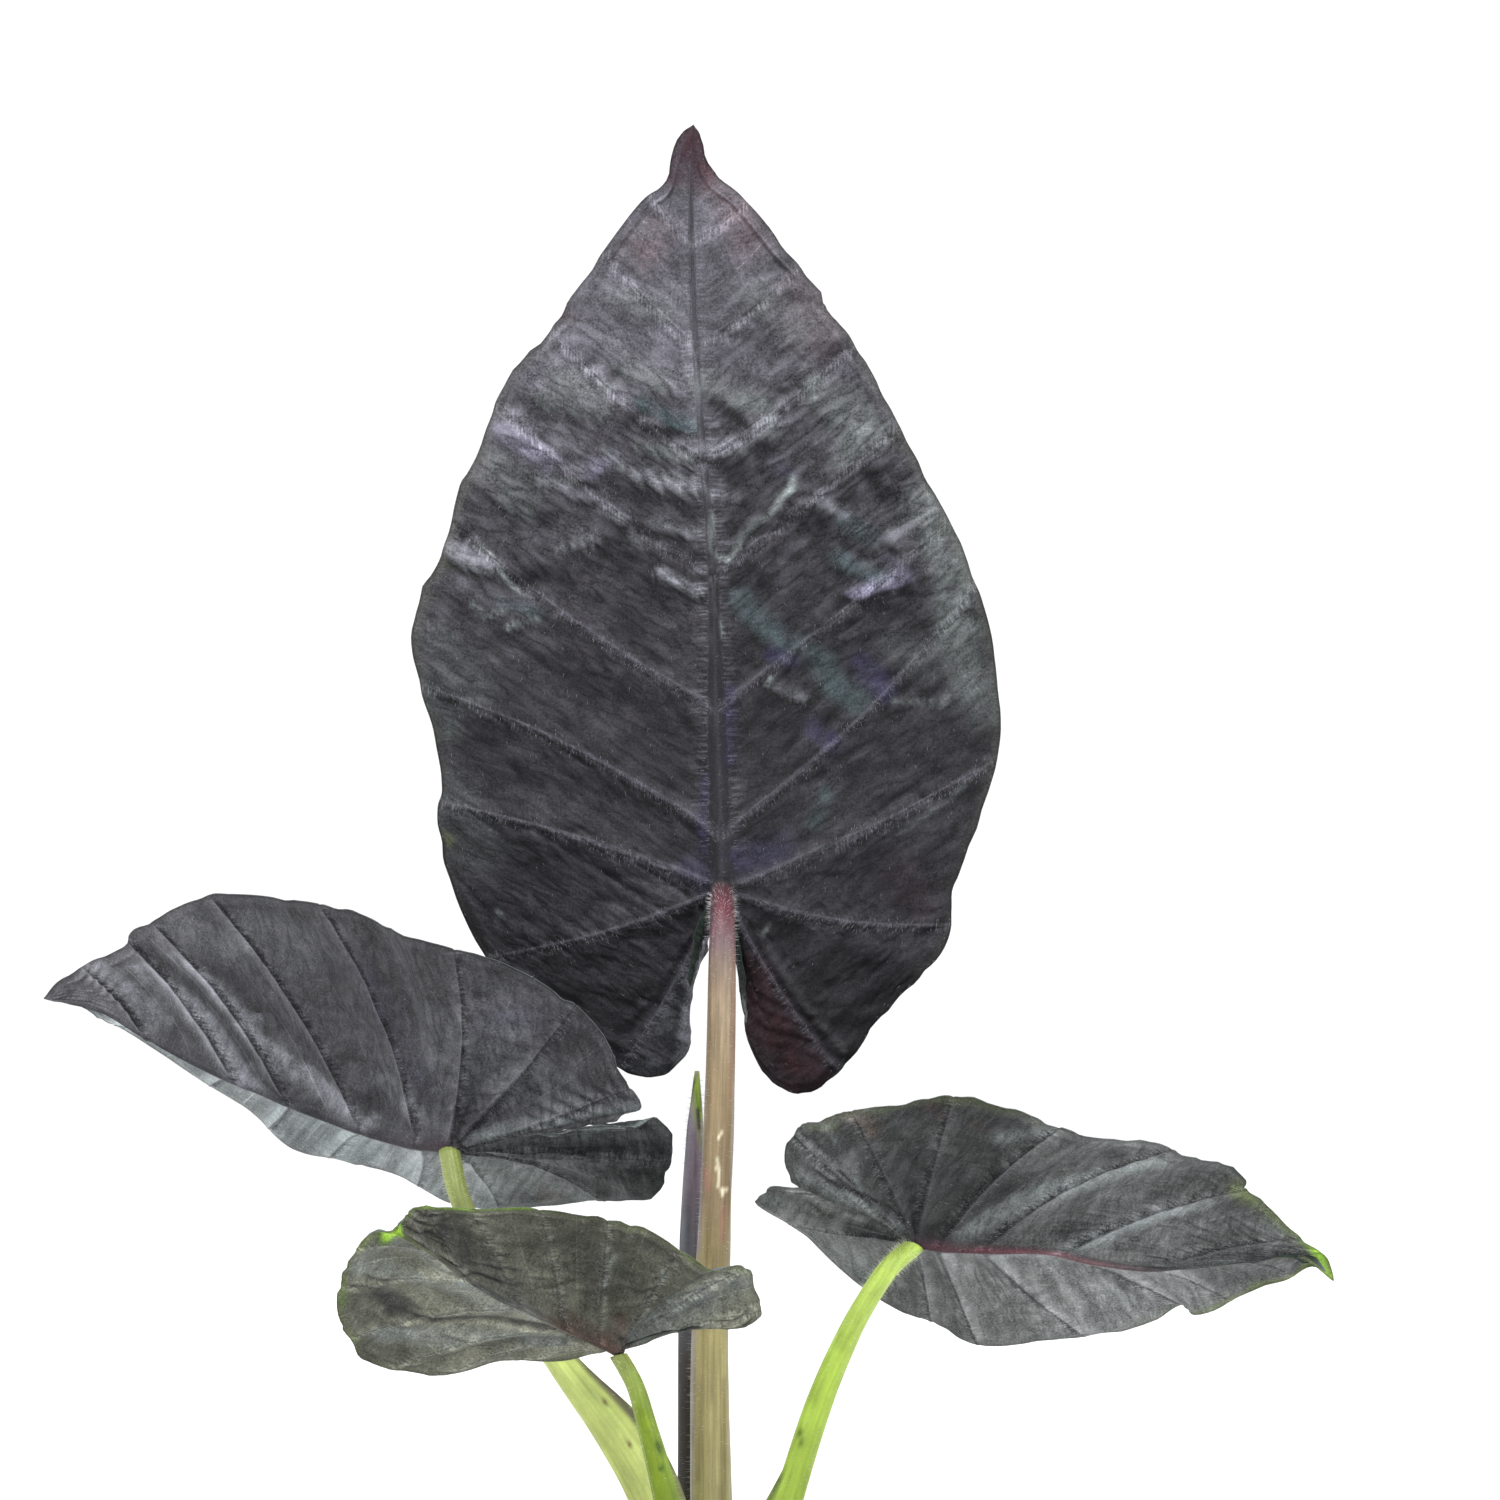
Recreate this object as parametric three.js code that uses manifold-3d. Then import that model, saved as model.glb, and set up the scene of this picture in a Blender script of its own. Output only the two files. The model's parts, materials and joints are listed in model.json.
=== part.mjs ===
// A potted velvet alocasia: four open leaves and one rolled new leaf on a short stem base,
// in a plain round nursery pot filled with potting mix.
// Millimetres, +Z up. The origin is the centre of the pot's flat base, and -Y is the front.

import * as THREE from 'three';
import { mergeVertices } from 'three/addons/utils/BufferGeometryUtils.js';
import Module from 'manifold-3d';

const wasm = await Module();
wasm.setup();

// Pot
const POT_HEIGHT = 108;
const POT_TOP_RADIUS = 57;
const POT_BASE_RADIUS = 42;
const POT_WALL = 1.8;
const POT_FLOOR = 2.4;
const RIM_HEIGHT = 9;
const RIM_OVERHANG = 2.6;
const RIM_ROUNDING = 1.2;
const BASE_ROUNDING = 2;
const POT_SIDES = 48;
const DRAIN_HOLES = 6;
const DRAIN_RADIUS = 4;
const DRAIN_CIRCLE = 28;
const DRAIN_SIDES = 12;

// Potting mix and stem base
const MIX_BELOW_RIM = 10;
const MIX_LUMP = 1.1;
const MIX_EDGE_DROP = 1.5;
const MIX_RING_SHARES = [0.97, 0.86, 0.74, 0.62, 0.5, 0.4];
const MIX_COLLAR = 1.5;
const CROWN_HOLE_TAPER = 0.8;
const CROWN_RADIUS = 16;
const CROWN_ABOVE = 5;
const CROWN_BELOW = 24;
const CROWN_SIDES = 24;

// The stem base's section: shares of its radius, each at a height over the mix
const CROWN_SECTION = [
  [0.78, 6 - CROWN_BELOW], [0.9, -7], [0.97, -2], [0.99, 1], [0.93, 1.8], [0.94, 2.8],
  [0.84, 4], [0.6, CROWN_ABOVE],
];
const CROWN_FOOT = 0.62;

const TOLERANCE = 0.01;

// Clearance between pieces that touch
const SEAT_GAP = 0.3;

// The plant is set out as it is seen from the front.
const VIEW_DISTANCE = 1200;
const EYE_ACROSS = 8.2;
const EYE_HEIGHT = 186.9;

const MIX_LEVEL = POT_HEIGHT - MIX_BELOW_RIM;
const EYE = new THREE.Vector3(EYE_ACROSS, -VIEW_DISTANCE, MIX_LEVEL + EYE_HEIGHT);

// A plant point is [across, height over the mix, depth], its first two numbers as seen on the
// plane y = 0. It is slid along its sight line to its depth, which is positive behind that plane.
function place([across, height, depth]) {
  const seen = new THREE.Vector3(across, 0, MIX_LEVEL + height);
  return seen.sub(EYE).multiplyScalar(1 + depth / VIEW_DISTANCE).add(EYE);
}

function mix(from, to, share) {
  return from + (to - from) * share;
}

// Piecewise straight interpolation through evenly spaced values
function along(values, share) {
  const reach = share * (values.length - 1);
  const index = Math.min(Math.floor(reach), values.length - 2);
  return mix(values[index], values[index + 1], reach - index);
}

function solid(points, triangles) {
  const geometry = new THREE.BufferGeometry();
  const flat = points.flatMap((point) => point.toArray());
  geometry.setAttribute('position', new THREE.Float32BufferAttribute(flat, 3));
  geometry.setIndex(triangles.flat());
  geometry.computeVertexNormals();
  return geometry;
}

// Leaf blades

// Shares of the way from one vein to the next at which columns of points stand. The panels at the
// sinus and at the tip turn sharp corners, so they have more columns.
const PANEL_COLUMNS = [0, 0.13, 0.5, 0.87];
const END_PANEL_COLUMNS = [0, 0.15, 0.32, 0.5, 0.68, 0.85];

// Places of the edge over which a lobe goes from flat to arched
const SINUS_EASE = 3;

// A blade's columns run from the midrib to the edge. Each vein is
// [share of the midrib, place on the left edge, place on the right edge], where a place counts
// edge points from the sinus. Veins at share 0 fan out from the joint into the back lobes.
function bladeColumns(leaf) {
  const columns = [];
  const panels = leaf.veins.slice(0, -1);
  panels.forEach((vein, index) => {
    const next = leaf.veins[index + 1];
    const atEnd = index === 0 || index === panels.length - 1;
    (atEnd ? END_PANEL_COLUMNS : PANEL_COLUMNS).forEach((share) => {
      columns.push({
        spine: mix(vein[0], next[0], share),
        left: mix(vein[1], next[1], share),
        right: mix(vein[2], next[2], share),
        panel: share,
        onVein: share === 0 && index > 0,
      });
    });
  });
  const [spine, left, right] = leaf.veins.at(-1);
  columns.push({ spine, left, right, panel: 0, onVein: false });
  return columns;
}

// The middle sheet of a blade: its points, how far each is pushed towards the underside,
// and its triangles, wound so that they face the underside.
function bladeSheet(leaf) {
  const spineCurve = new THREE.CatmullRomCurve3(leaf.midrib.map(place));
  const edges = {
    left: new THREE.CatmullRomCurve3(leaf.left.map(place)),
    right: new THREE.CatmullRomCurve3(leaf.right.map(place)),
  };
  const columns = bladeColumns(leaf);
  const last = columns.length - 1;
  const points = [];
  const relief = [];
  const known = new Map();

  function vertex(side, k, row) {
    const column = columns[k];
    let key = `${side} ${k} ${row}`;
    if (k === last) {
      key = 'tip';
    } else if (row === 0) {
      key = `midrib ${column.spine}`;
    } else if (k === 0) {
      key = `sinus ${row}`;
    }
    if (!known.has(key)) {
      known.set(key, points.length);
      const foot = spineCurve.getPointAt(column.spine);
      const edgeCurve = edges[side];
      const edge = edgeCurve.getPoint(column[side] / (leaf[side].length - 1));
      const reach = foot.distanceTo(edge);
      const ribShare = Math.min(along(leaf.ribHalfWidth, column.spine) / Math.max(reach, 1e-6), 0.3);
      const share = row === 0 ? 0 : mix(ribShare, 1, (row - 1) / (leaf.rows - 1));
      points.push(foot.lerp(edge, share));
      relief.push(k === last ? 0 : bladeRelief(leaf, column, row, share, reach));
    }
    return known.get(key);
  }

  const triangles = [];
  const rim = [];
  for (const side of ['left', 'right']) {
    for (let k = 0; k < last; k += 1) {
      for (let row = 0; row < leaf.rows; row += 1) {
        const a = vertex(side, k, row);
        const b = vertex(side, k + 1, row);
        const c = vertex(side, k + 1, row + 1);
        const d = vertex(side, k, row + 1);
        const pair = side === 'left' ? [[a, b, c], [a, c, d]] : [[a, c, b], [a, d, c]];
        triangles.push(...pair.filter((t) => new Set(t).size === 3));
        if (row === leaf.rows - 1) {
          rim.push(side === 'left' ? [d, c] : [c, d]);
        }
      }
    }
  }
  return { points, relief, triangles, rim, joint: known.get('midrib 0') };
}

// Millimetres towards the underside: the midrib and veins stand out, the panels between them
// belly the other way, each half is arched, and the edge ripples. The lobes lie flat over the
// first places of their edges, beside the sinus.
function bladeRelief(leaf, column, row, share, reach) {
  if (row === 0) {
    return along(leaf.ribHeight, column.spine);
  }
  const taper = 1 - 0.75 * share;
  const middle = Math.sin(Math.PI * share);
  const opened = THREE.MathUtils.clamp((column.left - leaf.sinusPlaces) / SINUS_EASE, 0, 1);
  const ridge = column.onVein ? leaf.veinHeight * taper : 0;
  const belly = leaf.belly * Math.sin(Math.PI * column.panel) ** 2 * Math.sqrt(middle);
  const arch = leaf.arch * middle * Math.min(reach / leaf.archReach, 1);
  const ripple = leaf.ripple * share ** 3 * Math.sin(leaf.ripplePlaces * column.left);
  return ridge - opened * (belly + arch) + ripple;
}

function sheetNormals(points, triangles) {
  const normals = points.map(() => new THREE.Vector3());
  for (const [a, b, c] of triangles) {
    const ab = points[b].clone().sub(points[a]);
    const ac = points[c].clone().sub(points[a]);
    const area = ab.cross(ac);
    [a, b, c].forEach((index) => normals[index].add(area));
  }
  normals.forEach((normal) => normal.normalize());
  return normals;
}

// A blade of even thickness on both sides of its middle sheet, cut alike on both faces
function makeBlade(leaf) {
  const { points, relief, triangles, rim, joint } = bladeSheet(leaf);
  const plain = sheetNormals(points, triangles);
  points.forEach((point, index) => point.addScaledVector(plain[index], relief[index]));
  const normals = sheetNormals(points, triangles);
  const half = leaf.thickness / 2;
  const under = points.map((point, index) => point.clone().addScaledVector(normals[index], half));
  const upper = points.map((point, index) => point.clone().addScaledVector(normals[index], -half));
  const count = points.length;
  const faces = [
    ...triangles,
    ...triangles.map(([a, b, c]) => [a + count, c + count, b + count]),
    ...rim.flatMap(([a, b]) => [[a, b, b + count], [a, b + count, a + count]]),
  ];
  return {
    geometry: solid([...under, ...upper], faces),
    joint: under[joint],
    facing: normals[joint],
  };
}

// Stems

// A tapered stem along a route. Its section is an ellipse of half-widths across and deep,
// with an optional sheath: a thin fin that stands out at an angle and fades up the stem.
// Where it meets a blade, its end is cut flat and parallel to the blade's face.
function makeStem(stem, grow = 0) {
  const curve = new THREE.CatmullRomCurve3(stem.route);
  const rings = [];
  for (let step = 0; step <= stem.steps; step += 1) {
    const share = step / stem.steps;
    const centre = curve.getPoint(share);
    const tangent = curve.getTangent(share);
    const side = new THREE.Vector3(1, 0, 0).addScaledVector(tangent, -tangent.x).normalize();
    const back = tangent.clone().cross(side);
    const ring = [];
    for (let corner = 0; corner < stem.sides; corner += 1) {
      const angle = (corner / stem.sides) * 2 * Math.PI;
      const reach = 1 + sheathReach(stem, angle, share) + rollStep(stem, corner);
      const across = (along(stem.across, share) * reach + grow) * Math.cos(angle);
      const deep = (along(stem.deep, share) * reach + grow) * Math.sin(angle);
      const point = centre.clone().addScaledVector(side, across).addScaledVector(back, deep);
      ring.push(point.addScaledVector(tangent, step === 0 ? -grow : 0));
    }
    if (step === stem.steps && stem.seat) {
      const slope = tangent.dot(stem.seat.facing);
      ring.forEach((point) => {
        const short = stem.seat.point.clone().sub(point).dot(stem.seat.facing);
        point.addScaledVector(tangent, short / slope);
      });
    }
    rings.push(ring);
  }
  return tube(rings);
}

function sheathReach(stem, angle, share) {
  if (!stem.sheath) {
    return 0;
  }
  const { at, width, reach } = stem.sheath;
  const turn = Math.atan2(Math.sin(angle - at), Math.cos(angle - at));
  return along(reach, share) * Math.exp(-((turn / width) ** 2));
}

// A rolled leaf's section grows round its turn and drops back at the free edge.
function rollStep(stem, corner) {
  return stem.roll ? stem.roll * (corner / (stem.sides - 1) - 0.5) : 0;
}

function tube(rings) {
  const sides = rings[0].length;
  const points = rings.flat();
  const triangles = [];
  for (let ring = 0; ring + 1 < rings.length; ring += 1) {
    for (let corner = 0; corner < sides; corner += 1) {
      const next = (corner + 1) % sides;
      const a = ring * sides + corner;
      const b = ring * sides + next;
      triangles.push([a, b, b + sides], [a, b + sides, a + sides]);
    }
  }
  const top = points.length - sides;
  const ends = [rings[0], rings.at(-1)].map((ring) => {
    const centre = new THREE.Vector3();
    ring.forEach((point) => centre.addScaledVector(point, 1 / sides));
    return centre;
  });
  points.push(...ends);
  for (let corner = 0; corner < sides; corner += 1) {
    const next = (corner + 1) % sides;
    triangles.push([next, corner, points.length - 2]);
    triangles.push([top + corner, top + next, points.length - 1]);
  }
  return solid(points, triangles);
}

// Boolean cuts

function toManifold(geometry) {
  const bare = geometry.clone();
  bare.deleteAttribute('normal');
  bare.deleteAttribute('uv');
  const merged = mergeVertices(bare, 1e-3);
  return new wasm.Manifold(new wasm.Mesh({
    numProp: 3,
    vertProperties: new Float32Array(merged.attributes.position.array),
    triVerts: new Uint32Array(merged.index.array),
  }));
}

function cut(geometry, tools) {
  const result = tools.reduce((body, tool) => body.subtract(toManifold(tool)), toManifold(geometry));
  const mesh = result.getMesh();
  const cutGeometry = new THREE.BufferGeometry();
  cutGeometry.setAttribute('position', new THREE.Float32BufferAttribute(mesh.vertProperties, 3));
  cutGeometry.setIndex([...mesh.triVerts]);
  cutGeometry.computeVertexNormals();
  return cutGeometry;
}

// Turned about +Z from [radius, height] pairs
function turned(profile, sides) {
  const outline = profile.map(([radius, height]) => new THREE.Vector2(radius, height));
  return new THREE.LatheGeometry(outline, sides).rotateX(Math.PI / 2);
}

// Pot: a tapered cup with a straight rolled rim and a ring of drainage holes

function potRadius(height) {
  return mix(POT_BASE_RADIUS, POT_TOP_RADIUS, height / POT_HEIGHT);
}

function makePot() {
  const shoulder = POT_HEIGHT - RIM_HEIGHT;
  const rimRadius = POT_TOP_RADIUS + RIM_OVERHANG;
  const profile = [
    [0, 0],
    [POT_BASE_RADIUS - BASE_ROUNDING, 0],
    [potRadius(BASE_ROUNDING), BASE_ROUNDING],
    [potRadius(shoulder) - 0.25 * RIM_ROUNDING, shoulder - RIM_ROUNDING],
    [rimRadius - RIM_ROUNDING, shoulder],
    [rimRadius, shoulder + RIM_ROUNDING],
    [rimRadius, POT_HEIGHT - RIM_ROUNDING],
    [rimRadius - RIM_ROUNDING, POT_HEIGHT],
    [POT_TOP_RADIUS, POT_HEIGHT],
    [POT_TOP_RADIUS - POT_WALL, POT_HEIGHT - RIM_ROUNDING],
    [potRadius(POT_FLOOR) - POT_WALL, POT_FLOOR],
    [0, POT_FLOOR],
  ];
  const holes = [];
  for (let index = 0; index < DRAIN_HOLES; index += 1) {
    const angle = (index / DRAIN_HOLES) * 2 * Math.PI;
    const hole = new THREE.CylinderGeometry(DRAIN_RADIUS, DRAIN_RADIUS, 3 * POT_FLOOR, DRAIN_SIDES);
    hole.rotateX(Math.PI / 2);
    hole.translate(DRAIN_CIRCLE * Math.cos(angle), DRAIN_CIRCLE * Math.sin(angle), 0);
    holes.push(hole);
  }
  return cut(turned(profile, POT_SIDES), holes);
}

// Potting mix: fills the pot, with a low lumpy top and a plain hole for the stem base

function makePottingMix() {
  const top = MIX_LEVEL;
  const bottom = POT_FLOOR + SEAT_GAP;
  const wall = (height) => potRadius(height) - POT_WALL - SEAT_GAP;
  const holeRadius = CROWN_RADIUS + SEAT_GAP;
  const topRadii = MIX_RING_SHARES.map((share) => share * wall(top));
  const profile = [
    [0, bottom],
    [wall(bottom) - SEAT_GAP, bottom],
    [wall(top) - SEAT_GAP, top - MIX_EDGE_DROP],
    ...topRadii.map((radius) => [radius, top]),
    [holeRadius + MIX_COLLAR, top],
    [holeRadius, top - MIX_COLLAR / 2],
    [holeRadius * CROWN_HOLE_TAPER, top - CROWN_BELOW - SEAT_GAP],
    [0, top - CROWN_BELOW - SEAT_GAP],
  ];
  const geometry = turned(profile, POT_SIDES);
  const position = geometry.attributes.position;
  for (let index = 0; index < position.count; index += 1) {
    const x = position.getX(index);
    const y = position.getY(index);
    const z = position.getZ(index);
    const radius = Math.hypot(x, y);
    const onTop = Math.abs(z - top) < TOLERANCE;
    if (onTop && radius > topRadii.at(-1) - TOLERANCE && radius < topRadii[0] + TOLERANCE) {
      const lump = Math.sin(0.31 * x + 1.3) * Math.cos(0.27 * y) + 0.6 * Math.sin(0.63 * y - 0.5 * x);
      position.setZ(index, z + MIX_LUMP * lump);
    }
  }
  return geometry;
}

// Stem base: a stout ringed stem, domed on top, with a socket for each stem that grows from it

function makeCrown(stems) {
  const top = MIX_LEVEL + CROWN_ABOVE;
  const bottom = MIX_LEVEL - CROWN_BELOW;
  const profile = [
    [0, bottom],
    [CROWN_RADIUS * CROWN_FOOT, bottom],
    ...CROWN_SECTION.map(([share, height]) => [CROWN_RADIUS * share, MIX_LEVEL + height]),
    [0, top],
  ];
  return cut(turned(profile, CROWN_SIDES), stems.map((stem) => makeStem(stem, SEAT_GAP)));
}

// Leaf outlines. Every edge runs from the sinus behind the joint, round its back lobe, to the tip.
// Left and right are as seen from the underside with the tip up.

const mainLeaf = {
  thickness: 0.8,
  rows: 8,
  ribHalfWidth: [3, 2.6, 1.4, 1, 0.8, 0.5],
  ribHeight: [1.6, 1.5, 1.1, 0.8, 0.6, 0.2],
  veinHeight: 0.9,
  belly: 1.5,
  arch: 2,
  archReach: 50,
  ripple: 0.9,
  ripplePlaces: 1.9,
  sinusPlaces: 0,
  midrib: [
    [2.3, 157.5, 2], [1.9, 176, 3], [1, 200, 5], [0.5, 222, 8], [-2.5, 258, 13],
    [-3.8, 285, 18], [-4.2, 306.5, 23], [-3.7, 318.2, 26],
  ],
  left: [
    [2.4, 153, 4], [-0.6, 148, 6], [-2.7, 142, 8], [-5.5, 133, 9], [-6, 126, 9],
    [-9.7, 118.6, 9], [-19, 119.7, 10], [-29.6, 126, 12], [-40, 134.4, 13], [-47.5, 143, 14],
    [-54.8, 159.6, 14], [-56.9, 172, 14], [-56.7, 182, 14], [-60.7, 199.5, 15], [-62.8, 209, 15],
    [-61, 220, 16], [-56.9, 228, 17], [-52.7, 242, 19], [-48.9, 249.5, 20], [-45, 260.4, 21],
    [-39.7, 269, 21], [-34.2, 273.5, 22], [-29.6, 282, 22], [-22.3, 292, 23], [-14, 302.4, 23],
    [-9.6, 306.2, 24], [-8.4, 312, 25], [-6.1, 315.9, 26], [-3.7, 318.2, 26],
  ],
  right: [
    [2.4, 153, 4], [5.9, 148, 6], [6, 134.4, 9], [7, 128, 10], [10.3, 121.4, 11],
    [14, 116.5, 11], [18.7, 114.7, 11], [24, 117, 11], [29.2, 121.8, 12], [33.8, 128, 12],
    [38.6, 134.4, 13], [45, 140.7, 13], [49.6, 147, 14], [51.2, 158.5, 14], [54.4, 168, 14],
    [59.4, 181.7, 15], [60.9, 192, 15], [59, 209, 15], [55, 222.6, 16], [51.2, 233, 17],
    [45, 244, 18], [39, 255, 19], [34, 265.6, 20], [28.8, 274.7, 21], [24.1, 279.3, 22],
    [23.3, 282.3, 22], [19.3, 287.7, 22], [10.3, 298.2, 23], [4, 305, 24], [-0.2, 309.8, 25],
    [-2.2, 315.2, 26], [-3.7, 318.2, 26],
  ],
  veins: [
    [0, 0, 0], [0, 6, 7.5], [0, 9, 12.3], [0, 11.4, 15.3], [0.07, 13.1, 17.9], [0.23, 16.5, 19.2],
    [0.4, 19, 21], [0.55, 21.2, 22.7], [0.7, 23, 26.1], [0.84, 24.3, 27.5], [1, 28, 31],
  ],
};

const leftLeaf = {
  thickness: 0.8,
  rows: 7,
  ribHalfWidth: [2.4, 1.8, 1.2, 0.9, 0.7, 0.5],
  ribHeight: [1.4, 1.2, 0.9, 0.7, 0.5, 0.2],
  veinHeight: 0.9,
  belly: 1.3,
  arch: 2.5,
  archReach: 50,
  ripple: 0.6,
  ripplePlaces: 2.1,
  sinusPlaces: 6,
  midrib: [
    [-54.8, 103.5, -16], [-65, 104.8, -9], [-77, 108.3, 0], [-88.4, 112.5, 9], [-99, 117, 18],
    [-108, 121, 25], [-119, 127, 34], [-129.4, 132.8, 41], [-140.1, 134.8, 45],
  ],
  left: [
    [-34.7, 106.9, -15], [-31, 106.9, -14], [-27, 107.2, -13], [-20, 108, -11], [-15.5, 108.3, -10],
    [-11.5, 109.4, -7], [-8, 105.4, -2], [-9.2, 99, 3], [-12.6, 92.2, 9], [-19, 92.4, 12],
    [-25, 93, 16], [-33, 91, 22], [-44.3, 90.6, 27], [-55.9, 93, 31], [-65.3, 97, 35],
    [-78, 101, 40], [-88.4, 104.2, 46], [-95.8, 109.8, 50], [-101, 114, 51], [-111.5, 121.2, 50],
    [-120, 125.6, 48], [-126.2, 129.8, 46], [-131, 133, 45], [-136.7, 134.2, 45],
    [-140.1, 134.8, 45],
  ],
  right: [
    [-34.7, 106.9, -15], [-32.5, 108.5, -18], [-28, 109.2, -21], [-22.5, 109.2, -24],
    [-18.5, 110.2, -26], [-14.3, 111.8, -27], [-17, 116, -29], [-19.1, 119.5, -30], [-23.3, 127.5, -33],
    [-28.6, 133.3, -35], [-35.9, 138.2, -37], [-44.3, 142.4, -38], [-53.8, 144.9, -37],
    [-65.3, 148.5, -32], [-72, 151.5, -27], [-80, 153.9, -21], [-88.4, 155.6, -13],
    [-97, 156.4, -5], [-107, 156, 4], [-115.7, 151.8, 14], [-122.6, 148.2, 22], [-123, 146, 24],
    [-130, 142.5, 32], [-137.6, 137.6, 41], [-140.1, 134.8, 45],
  ],
  veins: [
    [0, 0, 0], [0, 6.7, 6], [0, 9.5, 9], [0, 12, 12], [0.07, 13.6, 15.2], [0.2, 15.2, 17.8],
    [0.38, 16.6, 19.2], [0.52, 18.4, 20.6], [0.75, 21, 22.2], [1, 24, 24],
  ],
};

const rightLeaf = {
  thickness: 0.8,
  rows: 7,
  ribHalfWidth: [2.2, 1.6, 1.2, 0.9, 0.7, 0.5],
  ribHeight: [1.4, 1.2, 1, 0.8, 0.6, 0.2],
  veinHeight: 0.8,
  belly: 1.1,
  arch: 2,
  archReach: 36,
  ripple: 0.7,
  ripplePlaces: 2.3,
  sinusPlaces: 6,
  midrib: [
    [42.8, 83.6, -14], [50.2, 82.6, -13], [60.7, 82.2, -11], [71.2, 81.8, -8], [80.5, 79.6, -5],
    [92.2, 78.2, -2], [102.7, 78.8, 2], [113.2, 80, 6], [124, 80.6, 9], [130.8, 75.4, 11],
  ],
  left: [
    [26.7, 92.6, -14], [25.2, 94.3, -17], [22.9, 95.6, -20], [19.7, 96.1, -22], [16.8, 96.9, -24],
    [15.8, 102.5, -28], [19, 109, -31], [23, 109, -33], [31.3, 111.3, -35], [40, 112.7, -36],
    [49.1, 114, -36], [58.6, 112.8, -34], [67, 110.7, -31], [71, 107.9, -29], [76.4, 106.7, -27],
    [86, 105, -23], [94, 104, -18], [100.6, 101.8, -14], [107.9, 99.8, -9], [112.1, 96.6, -6],
    [112, 95, -5], [117.4, 90.9, 0], [123.7, 84.6, 6], [127, 82.2, 9], [129.8, 79.6, 11],
    [130.8, 75.4, 11],
  ],
  right: [
    [26.7, 92.6, -14], [25.4, 93.9, -12], [22.9, 94.7, -9], [18.7, 95.1, -6], [13.6, 95.4, -2],
    [11.3, 93.9, 1], [9.7, 92.8, 3], [16.6, 87.1, 8], [25, 79.8, 12], [37.6, 71, 17],
    [46, 66.6, 19], [52, 63.8, 20], [59, 62.3, 21], [70, 62.3, 22], [83.8, 65.1, 23],
    [93.2, 67.2, 23], [99.6, 70, 22], [101.6, 69, 22], [113.2, 72.9, 18], [120.5, 75.6, 15],
    [126.2, 79.2, 12], [130.8, 75.4, 11],
  ],
  veins: [
    [0, 0, 0], [0, 5.5, 7], [0, 7.8, 8.6], [0, 10.2, 10], [0.05, 13.4, 11.6], [0.15, 16.4, 13.6],
    [0.33, 20, 16], [0.55, 22, 17.7], [0.78, 23.4, 19.3], [1, 25, 21],
  ],
};

const frontLeaf = {
  thickness: 0.8,
  rows: 7,
  ribHalfWidth: [2, 1.5, 1.1, 0.9, 0.7, 0.5],
  ribHeight: [1.3, 1.1, 0.9, 0.7, 0.5, 0.2],
  veinHeight: 0.8,
  belly: 1.1,
  arch: 2,
  archReach: 32,
  ripple: 0.6,
  ripplePlaces: 2.2,
  sinusPlaces: 0,
  midrib: [
    [-19.7, 60.9, -24], [-27, 64, -30], [-38, 69.3, -41], [-46, 72.9, -48], [-55, 78.8, -57],
    [-62, 83.5, -65], [-67, 86.5, -71],
  ],
  left: [
    [-16.3, 61.6, -21], [-12.5, 65, -15], [-9.5, 67.5, -9], [-10.5, 66.8, -6], [-14.5, 64, -7],
    [-20.6, 60.6, -10], [-27, 60, -14], [-34.9, 58.8, -18], [-44.3, 58.1, -23], [-52.7, 56.8, -28],
    [-61, 55.9, -33], [-65, 56.2, -36], [-69.5, 58.2, -40], [-73.8, 59.6, -43], [-75.8, 63.4, -47],
    [-78, 67.3, -51], [-78.3, 71.5, -55], [-77.3, 76.6, -60], [-75, 81.5, -65], [-72, 84.5, -68],
    [-67, 86.5, -71],
  ],
  right: [
    [-16.3, 61.6, -21], [-12.8, 63.4, -20], [-4.4, 64.8, -20], [5, 65.8, -20], [10, 68, -21],
    [10.3, 71, -23], [9, 75, -26], [7.8, 78.1, -28], [5, 78.2, -30], [0.2, 78.2, -33],
    [-6.5, 81.9, -37], [-14.9, 86.3, -42], [-22, 88.6, -46], [-30, 89.8, -50], [-40, 90.5, -55],
    [-51, 90.9, -61], [-59, 90.9, -66], [-63, 90, -69], [-67, 86.5, -71],
  ],
  veins: [
    [0, 0, 0], [0, 3.4, 4.4], [0, 5.6, 7.2], [0, 7.6, 10], [0.08, 9.4, 12], [0.22, 11.6, 13.6],
    [0.42, 14, 15], [0.65, 16.4, 16.2], [0.85, 18.4, 17.2], [1, 20, 18],
  ],
};

// Stem routes start in the stem base and end on a blade's joint.

function joined(foot, seen, blade) {
  const seat = {
    point: blade.joint.clone().addScaledVector(blade.facing, SEAT_GAP),
    facing: blade.facing,
  };
  return { route: [...[...foot, ...seen].map(place), seat.point.clone()], seat };
}

const bladeMain = makeBlade(mainLeaf);
const bladeLeft = makeBlade(leftLeaf);
const bladeRight = makeBlade(rightLeaf);
const bladeFront = makeBlade(frontLeaf);

const petioleMain = {
  ...joined(
    [[0.5, 0.4, 2], [0.3, 12, 2]],
    [[0, 29.4, 1.5], [-0.2, 63, -1], [1, 92, -5], [2, 122, -8], [2.3, 142, -8.5], [2.4, 151, -6]],
    bladeMain,
  ),
  steps: 16,
  sides: 12,
  across: [4.8, 4.6, 4.4, 3.9, 3.3, 3, 2.9, 2.9, 2.8],
  deep: [4.6, 4.5, 4.2, 3.8, 3.3, 3, 2.9, 2.9, 2.8],
};

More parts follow.
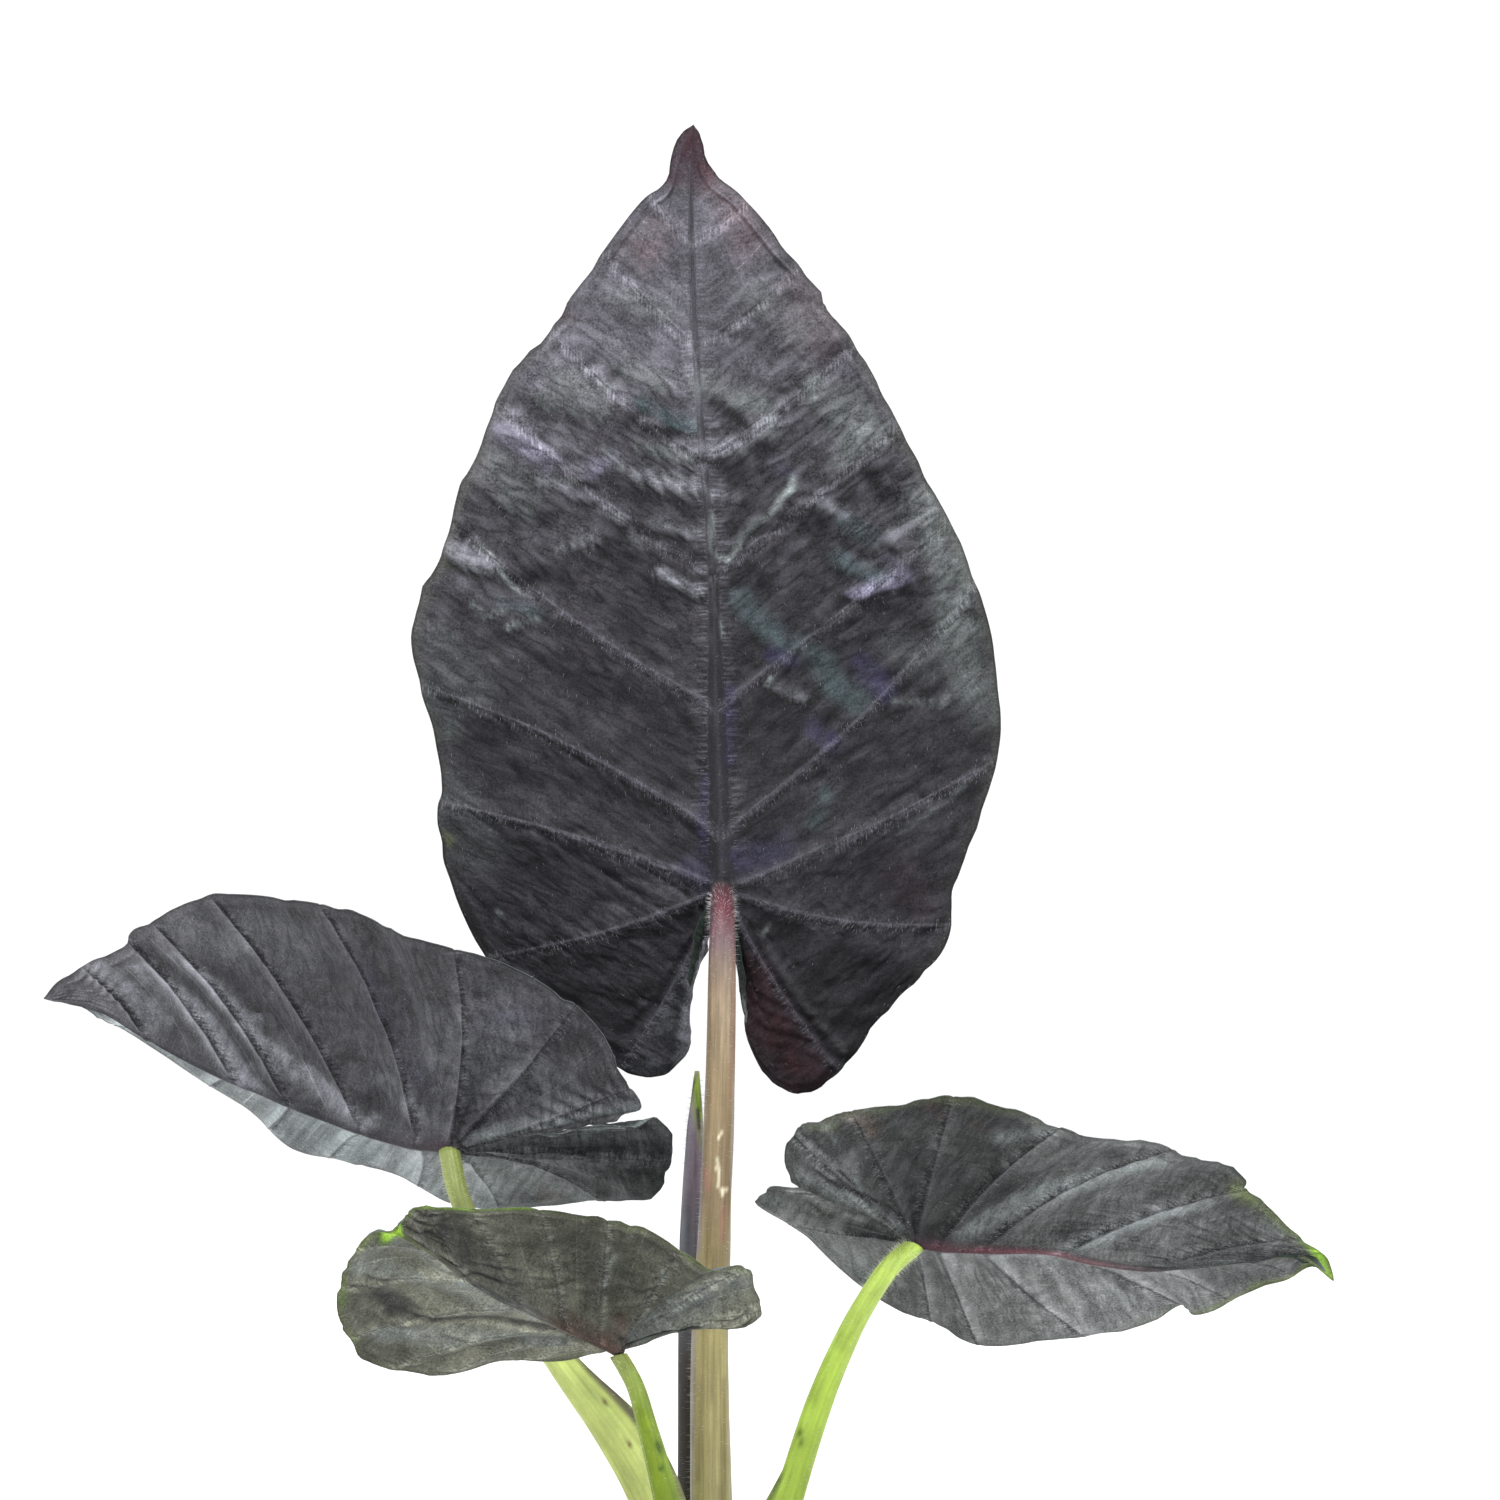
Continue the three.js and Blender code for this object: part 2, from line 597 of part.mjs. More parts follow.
const petioleLeft = {
  ...joined(
    [[-8.8, 0.4, -4], [-9.6, 12, -4.5]],
    [[-12.2, 27, -5], [-19.4, 41, -7.5], [-32.5, 59, -12], [-44, 76, -17], [-52.6, 92.4, -21]],
    bladeLeft,
  ),
  steps: 16,
  sides: 14,
  across: [4.4, 4.4, 4.2, 3.7, 2.5, 2.2, 2.1, 2.1],
  deep: [3.4, 3.4, 3.2, 2.9, 2.4, 2.2, 2.1, 2.1],
  sheath: { at: 0, width: 0.3, reach: [0.1, 0.3, 0.7, 1, 0.5, 0, 0, 0] },
};

const petioleRight = {
  ...joined(
    [[9.5, 0.4, -2.5], [11.8, 12, -3]],
    [[16.3, 29.4, -4], [22.6, 49.4, -8], [27.4, 61, -12], [31.6, 69.3, -16], [37.6, 78.3, -19]],
    bladeRight,
  ),
  steps: 15,
  sides: 12,
  across: [3.2, 3.2, 3, 2.8, 2.5, 2.3, 2.1, 2],
  deep: [3, 3, 2.8, 2.6, 2.5, 2.3, 2.1, 2],
  sheath: { at: 3.6, width: 0.35, reach: [0.2, 0.7, 0.95, 1, 0.3, 0, 0, 0, 0, 0, 0] },
};

const petioleFront = {
  ...joined(
    [[-3.5, 0.4, -10.5], [-5.5, 12, -12]],
    [[-9.3, 29.4, -16], [-13.2, 44, -22], [-16.2, 54, -27]],
    bladeFront,
  ),
  steps: 12,
  sides: 12,
  across: [3.2, 3.1, 2.7, 2.1, 1.8, 1.7],
  deep: [3.1, 3, 2.7, 2.1, 1.8, 1.7],
};

const newLeaf = {
  route: [
    [-6, 0.4, 8.5], [-5, 15, 9], [-4.4, 29.4, 9], [-4.3, 63, 7.5], [-4.1, 84, 6.5],
    [-3.7, 96.6, 5.5], [-3.2, 108, 5], [-2.9, 119.5, 5],
  ].map(place),
  steps: 16,
  sides: 12,
  across: [2.8, 2.7, 2.6, 2.5, 2.4, 2.1, 1.7, 0.5],
  deep: [2.8, 2.7, 2.6, 2.5, 2.4, 2.1, 1.7, 0.5],
  roll: 0.24,
};

// Assembly

function look(color, roughness) {
  return new THREE.MeshStandardMaterial({ color, roughness, metalness: 0 });
}

const stems = {
  petiole_main: [petioleMain, 0x8f7355],
  petiole_left: [petioleLeft, 0x9bb070],
  petiole_right: [petioleRight, 0x8dc63f],
  petiole_front: [petioleFront, 0x84bd4a],
  new_leaf: [newLeaf, 0x4d434c],
};

const blades = {
  blade_main: [bladeMain, 0x2e2c31],
  blade_left: [bladeLeft, 0x333236],
  blade_right: [bladeRight, 0x3a3b3d],
  blade_front: [bladeFront, 0x3c4040],
};

const plant = new THREE.Group();

function addPiece(name, geometry, material) {
  const piece = new THREE.Mesh(geometry, material);
  piece.name = name;
  plant.add(piece);
}

addPiece('pot', makePot(), look(0x2a2b2c, 0.7));
addPiece('potting_mix', makePottingMix(), look(0x3b2b20, 0.95));
addPiece('stem_base', makeCrown(Object.values(stems).map(([stem]) => stem)), look(0x6f5a3c, 0.9));
for (const [name, [stem, color]] of Object.entries(stems)) {
  addPiece(name, makeStem(stem), look(color, 0.6));
}
for (const [name, [blade, color]] of Object.entries(blades)) {
  addPiece(name, blade.geometry, look(color, 0.85));
}

export default plant;
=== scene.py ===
"""A potted velvet alocasia: four open leaves, a rolled new leaf, a stem base and a nursery pot.

Shapes are worked out in millimetres, +Z up, from the centre of the pot's flat base, with the
front towards -Y, and turned into metres when a piece is made.
"""

import json
import logging
import math
from dataclasses import dataclass, field
from enum import Enum
from functools import partial, reduce
from typing import Any, Optional, Sequence

import bpy
import numpy as np
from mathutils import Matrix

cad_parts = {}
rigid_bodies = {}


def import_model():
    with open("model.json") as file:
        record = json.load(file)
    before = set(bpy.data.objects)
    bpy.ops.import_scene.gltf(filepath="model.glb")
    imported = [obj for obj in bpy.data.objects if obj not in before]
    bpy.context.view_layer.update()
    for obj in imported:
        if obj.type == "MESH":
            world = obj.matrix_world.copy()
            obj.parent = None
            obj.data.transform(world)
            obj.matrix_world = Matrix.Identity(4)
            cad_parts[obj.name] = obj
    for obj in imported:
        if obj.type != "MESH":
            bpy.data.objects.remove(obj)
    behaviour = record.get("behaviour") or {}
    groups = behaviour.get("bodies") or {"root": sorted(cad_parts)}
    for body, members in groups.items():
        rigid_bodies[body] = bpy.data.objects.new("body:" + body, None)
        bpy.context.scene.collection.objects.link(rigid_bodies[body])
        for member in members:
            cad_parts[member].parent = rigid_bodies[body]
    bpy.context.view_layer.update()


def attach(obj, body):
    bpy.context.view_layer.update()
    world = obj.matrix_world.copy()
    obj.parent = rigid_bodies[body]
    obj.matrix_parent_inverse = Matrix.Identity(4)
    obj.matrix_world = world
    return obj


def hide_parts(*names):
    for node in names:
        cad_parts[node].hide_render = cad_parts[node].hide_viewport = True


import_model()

LOG = logging.getLogger("alocasia")
MM = 0.001
RISE = 0.6

Array = np.ndarray
Socket = bpy.types.NodeSocket
Path = list[tuple[float, float]]


# Places, curves and noise


@dataclass(frozen=True)
class Sight:
    """The point the plant is set out from, in millimetres.

    A seen point is [across, height over the mix, depth]: its first two numbers as they look on
    the plane y = 0, and then its depth behind that plane along the sight line. A mark is a pair
    on a square grid over the frame, counted right and down from its top left corner.
    """

    across: float = 8.2
    away: float = 1200.0
    height: float = 186.9
    mix_level: float = 98.0
    frame_width: float = 315.0
    grid_step: float = 0.21
    grid_centre: float = 711.0
    grid_mix_level: float = 1640.0

    @property
    def eye(self) -> Array:
        """The eye's place."""
        return np.array([self.across, -self.away, self.mix_level + self.height])

    def place(self, seen: Sequence) -> Array:
        """Slides seen points to their depth.

        Args:
            seen: rows of [across, height over the mix, depth].

        Returns:
            Rows of x, y and z.
        """
        rows = np.asarray(seen, float)
        flat = np.column_stack([rows[:, 0], np.zeros(len(rows)), self.mix_level + rows[:, 1]])
        return self.eye + (flat - self.eye) * (1 + rows[:, 2:3] / self.away)

    def look(self, points: Array) -> Array:
        """Where points are seen: rows of across and height over the mix."""
        ray = points - self.eye
        flat = self.eye + ray * (self.away / ray[:, 1:2])
        return np.column_stack([flat[:, 0], flat[:, 2] - self.mix_level])

    def marks(self, path: Path) -> Array:
        """Marks on the frame's grid as rows of across and height over the mix."""
        grid = np.asarray(path, float)
        across = (grid[:, 0] - self.grid_centre) * self.grid_step
        return np.column_stack([across, (self.grid_mix_level - grid[:, 1]) * self.grid_step])


SIGHT = Sight()


class Curve:
    """A smooth centripetal curve through points."""

    EVEN_STEPS = 200
    TINY = 1e-4

    def __init__(self, points: Array) -> None:
        """Keeps the points and measures the curve.

        Args:
            points: rows of the places that the curve passes.
        """
        self.points = np.asarray(points, float)
        self.shares = np.linspace(0, 1, self.EVEN_STEPS + 1)
        steps = np.linalg.norm(np.diff(self.at(self.shares), axis=0), axis=1)
        self.lengths = np.concatenate([[0.0], np.cumsum(steps)])

    @property
    def length(self) -> float:
        """The curve's length."""
        return float(self.lengths[-1])

    def at(self, share: Array) -> Array:
        """Points at shares of the way, counted through the given points.

        Args:
            share: numbers from 0 to 1.

        Returns:
            One row for each share.
        """
        known = self.points
        ahead = np.vstack([2 * known[0] - known[1], known, 2 * known[-1] - known[-2]])
        reach = np.clip(np.atleast_1d(share), 0, 1) * (len(known) - 1)
        index = np.minimum(reach.astype(int), len(known) - 2)
        weight = (reach - index)[:, None]
        p0, p1, p2, p3 = (ahead[index + offset] for offset in range(4))
        pairs = ((p0, p1), (p1, p2), (p2, p3))
        gaps = [np.linalg.norm(b - a, axis=1)[:, None] ** 0.5 for a, b in pairs]
        middle = np.where(gaps[1] < self.TINY, 1.0, gaps[1])
        before = np.where(gaps[0] < self.TINY, middle, gaps[0])
        after = np.where(gaps[2] < self.TINY, middle, gaps[2])
        start = ((p1 - p0) / before - (p2 - p0) / (before + middle) + (p2 - p1) / middle) * middle
        end = ((p2 - p1) / middle - (p3 - p1) / (middle + after) + (p3 - p2) / after) * middle
        square = -3 * p1 + 3 * p2 - 2 * start - end
        cube = 2 * p1 - 2 * p2 + start + end
        return p1 + weight * (start + weight * (square + weight * cube))

    def even(self, share: Array) -> Array:
        """Points at shares of the length."""
        return self.at(np.interp(np.asarray(share) * self.length, self.lengths, self.shares))

    def heading(self, share: Array) -> Array:
        """Unit directions at shares of the way."""
        ahead = self.at(np.minimum(np.asarray(share) + self.TINY, 1))
        behind = self.at(np.maximum(np.asarray(share) - self.TINY, 0))
        return unit(ahead - behind)


class Grain:
    """Seeded smooth noise between -1 and 1."""

    CELLS = 48

    def __init__(self, seed: int) -> None:
        """Draws the noise's lattice."""
        self.lattice = np.random.default_rng(seed).uniform(-1, 1, (self.CELLS,) * 3)

    def __call__(self, points: Array, size: float | Sequence[float]) -> Array:
        """Noise at points.

        Args:
            points: rows of two or three numbers.
            size: width of one lump, or one width for each number.

        Returns:
            One value for each row.
        """
        scaled = points / np.asarray(size, float)
        if scaled.shape[1] == 2:
            scaled = np.column_stack([scaled, np.zeros(len(scaled))])
        cell = np.floor(scaled).astype(int)
        part = scaled - cell
        part = part * part * (3 - 2 * part)
        total = np.zeros(len(scaled))
        for corner in range(8):
            bits = np.array([corner & 1, corner >> 1 & 1, corner >> 2 & 1])
            weight = np.prod(np.where(bits, part, 1 - part), axis=1)
            x, y, z = ((cell + bits) % self.CELLS).T
            total += weight * self.lattice[x, y, z]
        return total


def unit(vectors: Array) -> Array:
    """Rows scaled to length 1."""
    return vectors / np.maximum(np.linalg.norm(vectors, axis=-1, keepdims=True), 1e-9)


def along(values: Sequence[float], share: Array) -> Array:
    """Straight interpolation through evenly spaced values."""
    return np.interp(share, np.linspace(0, 1, len(values)), values)


def bump(distance: Array, reach: Array | float) -> Array:
    """A soft bump: 1 at distance 0, fading over a reach."""
    return np.exp(-((distance / reach) ** 2))


def smooth(share: Array) -> Array:
    """A share eased at both ends."""
    share = np.clip(share, 0, 1)
    return share * share * (3 - 2 * share)


def vertex_normals(points: Array, triangles: Array) -> Array:
    """Unit normals of vertices, weighted by the area of their triangles.

    Args:
        points: rows of x, y and z.
        triangles: rows of three vertex numbers.

    Returns:
        One row for each vertex.
    """
    a, b, c = (points[triangles[:, corner]] for corner in range(3))
    area = np.cross(b - a, c - a)
    normals = np.zeros_like(points)
    for corner in range(3):
        for axis in range(3):
            normals[:, axis] += np.bincount(triangles[:, corner], area[:, axis], len(points))
    return unit(normals)


def screen(red: float, green: float, blue: float) -> tuple[float, float, float]:
    """A linear colour from screen values between 0 and 255."""
    parts = (value / 255 for value in (red, green, blue))
    return tuple(p / 12.92 if p <= 0.04045 else ((p + 0.055) / 1.055) ** 2.4 for p in parts)


class Tint(Enum):
    """The plant's pigments."""

    CHARCOAL = screen(57, 56, 61)
    GRAPHITE = screen(64, 64, 67)
    ASH = screen(84, 86, 86)
    MOSS_GREY = screen(82, 83, 74)
    SHADOW = screen(30, 29, 33)
    SILVER = screen(138, 140, 148)
    PALE = screen(134, 142, 142)
    MIST = screen(112, 119, 118)
    INDIGO = screen(40, 37, 62)
    LAVENDER = screen(140, 136, 160)
    TEAL = screen(82, 102, 106)
    WINE = screen(98, 42, 56)
    MAUVE_GREY = screen(74, 72, 80)
    ROSE = screen(178, 92, 104)
    RUST = screen(62, 47, 43)
    OLIVE = screen(98, 112, 58)
    LIME = screen(150, 200, 48)
    GREEN = screen(156, 184, 68)
    LETTUCE = screen(164, 188, 84)
    PEA = screen(124, 148, 42)
    FERN = screen(134, 144, 80)
    DEEP_GREEN = screen(66, 92, 16)
    SAGE = screen(194, 208, 120)
    DRAB = screen(88, 84, 60)
    TAN = screen(138, 121, 92)
    OLIVE_TAN = screen(144, 136, 90)
    STRAW = screen(174, 168, 118)
    LINDEN = screen(208, 220, 134)
    FAWN = screen(150, 132, 109)
    MAUVE = screen(104, 84, 89)
    BLUSH = screen(128, 104, 110)
    WINE_BROWN = screen(52, 34, 40)
    SLATE = screen(92, 94, 102)
    SOOT = screen(46, 42, 40)
    BARK = screen(96, 70, 44)
    CREAM = screen(226, 216, 186)
    DUSK = screen(118, 106, 118)
    NIGHT_GREEN = screen(30, 40, 34)
    VEIN_GREEN = screen(76, 90, 80)

    @property
    def colour(self) -> Array:
        """The pigment as an array."""
        return np.array(self.value)


def paint(colours: Array, mask: Array | float, tint: Tint) -> Array:
    """Colours with a pigment mixed in where a mask is high."""
    cover = np.clip(np.broadcast_to(mask, len(colours)), 0, 1)[:, None]
    return colours * (1 - cover) + tint.colour * cover


@dataclass(frozen=True)
class Stroke:
    """A soft mark on a surface along a path on the frame's grid.

    Its two reaches are how far it fades above and below the path, in millimetres. It may raise
    the surface, and it may cover it with a tint.
    """

    path: Path
    above: float
    below: float
    tint: Optional[Tint] = None
    cover: float = 0.0
    lift: float = 0.0

    def mask(self, seen: Array, least: float = 0.0) -> Array:
        """The mark's strength at seen places.

        Args:
            seen: rows of across and height over the mix.
            least: the shortest reach that the surface's points can show.

        Returns:
            Numbers from 0 to 1.
        """
        path = SIGHT.marks(self.path)
        margin = 3 * max(self.above, self.below)
        inside = ((seen > path.min(0) - margin) & (seen < path.max(0) + margin)).all(1)
        spots = seen[inside]
        nearest = np.full(len(spots), np.inf)
        height = np.zeros(len(spots))
        segments = list(zip(path, path[1:])) or [(path[0], path[0])]
        for start, end in segments:
            run = end - start
            share = np.clip((spots - start) @ run / max(run @ run, 1e-9), 0, 1)
            gap = spots - (start + share[:, None] * run)
            distance = np.linalg.norm(gap, axis=1)
            closer = distance < nearest
            nearest = np.where(closer, distance, nearest)
            height = np.where(closer, gap[:, 1], height)
        result = np.zeros(len(seen))
        reach = np.where(height > 0, self.above, self.below)
        part = nearest / np.maximum(reach, least)
        result[inside] = np.exp(-(part**3)) * np.sqrt(np.minimum(reach / max(least, 1e-6), 1))
        return result


def marks(tint: Optional[Tint], *rows: tuple[float, ...]) -> list[Stroke]:
    """Strokes of one tint, set out in rows.

    Args:
        tint: the strokes' tint.
        rows: x and y of each mark in turn, then the reach above, the reach below, cover and lift.

    Returns:
        One stroke for each row.
    """
    paths = (list(zip(row[:-4:2], row[1:-4:2])) for row in rows)
    return [Stroke(path, *row[-4:-2], tint, *row[-2:]) for path, row in zip(paths, rows)]


@dataclass(frozen=True)
class Ruffle:
    """A patch of level puckers, each gentle on top and steep beneath."""

    at: tuple[float, float]
    size: tuple[float, float]
    period: float
    lift: float
    slant: float = 0.0
    GENTLE = 0.76

    def shape(self, seen: Array, grain: Grain) -> Array:
        """Millimetres of relief at seen places.

        Args:
            seen: rows of across and height over the mix.
            grain: the noise that bends the folds.

        Returns:
            One height for each row.
        """
        centre = SIGHT.marks([self.at])[0]
        spread = (seen - centre) / np.array(self.size)
        patch = np.exp(-((spread**2).sum(1) ** 1.5))
        phase = (self.slant * seen[:, 0] - seen[:, 1]) / self.period
        phase = phase + 1.1 * grain(seen, 3.2 * self.period)
        part = phase - np.floor(phase)
        saw = np.where(part < self.GENTLE, part / self.GENTLE, (1 - part) / (1 - self.GENTLE))
        broken = smooth(0.55 + 1.3 * grain(seen + 31.0, (3.6 * self.period, 1.6 * self.period)))
        return self.lift * patch * smooth(saw) * broken


# Node trees and materials


class Graph:
    """A node tree that is being wired."""

    def __init__(self, tree: bpy.types.NodeTree) -> None:
        """Keeps the tree."""
        self.tree = tree

    def add(self, kind: str, inputs: Optional[dict] = None, **settings: Any) -> bpy.types.Node:
        """Adds a node.

        Args:
            kind: the node's type.
            inputs: a socket, a node or a plain value for each input name or number.
            settings: the node's own properties.

        Returns:
            The node.
        """
        node = self.tree.nodes.new(kind)
        for name, value in settings.items():
            setattr(node, name, value)
        for key, value in (inputs or {}).items():
            self.join(node.inputs[key], value)
        return node

    def join(self, socket: Socket, value: Any) -> None:
        """Links a socket or a node's first output to an input, or sets the input's value.

        Args:
            socket: the input.
            value: a socket, a node or a plain value.
        """
        if isinstance(value, bpy.types.Node):
            value = value.outputs[0]
        if isinstance(value, Socket):
            self.tree.links.new(value, socket)
        else:
            socket.default_value = value

    def math(self, operation: str, first: Any, second: Any = 0.0) -> Socket:
        """The result of one step of arithmetic."""
        inputs = {0: first, 1: second}
        return self.add("ShaderNodeMath", inputs, operation=operation).outputs[0]

    def plus(self, *numbers: Any) -> Socket:
        """Numbers added up."""
        return reduce(partial(self.math, "ADD"), numbers)

    def times(self, *numbers: Any) -> Socket:
        """Numbers multiplied."""
        return reduce(partial(self.math, "MULTIPLY"), numbers)

    def most(self, *numbers: Any) -> Socket:
        """The highest of some numbers."""
        return reduce(partial(self.math, "MAXIMUM"), numbers)

    def size(self, number: Any) -> Socket:
        """A number without its sign."""
        return self.math("ABSOLUTE", number)

    def vector(self, operation: str, first: Any, second: Any) -> Socket:
        """The result of one step of vector arithmetic."""
        inputs = {0: first, 1: second}
        return self.add("ShaderNodeVectorMath", inputs, operation=operation).outputs[0]

    def scaled(self, vector: Any, factor: Any) -> Socket:
        """A vector or a colour times a number."""
        inputs = {0: vector, "Scale": factor}
        return self.add("ShaderNodeVectorMath", inputs, operation="SCALE").outputs[0]

    def spread(self, value: Any, low: float, high: float, start: float, end: float) -> Socket:
        """A value taken from one range to another and held inside it."""
        titles = ("Value", "From Min", "From Max", "To Min", "To Max")
        sockets = dict(zip(titles, (value, low, high, start, end)))
        return self.add("ShaderNodeMapRange", sockets, clamp=True).outputs[0]

    def blend(self, share: Any, first: Any, second: Any) -> Socket:
        """Two colours mixed."""
        return self.add("ShaderNodeMix", {0: share, 6: first, 7: second}, data_type="RGBA").outputs[2]

    def apart(self, vector: Any) -> bpy.types.bpy_prop_collection:
        """The three numbers of a vector."""
        return self.add("ShaderNodeSeparateXYZ", {"Vector": vector}).outputs

    def together(self, *numbers: Any) -> Socket:
        """A vector of three numbers."""
        return self.add("ShaderNodeCombineXYZ", dict(zip("XYZ", numbers))).outputs[0]

    def noise(self, place: Any, scale: Any, detail: float, rough: float) -> Socket:
        """Noise between 0 and 1."""
        sockets = {"Vector": place, "Scale": scale, "Detail": detail, "Roughness": rough}
        return self.add("ShaderNodeTexNoise", sockets).outputs["Fac"]


class Group(Graph):
    """A node group with named inputs and outputs."""

    def __init__(self, name: str, kind: str, inputs: dict[str, tuple], outputs: dict[str, str]) -> None:
        """Makes the group.

        Args:
            name: the group's name.
            kind: the tree's type.
            inputs: a socket type and a default value, or None, for each input name.
            outputs: a socket type for each output name.
        """
        super().__init__(bpy.data.node_groups.new(name, kind))
        self.identifiers: dict[str, str] = {}
        for title, (socket_type, value) in inputs.items():
            socket = self.tree.interface.new_socket(title, in_out="INPUT", socket_type=socket_type)
            self.identifiers[title] = socket.identifier
            if value is not None:
                socket.default_value = value
        for title, socket_type in outputs.items():
            self.tree.interface.new_socket(title, in_out="OUTPUT", socket_type=socket_type)
        self.into = self.add("NodeGroupInput").outputs
        self.out = self.add("NodeGroupOutput").inputs

    def give(self, **outputs: Any) -> "Group":
        """Joins the outputs and returns the finished group."""
        for title, value in outputs.items():
            self.join(self.out[title], value)
        return self


NUMBER, COLOUR, VECTOR = "NodeSocketFloat", "NodeSocketColor", "NodeSocketVector"


class Effects:
    """Shader groups that several materials share."""

    def __init__(self) -> None:
        """Builds every group once."""
        self.nap = self._nap()
        self.mottle = self._mottle()
        self.fibre = self._fibre()

    @staticmethod
    def _nap() -> Group:
        """A velvet surface: clouds, creases, vein lines, fine grain and short hairs, with painted shade in
        the creases and painted light and shade on the veins' flanks.

        Returns:
            The group.
        """
        inputs = {title: (VECTOR, None) for title in ("Place", "Surface", "Creases", "Veins", "Ribs")}
        inputs |= {"Clouds": (NUMBER, 0.5), "Hairs": (NUMBER, 0.5), "Pleats": (NUMBER, 1.0)}
        group = Group("Nap", "ShaderNodeTree", inputs, dict.fromkeys(("Shade", "Pale", "Height"), NUMBER))
        place = group.into["Place"]
        spread, plus, times, most = group.spread, group.plus, group.times, group.most
        past, near, flank = group.apart(group.into["Veins"])
        lengthwise, crosswise, crumpled = group.apart(group.into["Creases"])
        fringe, wide, _ = group.apart(group.into["Ribs"])
        _, outside, _ = group.apart(group.vector("MULTIPLY", group.into["Surface"], (1 / MM, 1 / MM, 0.0)))
        rise, run = math.sin(RISE), math.cos(RISE)
        onward = plus(times(lengthwise, rise), times(crosswise, run))
        aside = group.math("SUBTRACT", times(lengthwise, run), times(crosswise, rise))

        def strands(first: tuple, second: tuple, seed: float, low: float) -> Socket:
            """Thin strands, from two coordinates with their counts on a millimetre."""
            grid = group.together(times(*first), times(*second), seed)
            return spread(group.noise(grid, 1.0, 1.0, 0.5), low, low + 0.13, 0, 1)

        # Clouds, patches and specks of tone
        cloud = group.noise(place, 95.0, 4.0, 0.62)
        patch = group.noise(place, 360.0, 3.0, 0.6)
        speck = group.noise(place, 2300.0, 2.0, 0.6)
        tone = plus(spread(cloud, 0.25, 0.75, -0.6, 0.6), spread(patch, 0.25, 0.75, -0.45, 0.45))
        tone = plus(times(tone, group.into["Clouds"]), spread(speck, 0.25, 0.75, -0.5, 0.5))

        # Puckers between creases, with painted shade in the creases, and painted light and shade on the
        # flanks of each vein
        folds = group.together(times(lengthwise, 0.11), times(crosswise, 0.3), 0.0)
        ruck = group.noise(folds, 1.0, 2.0, 0.55)
        pillow = spread(group.size(group.math("SUBTRACT", ruck, 0.5)), 0.0, 0.17, 0, 1)
        crumpled = times(crumpled, group.into["Pleats"])
        tone = plus(tone, times(crumpled, spread(pillow, 0, 1, -0.28, 0.24)))
        lit = times(spread(past, 0.05, 0.35, 0, 1), spread(past, 0.35, 3.6, 1, 0))
        dim = times(spread(past, 0.05, -0.25, 0, 0.75), spread(past, -0.3, -1.9, 1, 0))
        tone = plus(tone, times(flank, near, group.math("SUBTRACT", lit, dim)))

        # Hairs over the panels, beside the veins and along the midrib
        level = strands((onward, 1.8), (aside, 0.4), 0.0, 0.56)
        upright = strands((onward, 0.3), (aside, 2.0), 5.0, 0.59)
        scattered = times(most(level, upright), spread(cloud, 0.4, 0.62, 0.1, 0.55))
        beside = strands((outside, 1.5), (past, 0.3), 3.0, 0.48)
        beside = times(beside, times(near, spread(group.size(past), 0.4, 2.2, 1.8, 0)))
        beside = times(beside, spread(past, -0.4, 0.4, 1.0, 0.4))
        inward = strands((onward, 1.5), (outside, 0.12), 7.0, 0.47)
        inward = times(inward, spread(outside, 0.8, 5.5, 2.0, 0), spread(outside, -0.1, 0.2, 0, 1))
        edging = times(spread(group.size(outside), 0.08, 0.26, 1.2, 0), spread(patch, 0.38, 0.55, 0.3, 1))
        inward = times(most(inward, edging), fringe)

        # The pale line on each side of a vein
        flanks = group.math("DIVIDE", group.size(past), wide)
        line = times(spread(flanks, 0.4, 0.75, 0.0, 1), spread(flanks, 0.95, 1.3, 1.0, 0))
        line = times(near, line, spread(patch, 0.4, 0.6, 0.3, 1))
        pale = times(most(most(scattered, beside), most(inward, line)), group.into["Hairs"])

        height = plus(times(speck, 0.6), times(pale, 0.8), times(crumpled, times(pillow, 2.4)))
        return group.give(Shade=most(plus(tone, 1.05), 0.15), Pale=pale, Height=height)

    @staticmethod
    def _mottle() -> Group:
        """Uneven tone at a chosen size, with a fine grain.

        Returns:
            The group.
        """
        inputs = {"Place": (VECTOR, None), "Coarse": (NUMBER, 60.0), "Fine": (NUMBER, 900.0)}
        group = Group("Mottle", "ShaderNodeTree", inputs, dict.fromkeys(("Shade", "Mask", "Height"), NUMBER))
        place = group.into["Place"]
        coarse = group.noise(place, group.into["Coarse"], 4.0, 0.6)
        fine = group.noise(place, group.into["Fine"], 3.0, 0.55)
        shade = group.spread(coarse, 0.25, 0.75, 0.72, 1.22)
        shade = group.plus(shade, group.spread(fine, 0.2, 0.8, -0.14, 0.14))
        return group.give(Shade=shade, Mask=group.spread(coarse, 0.48, 0.62, 0, 1), Height=fine)

    @staticmethod
    def _fibre() -> Group:
        """Lengthwise strands on a stem, from its own surface coordinates.

        Returns:
            The group.
        """
        inputs = {"Surface": (VECTOR, None), "Across": (NUMBER, 1400.0), "Length": (NUMBER, 60.0)}
        group = Group("Fibre", "ShaderNodeTree", inputs, dict.fromkeys(("Shade", "Height"), NUMBER))
        stretch = group.together(group.into["Across"], group.into["Length"], 1.0)
        strand = group.noise(group.vector("MULTIPLY", group.into["Surface"], stretch), 1.0, 4.0, 0.65)
        return group.give(Shade=group.spread(strand, 0.28, 0.72, 0.66, 1.32), Height=strand)


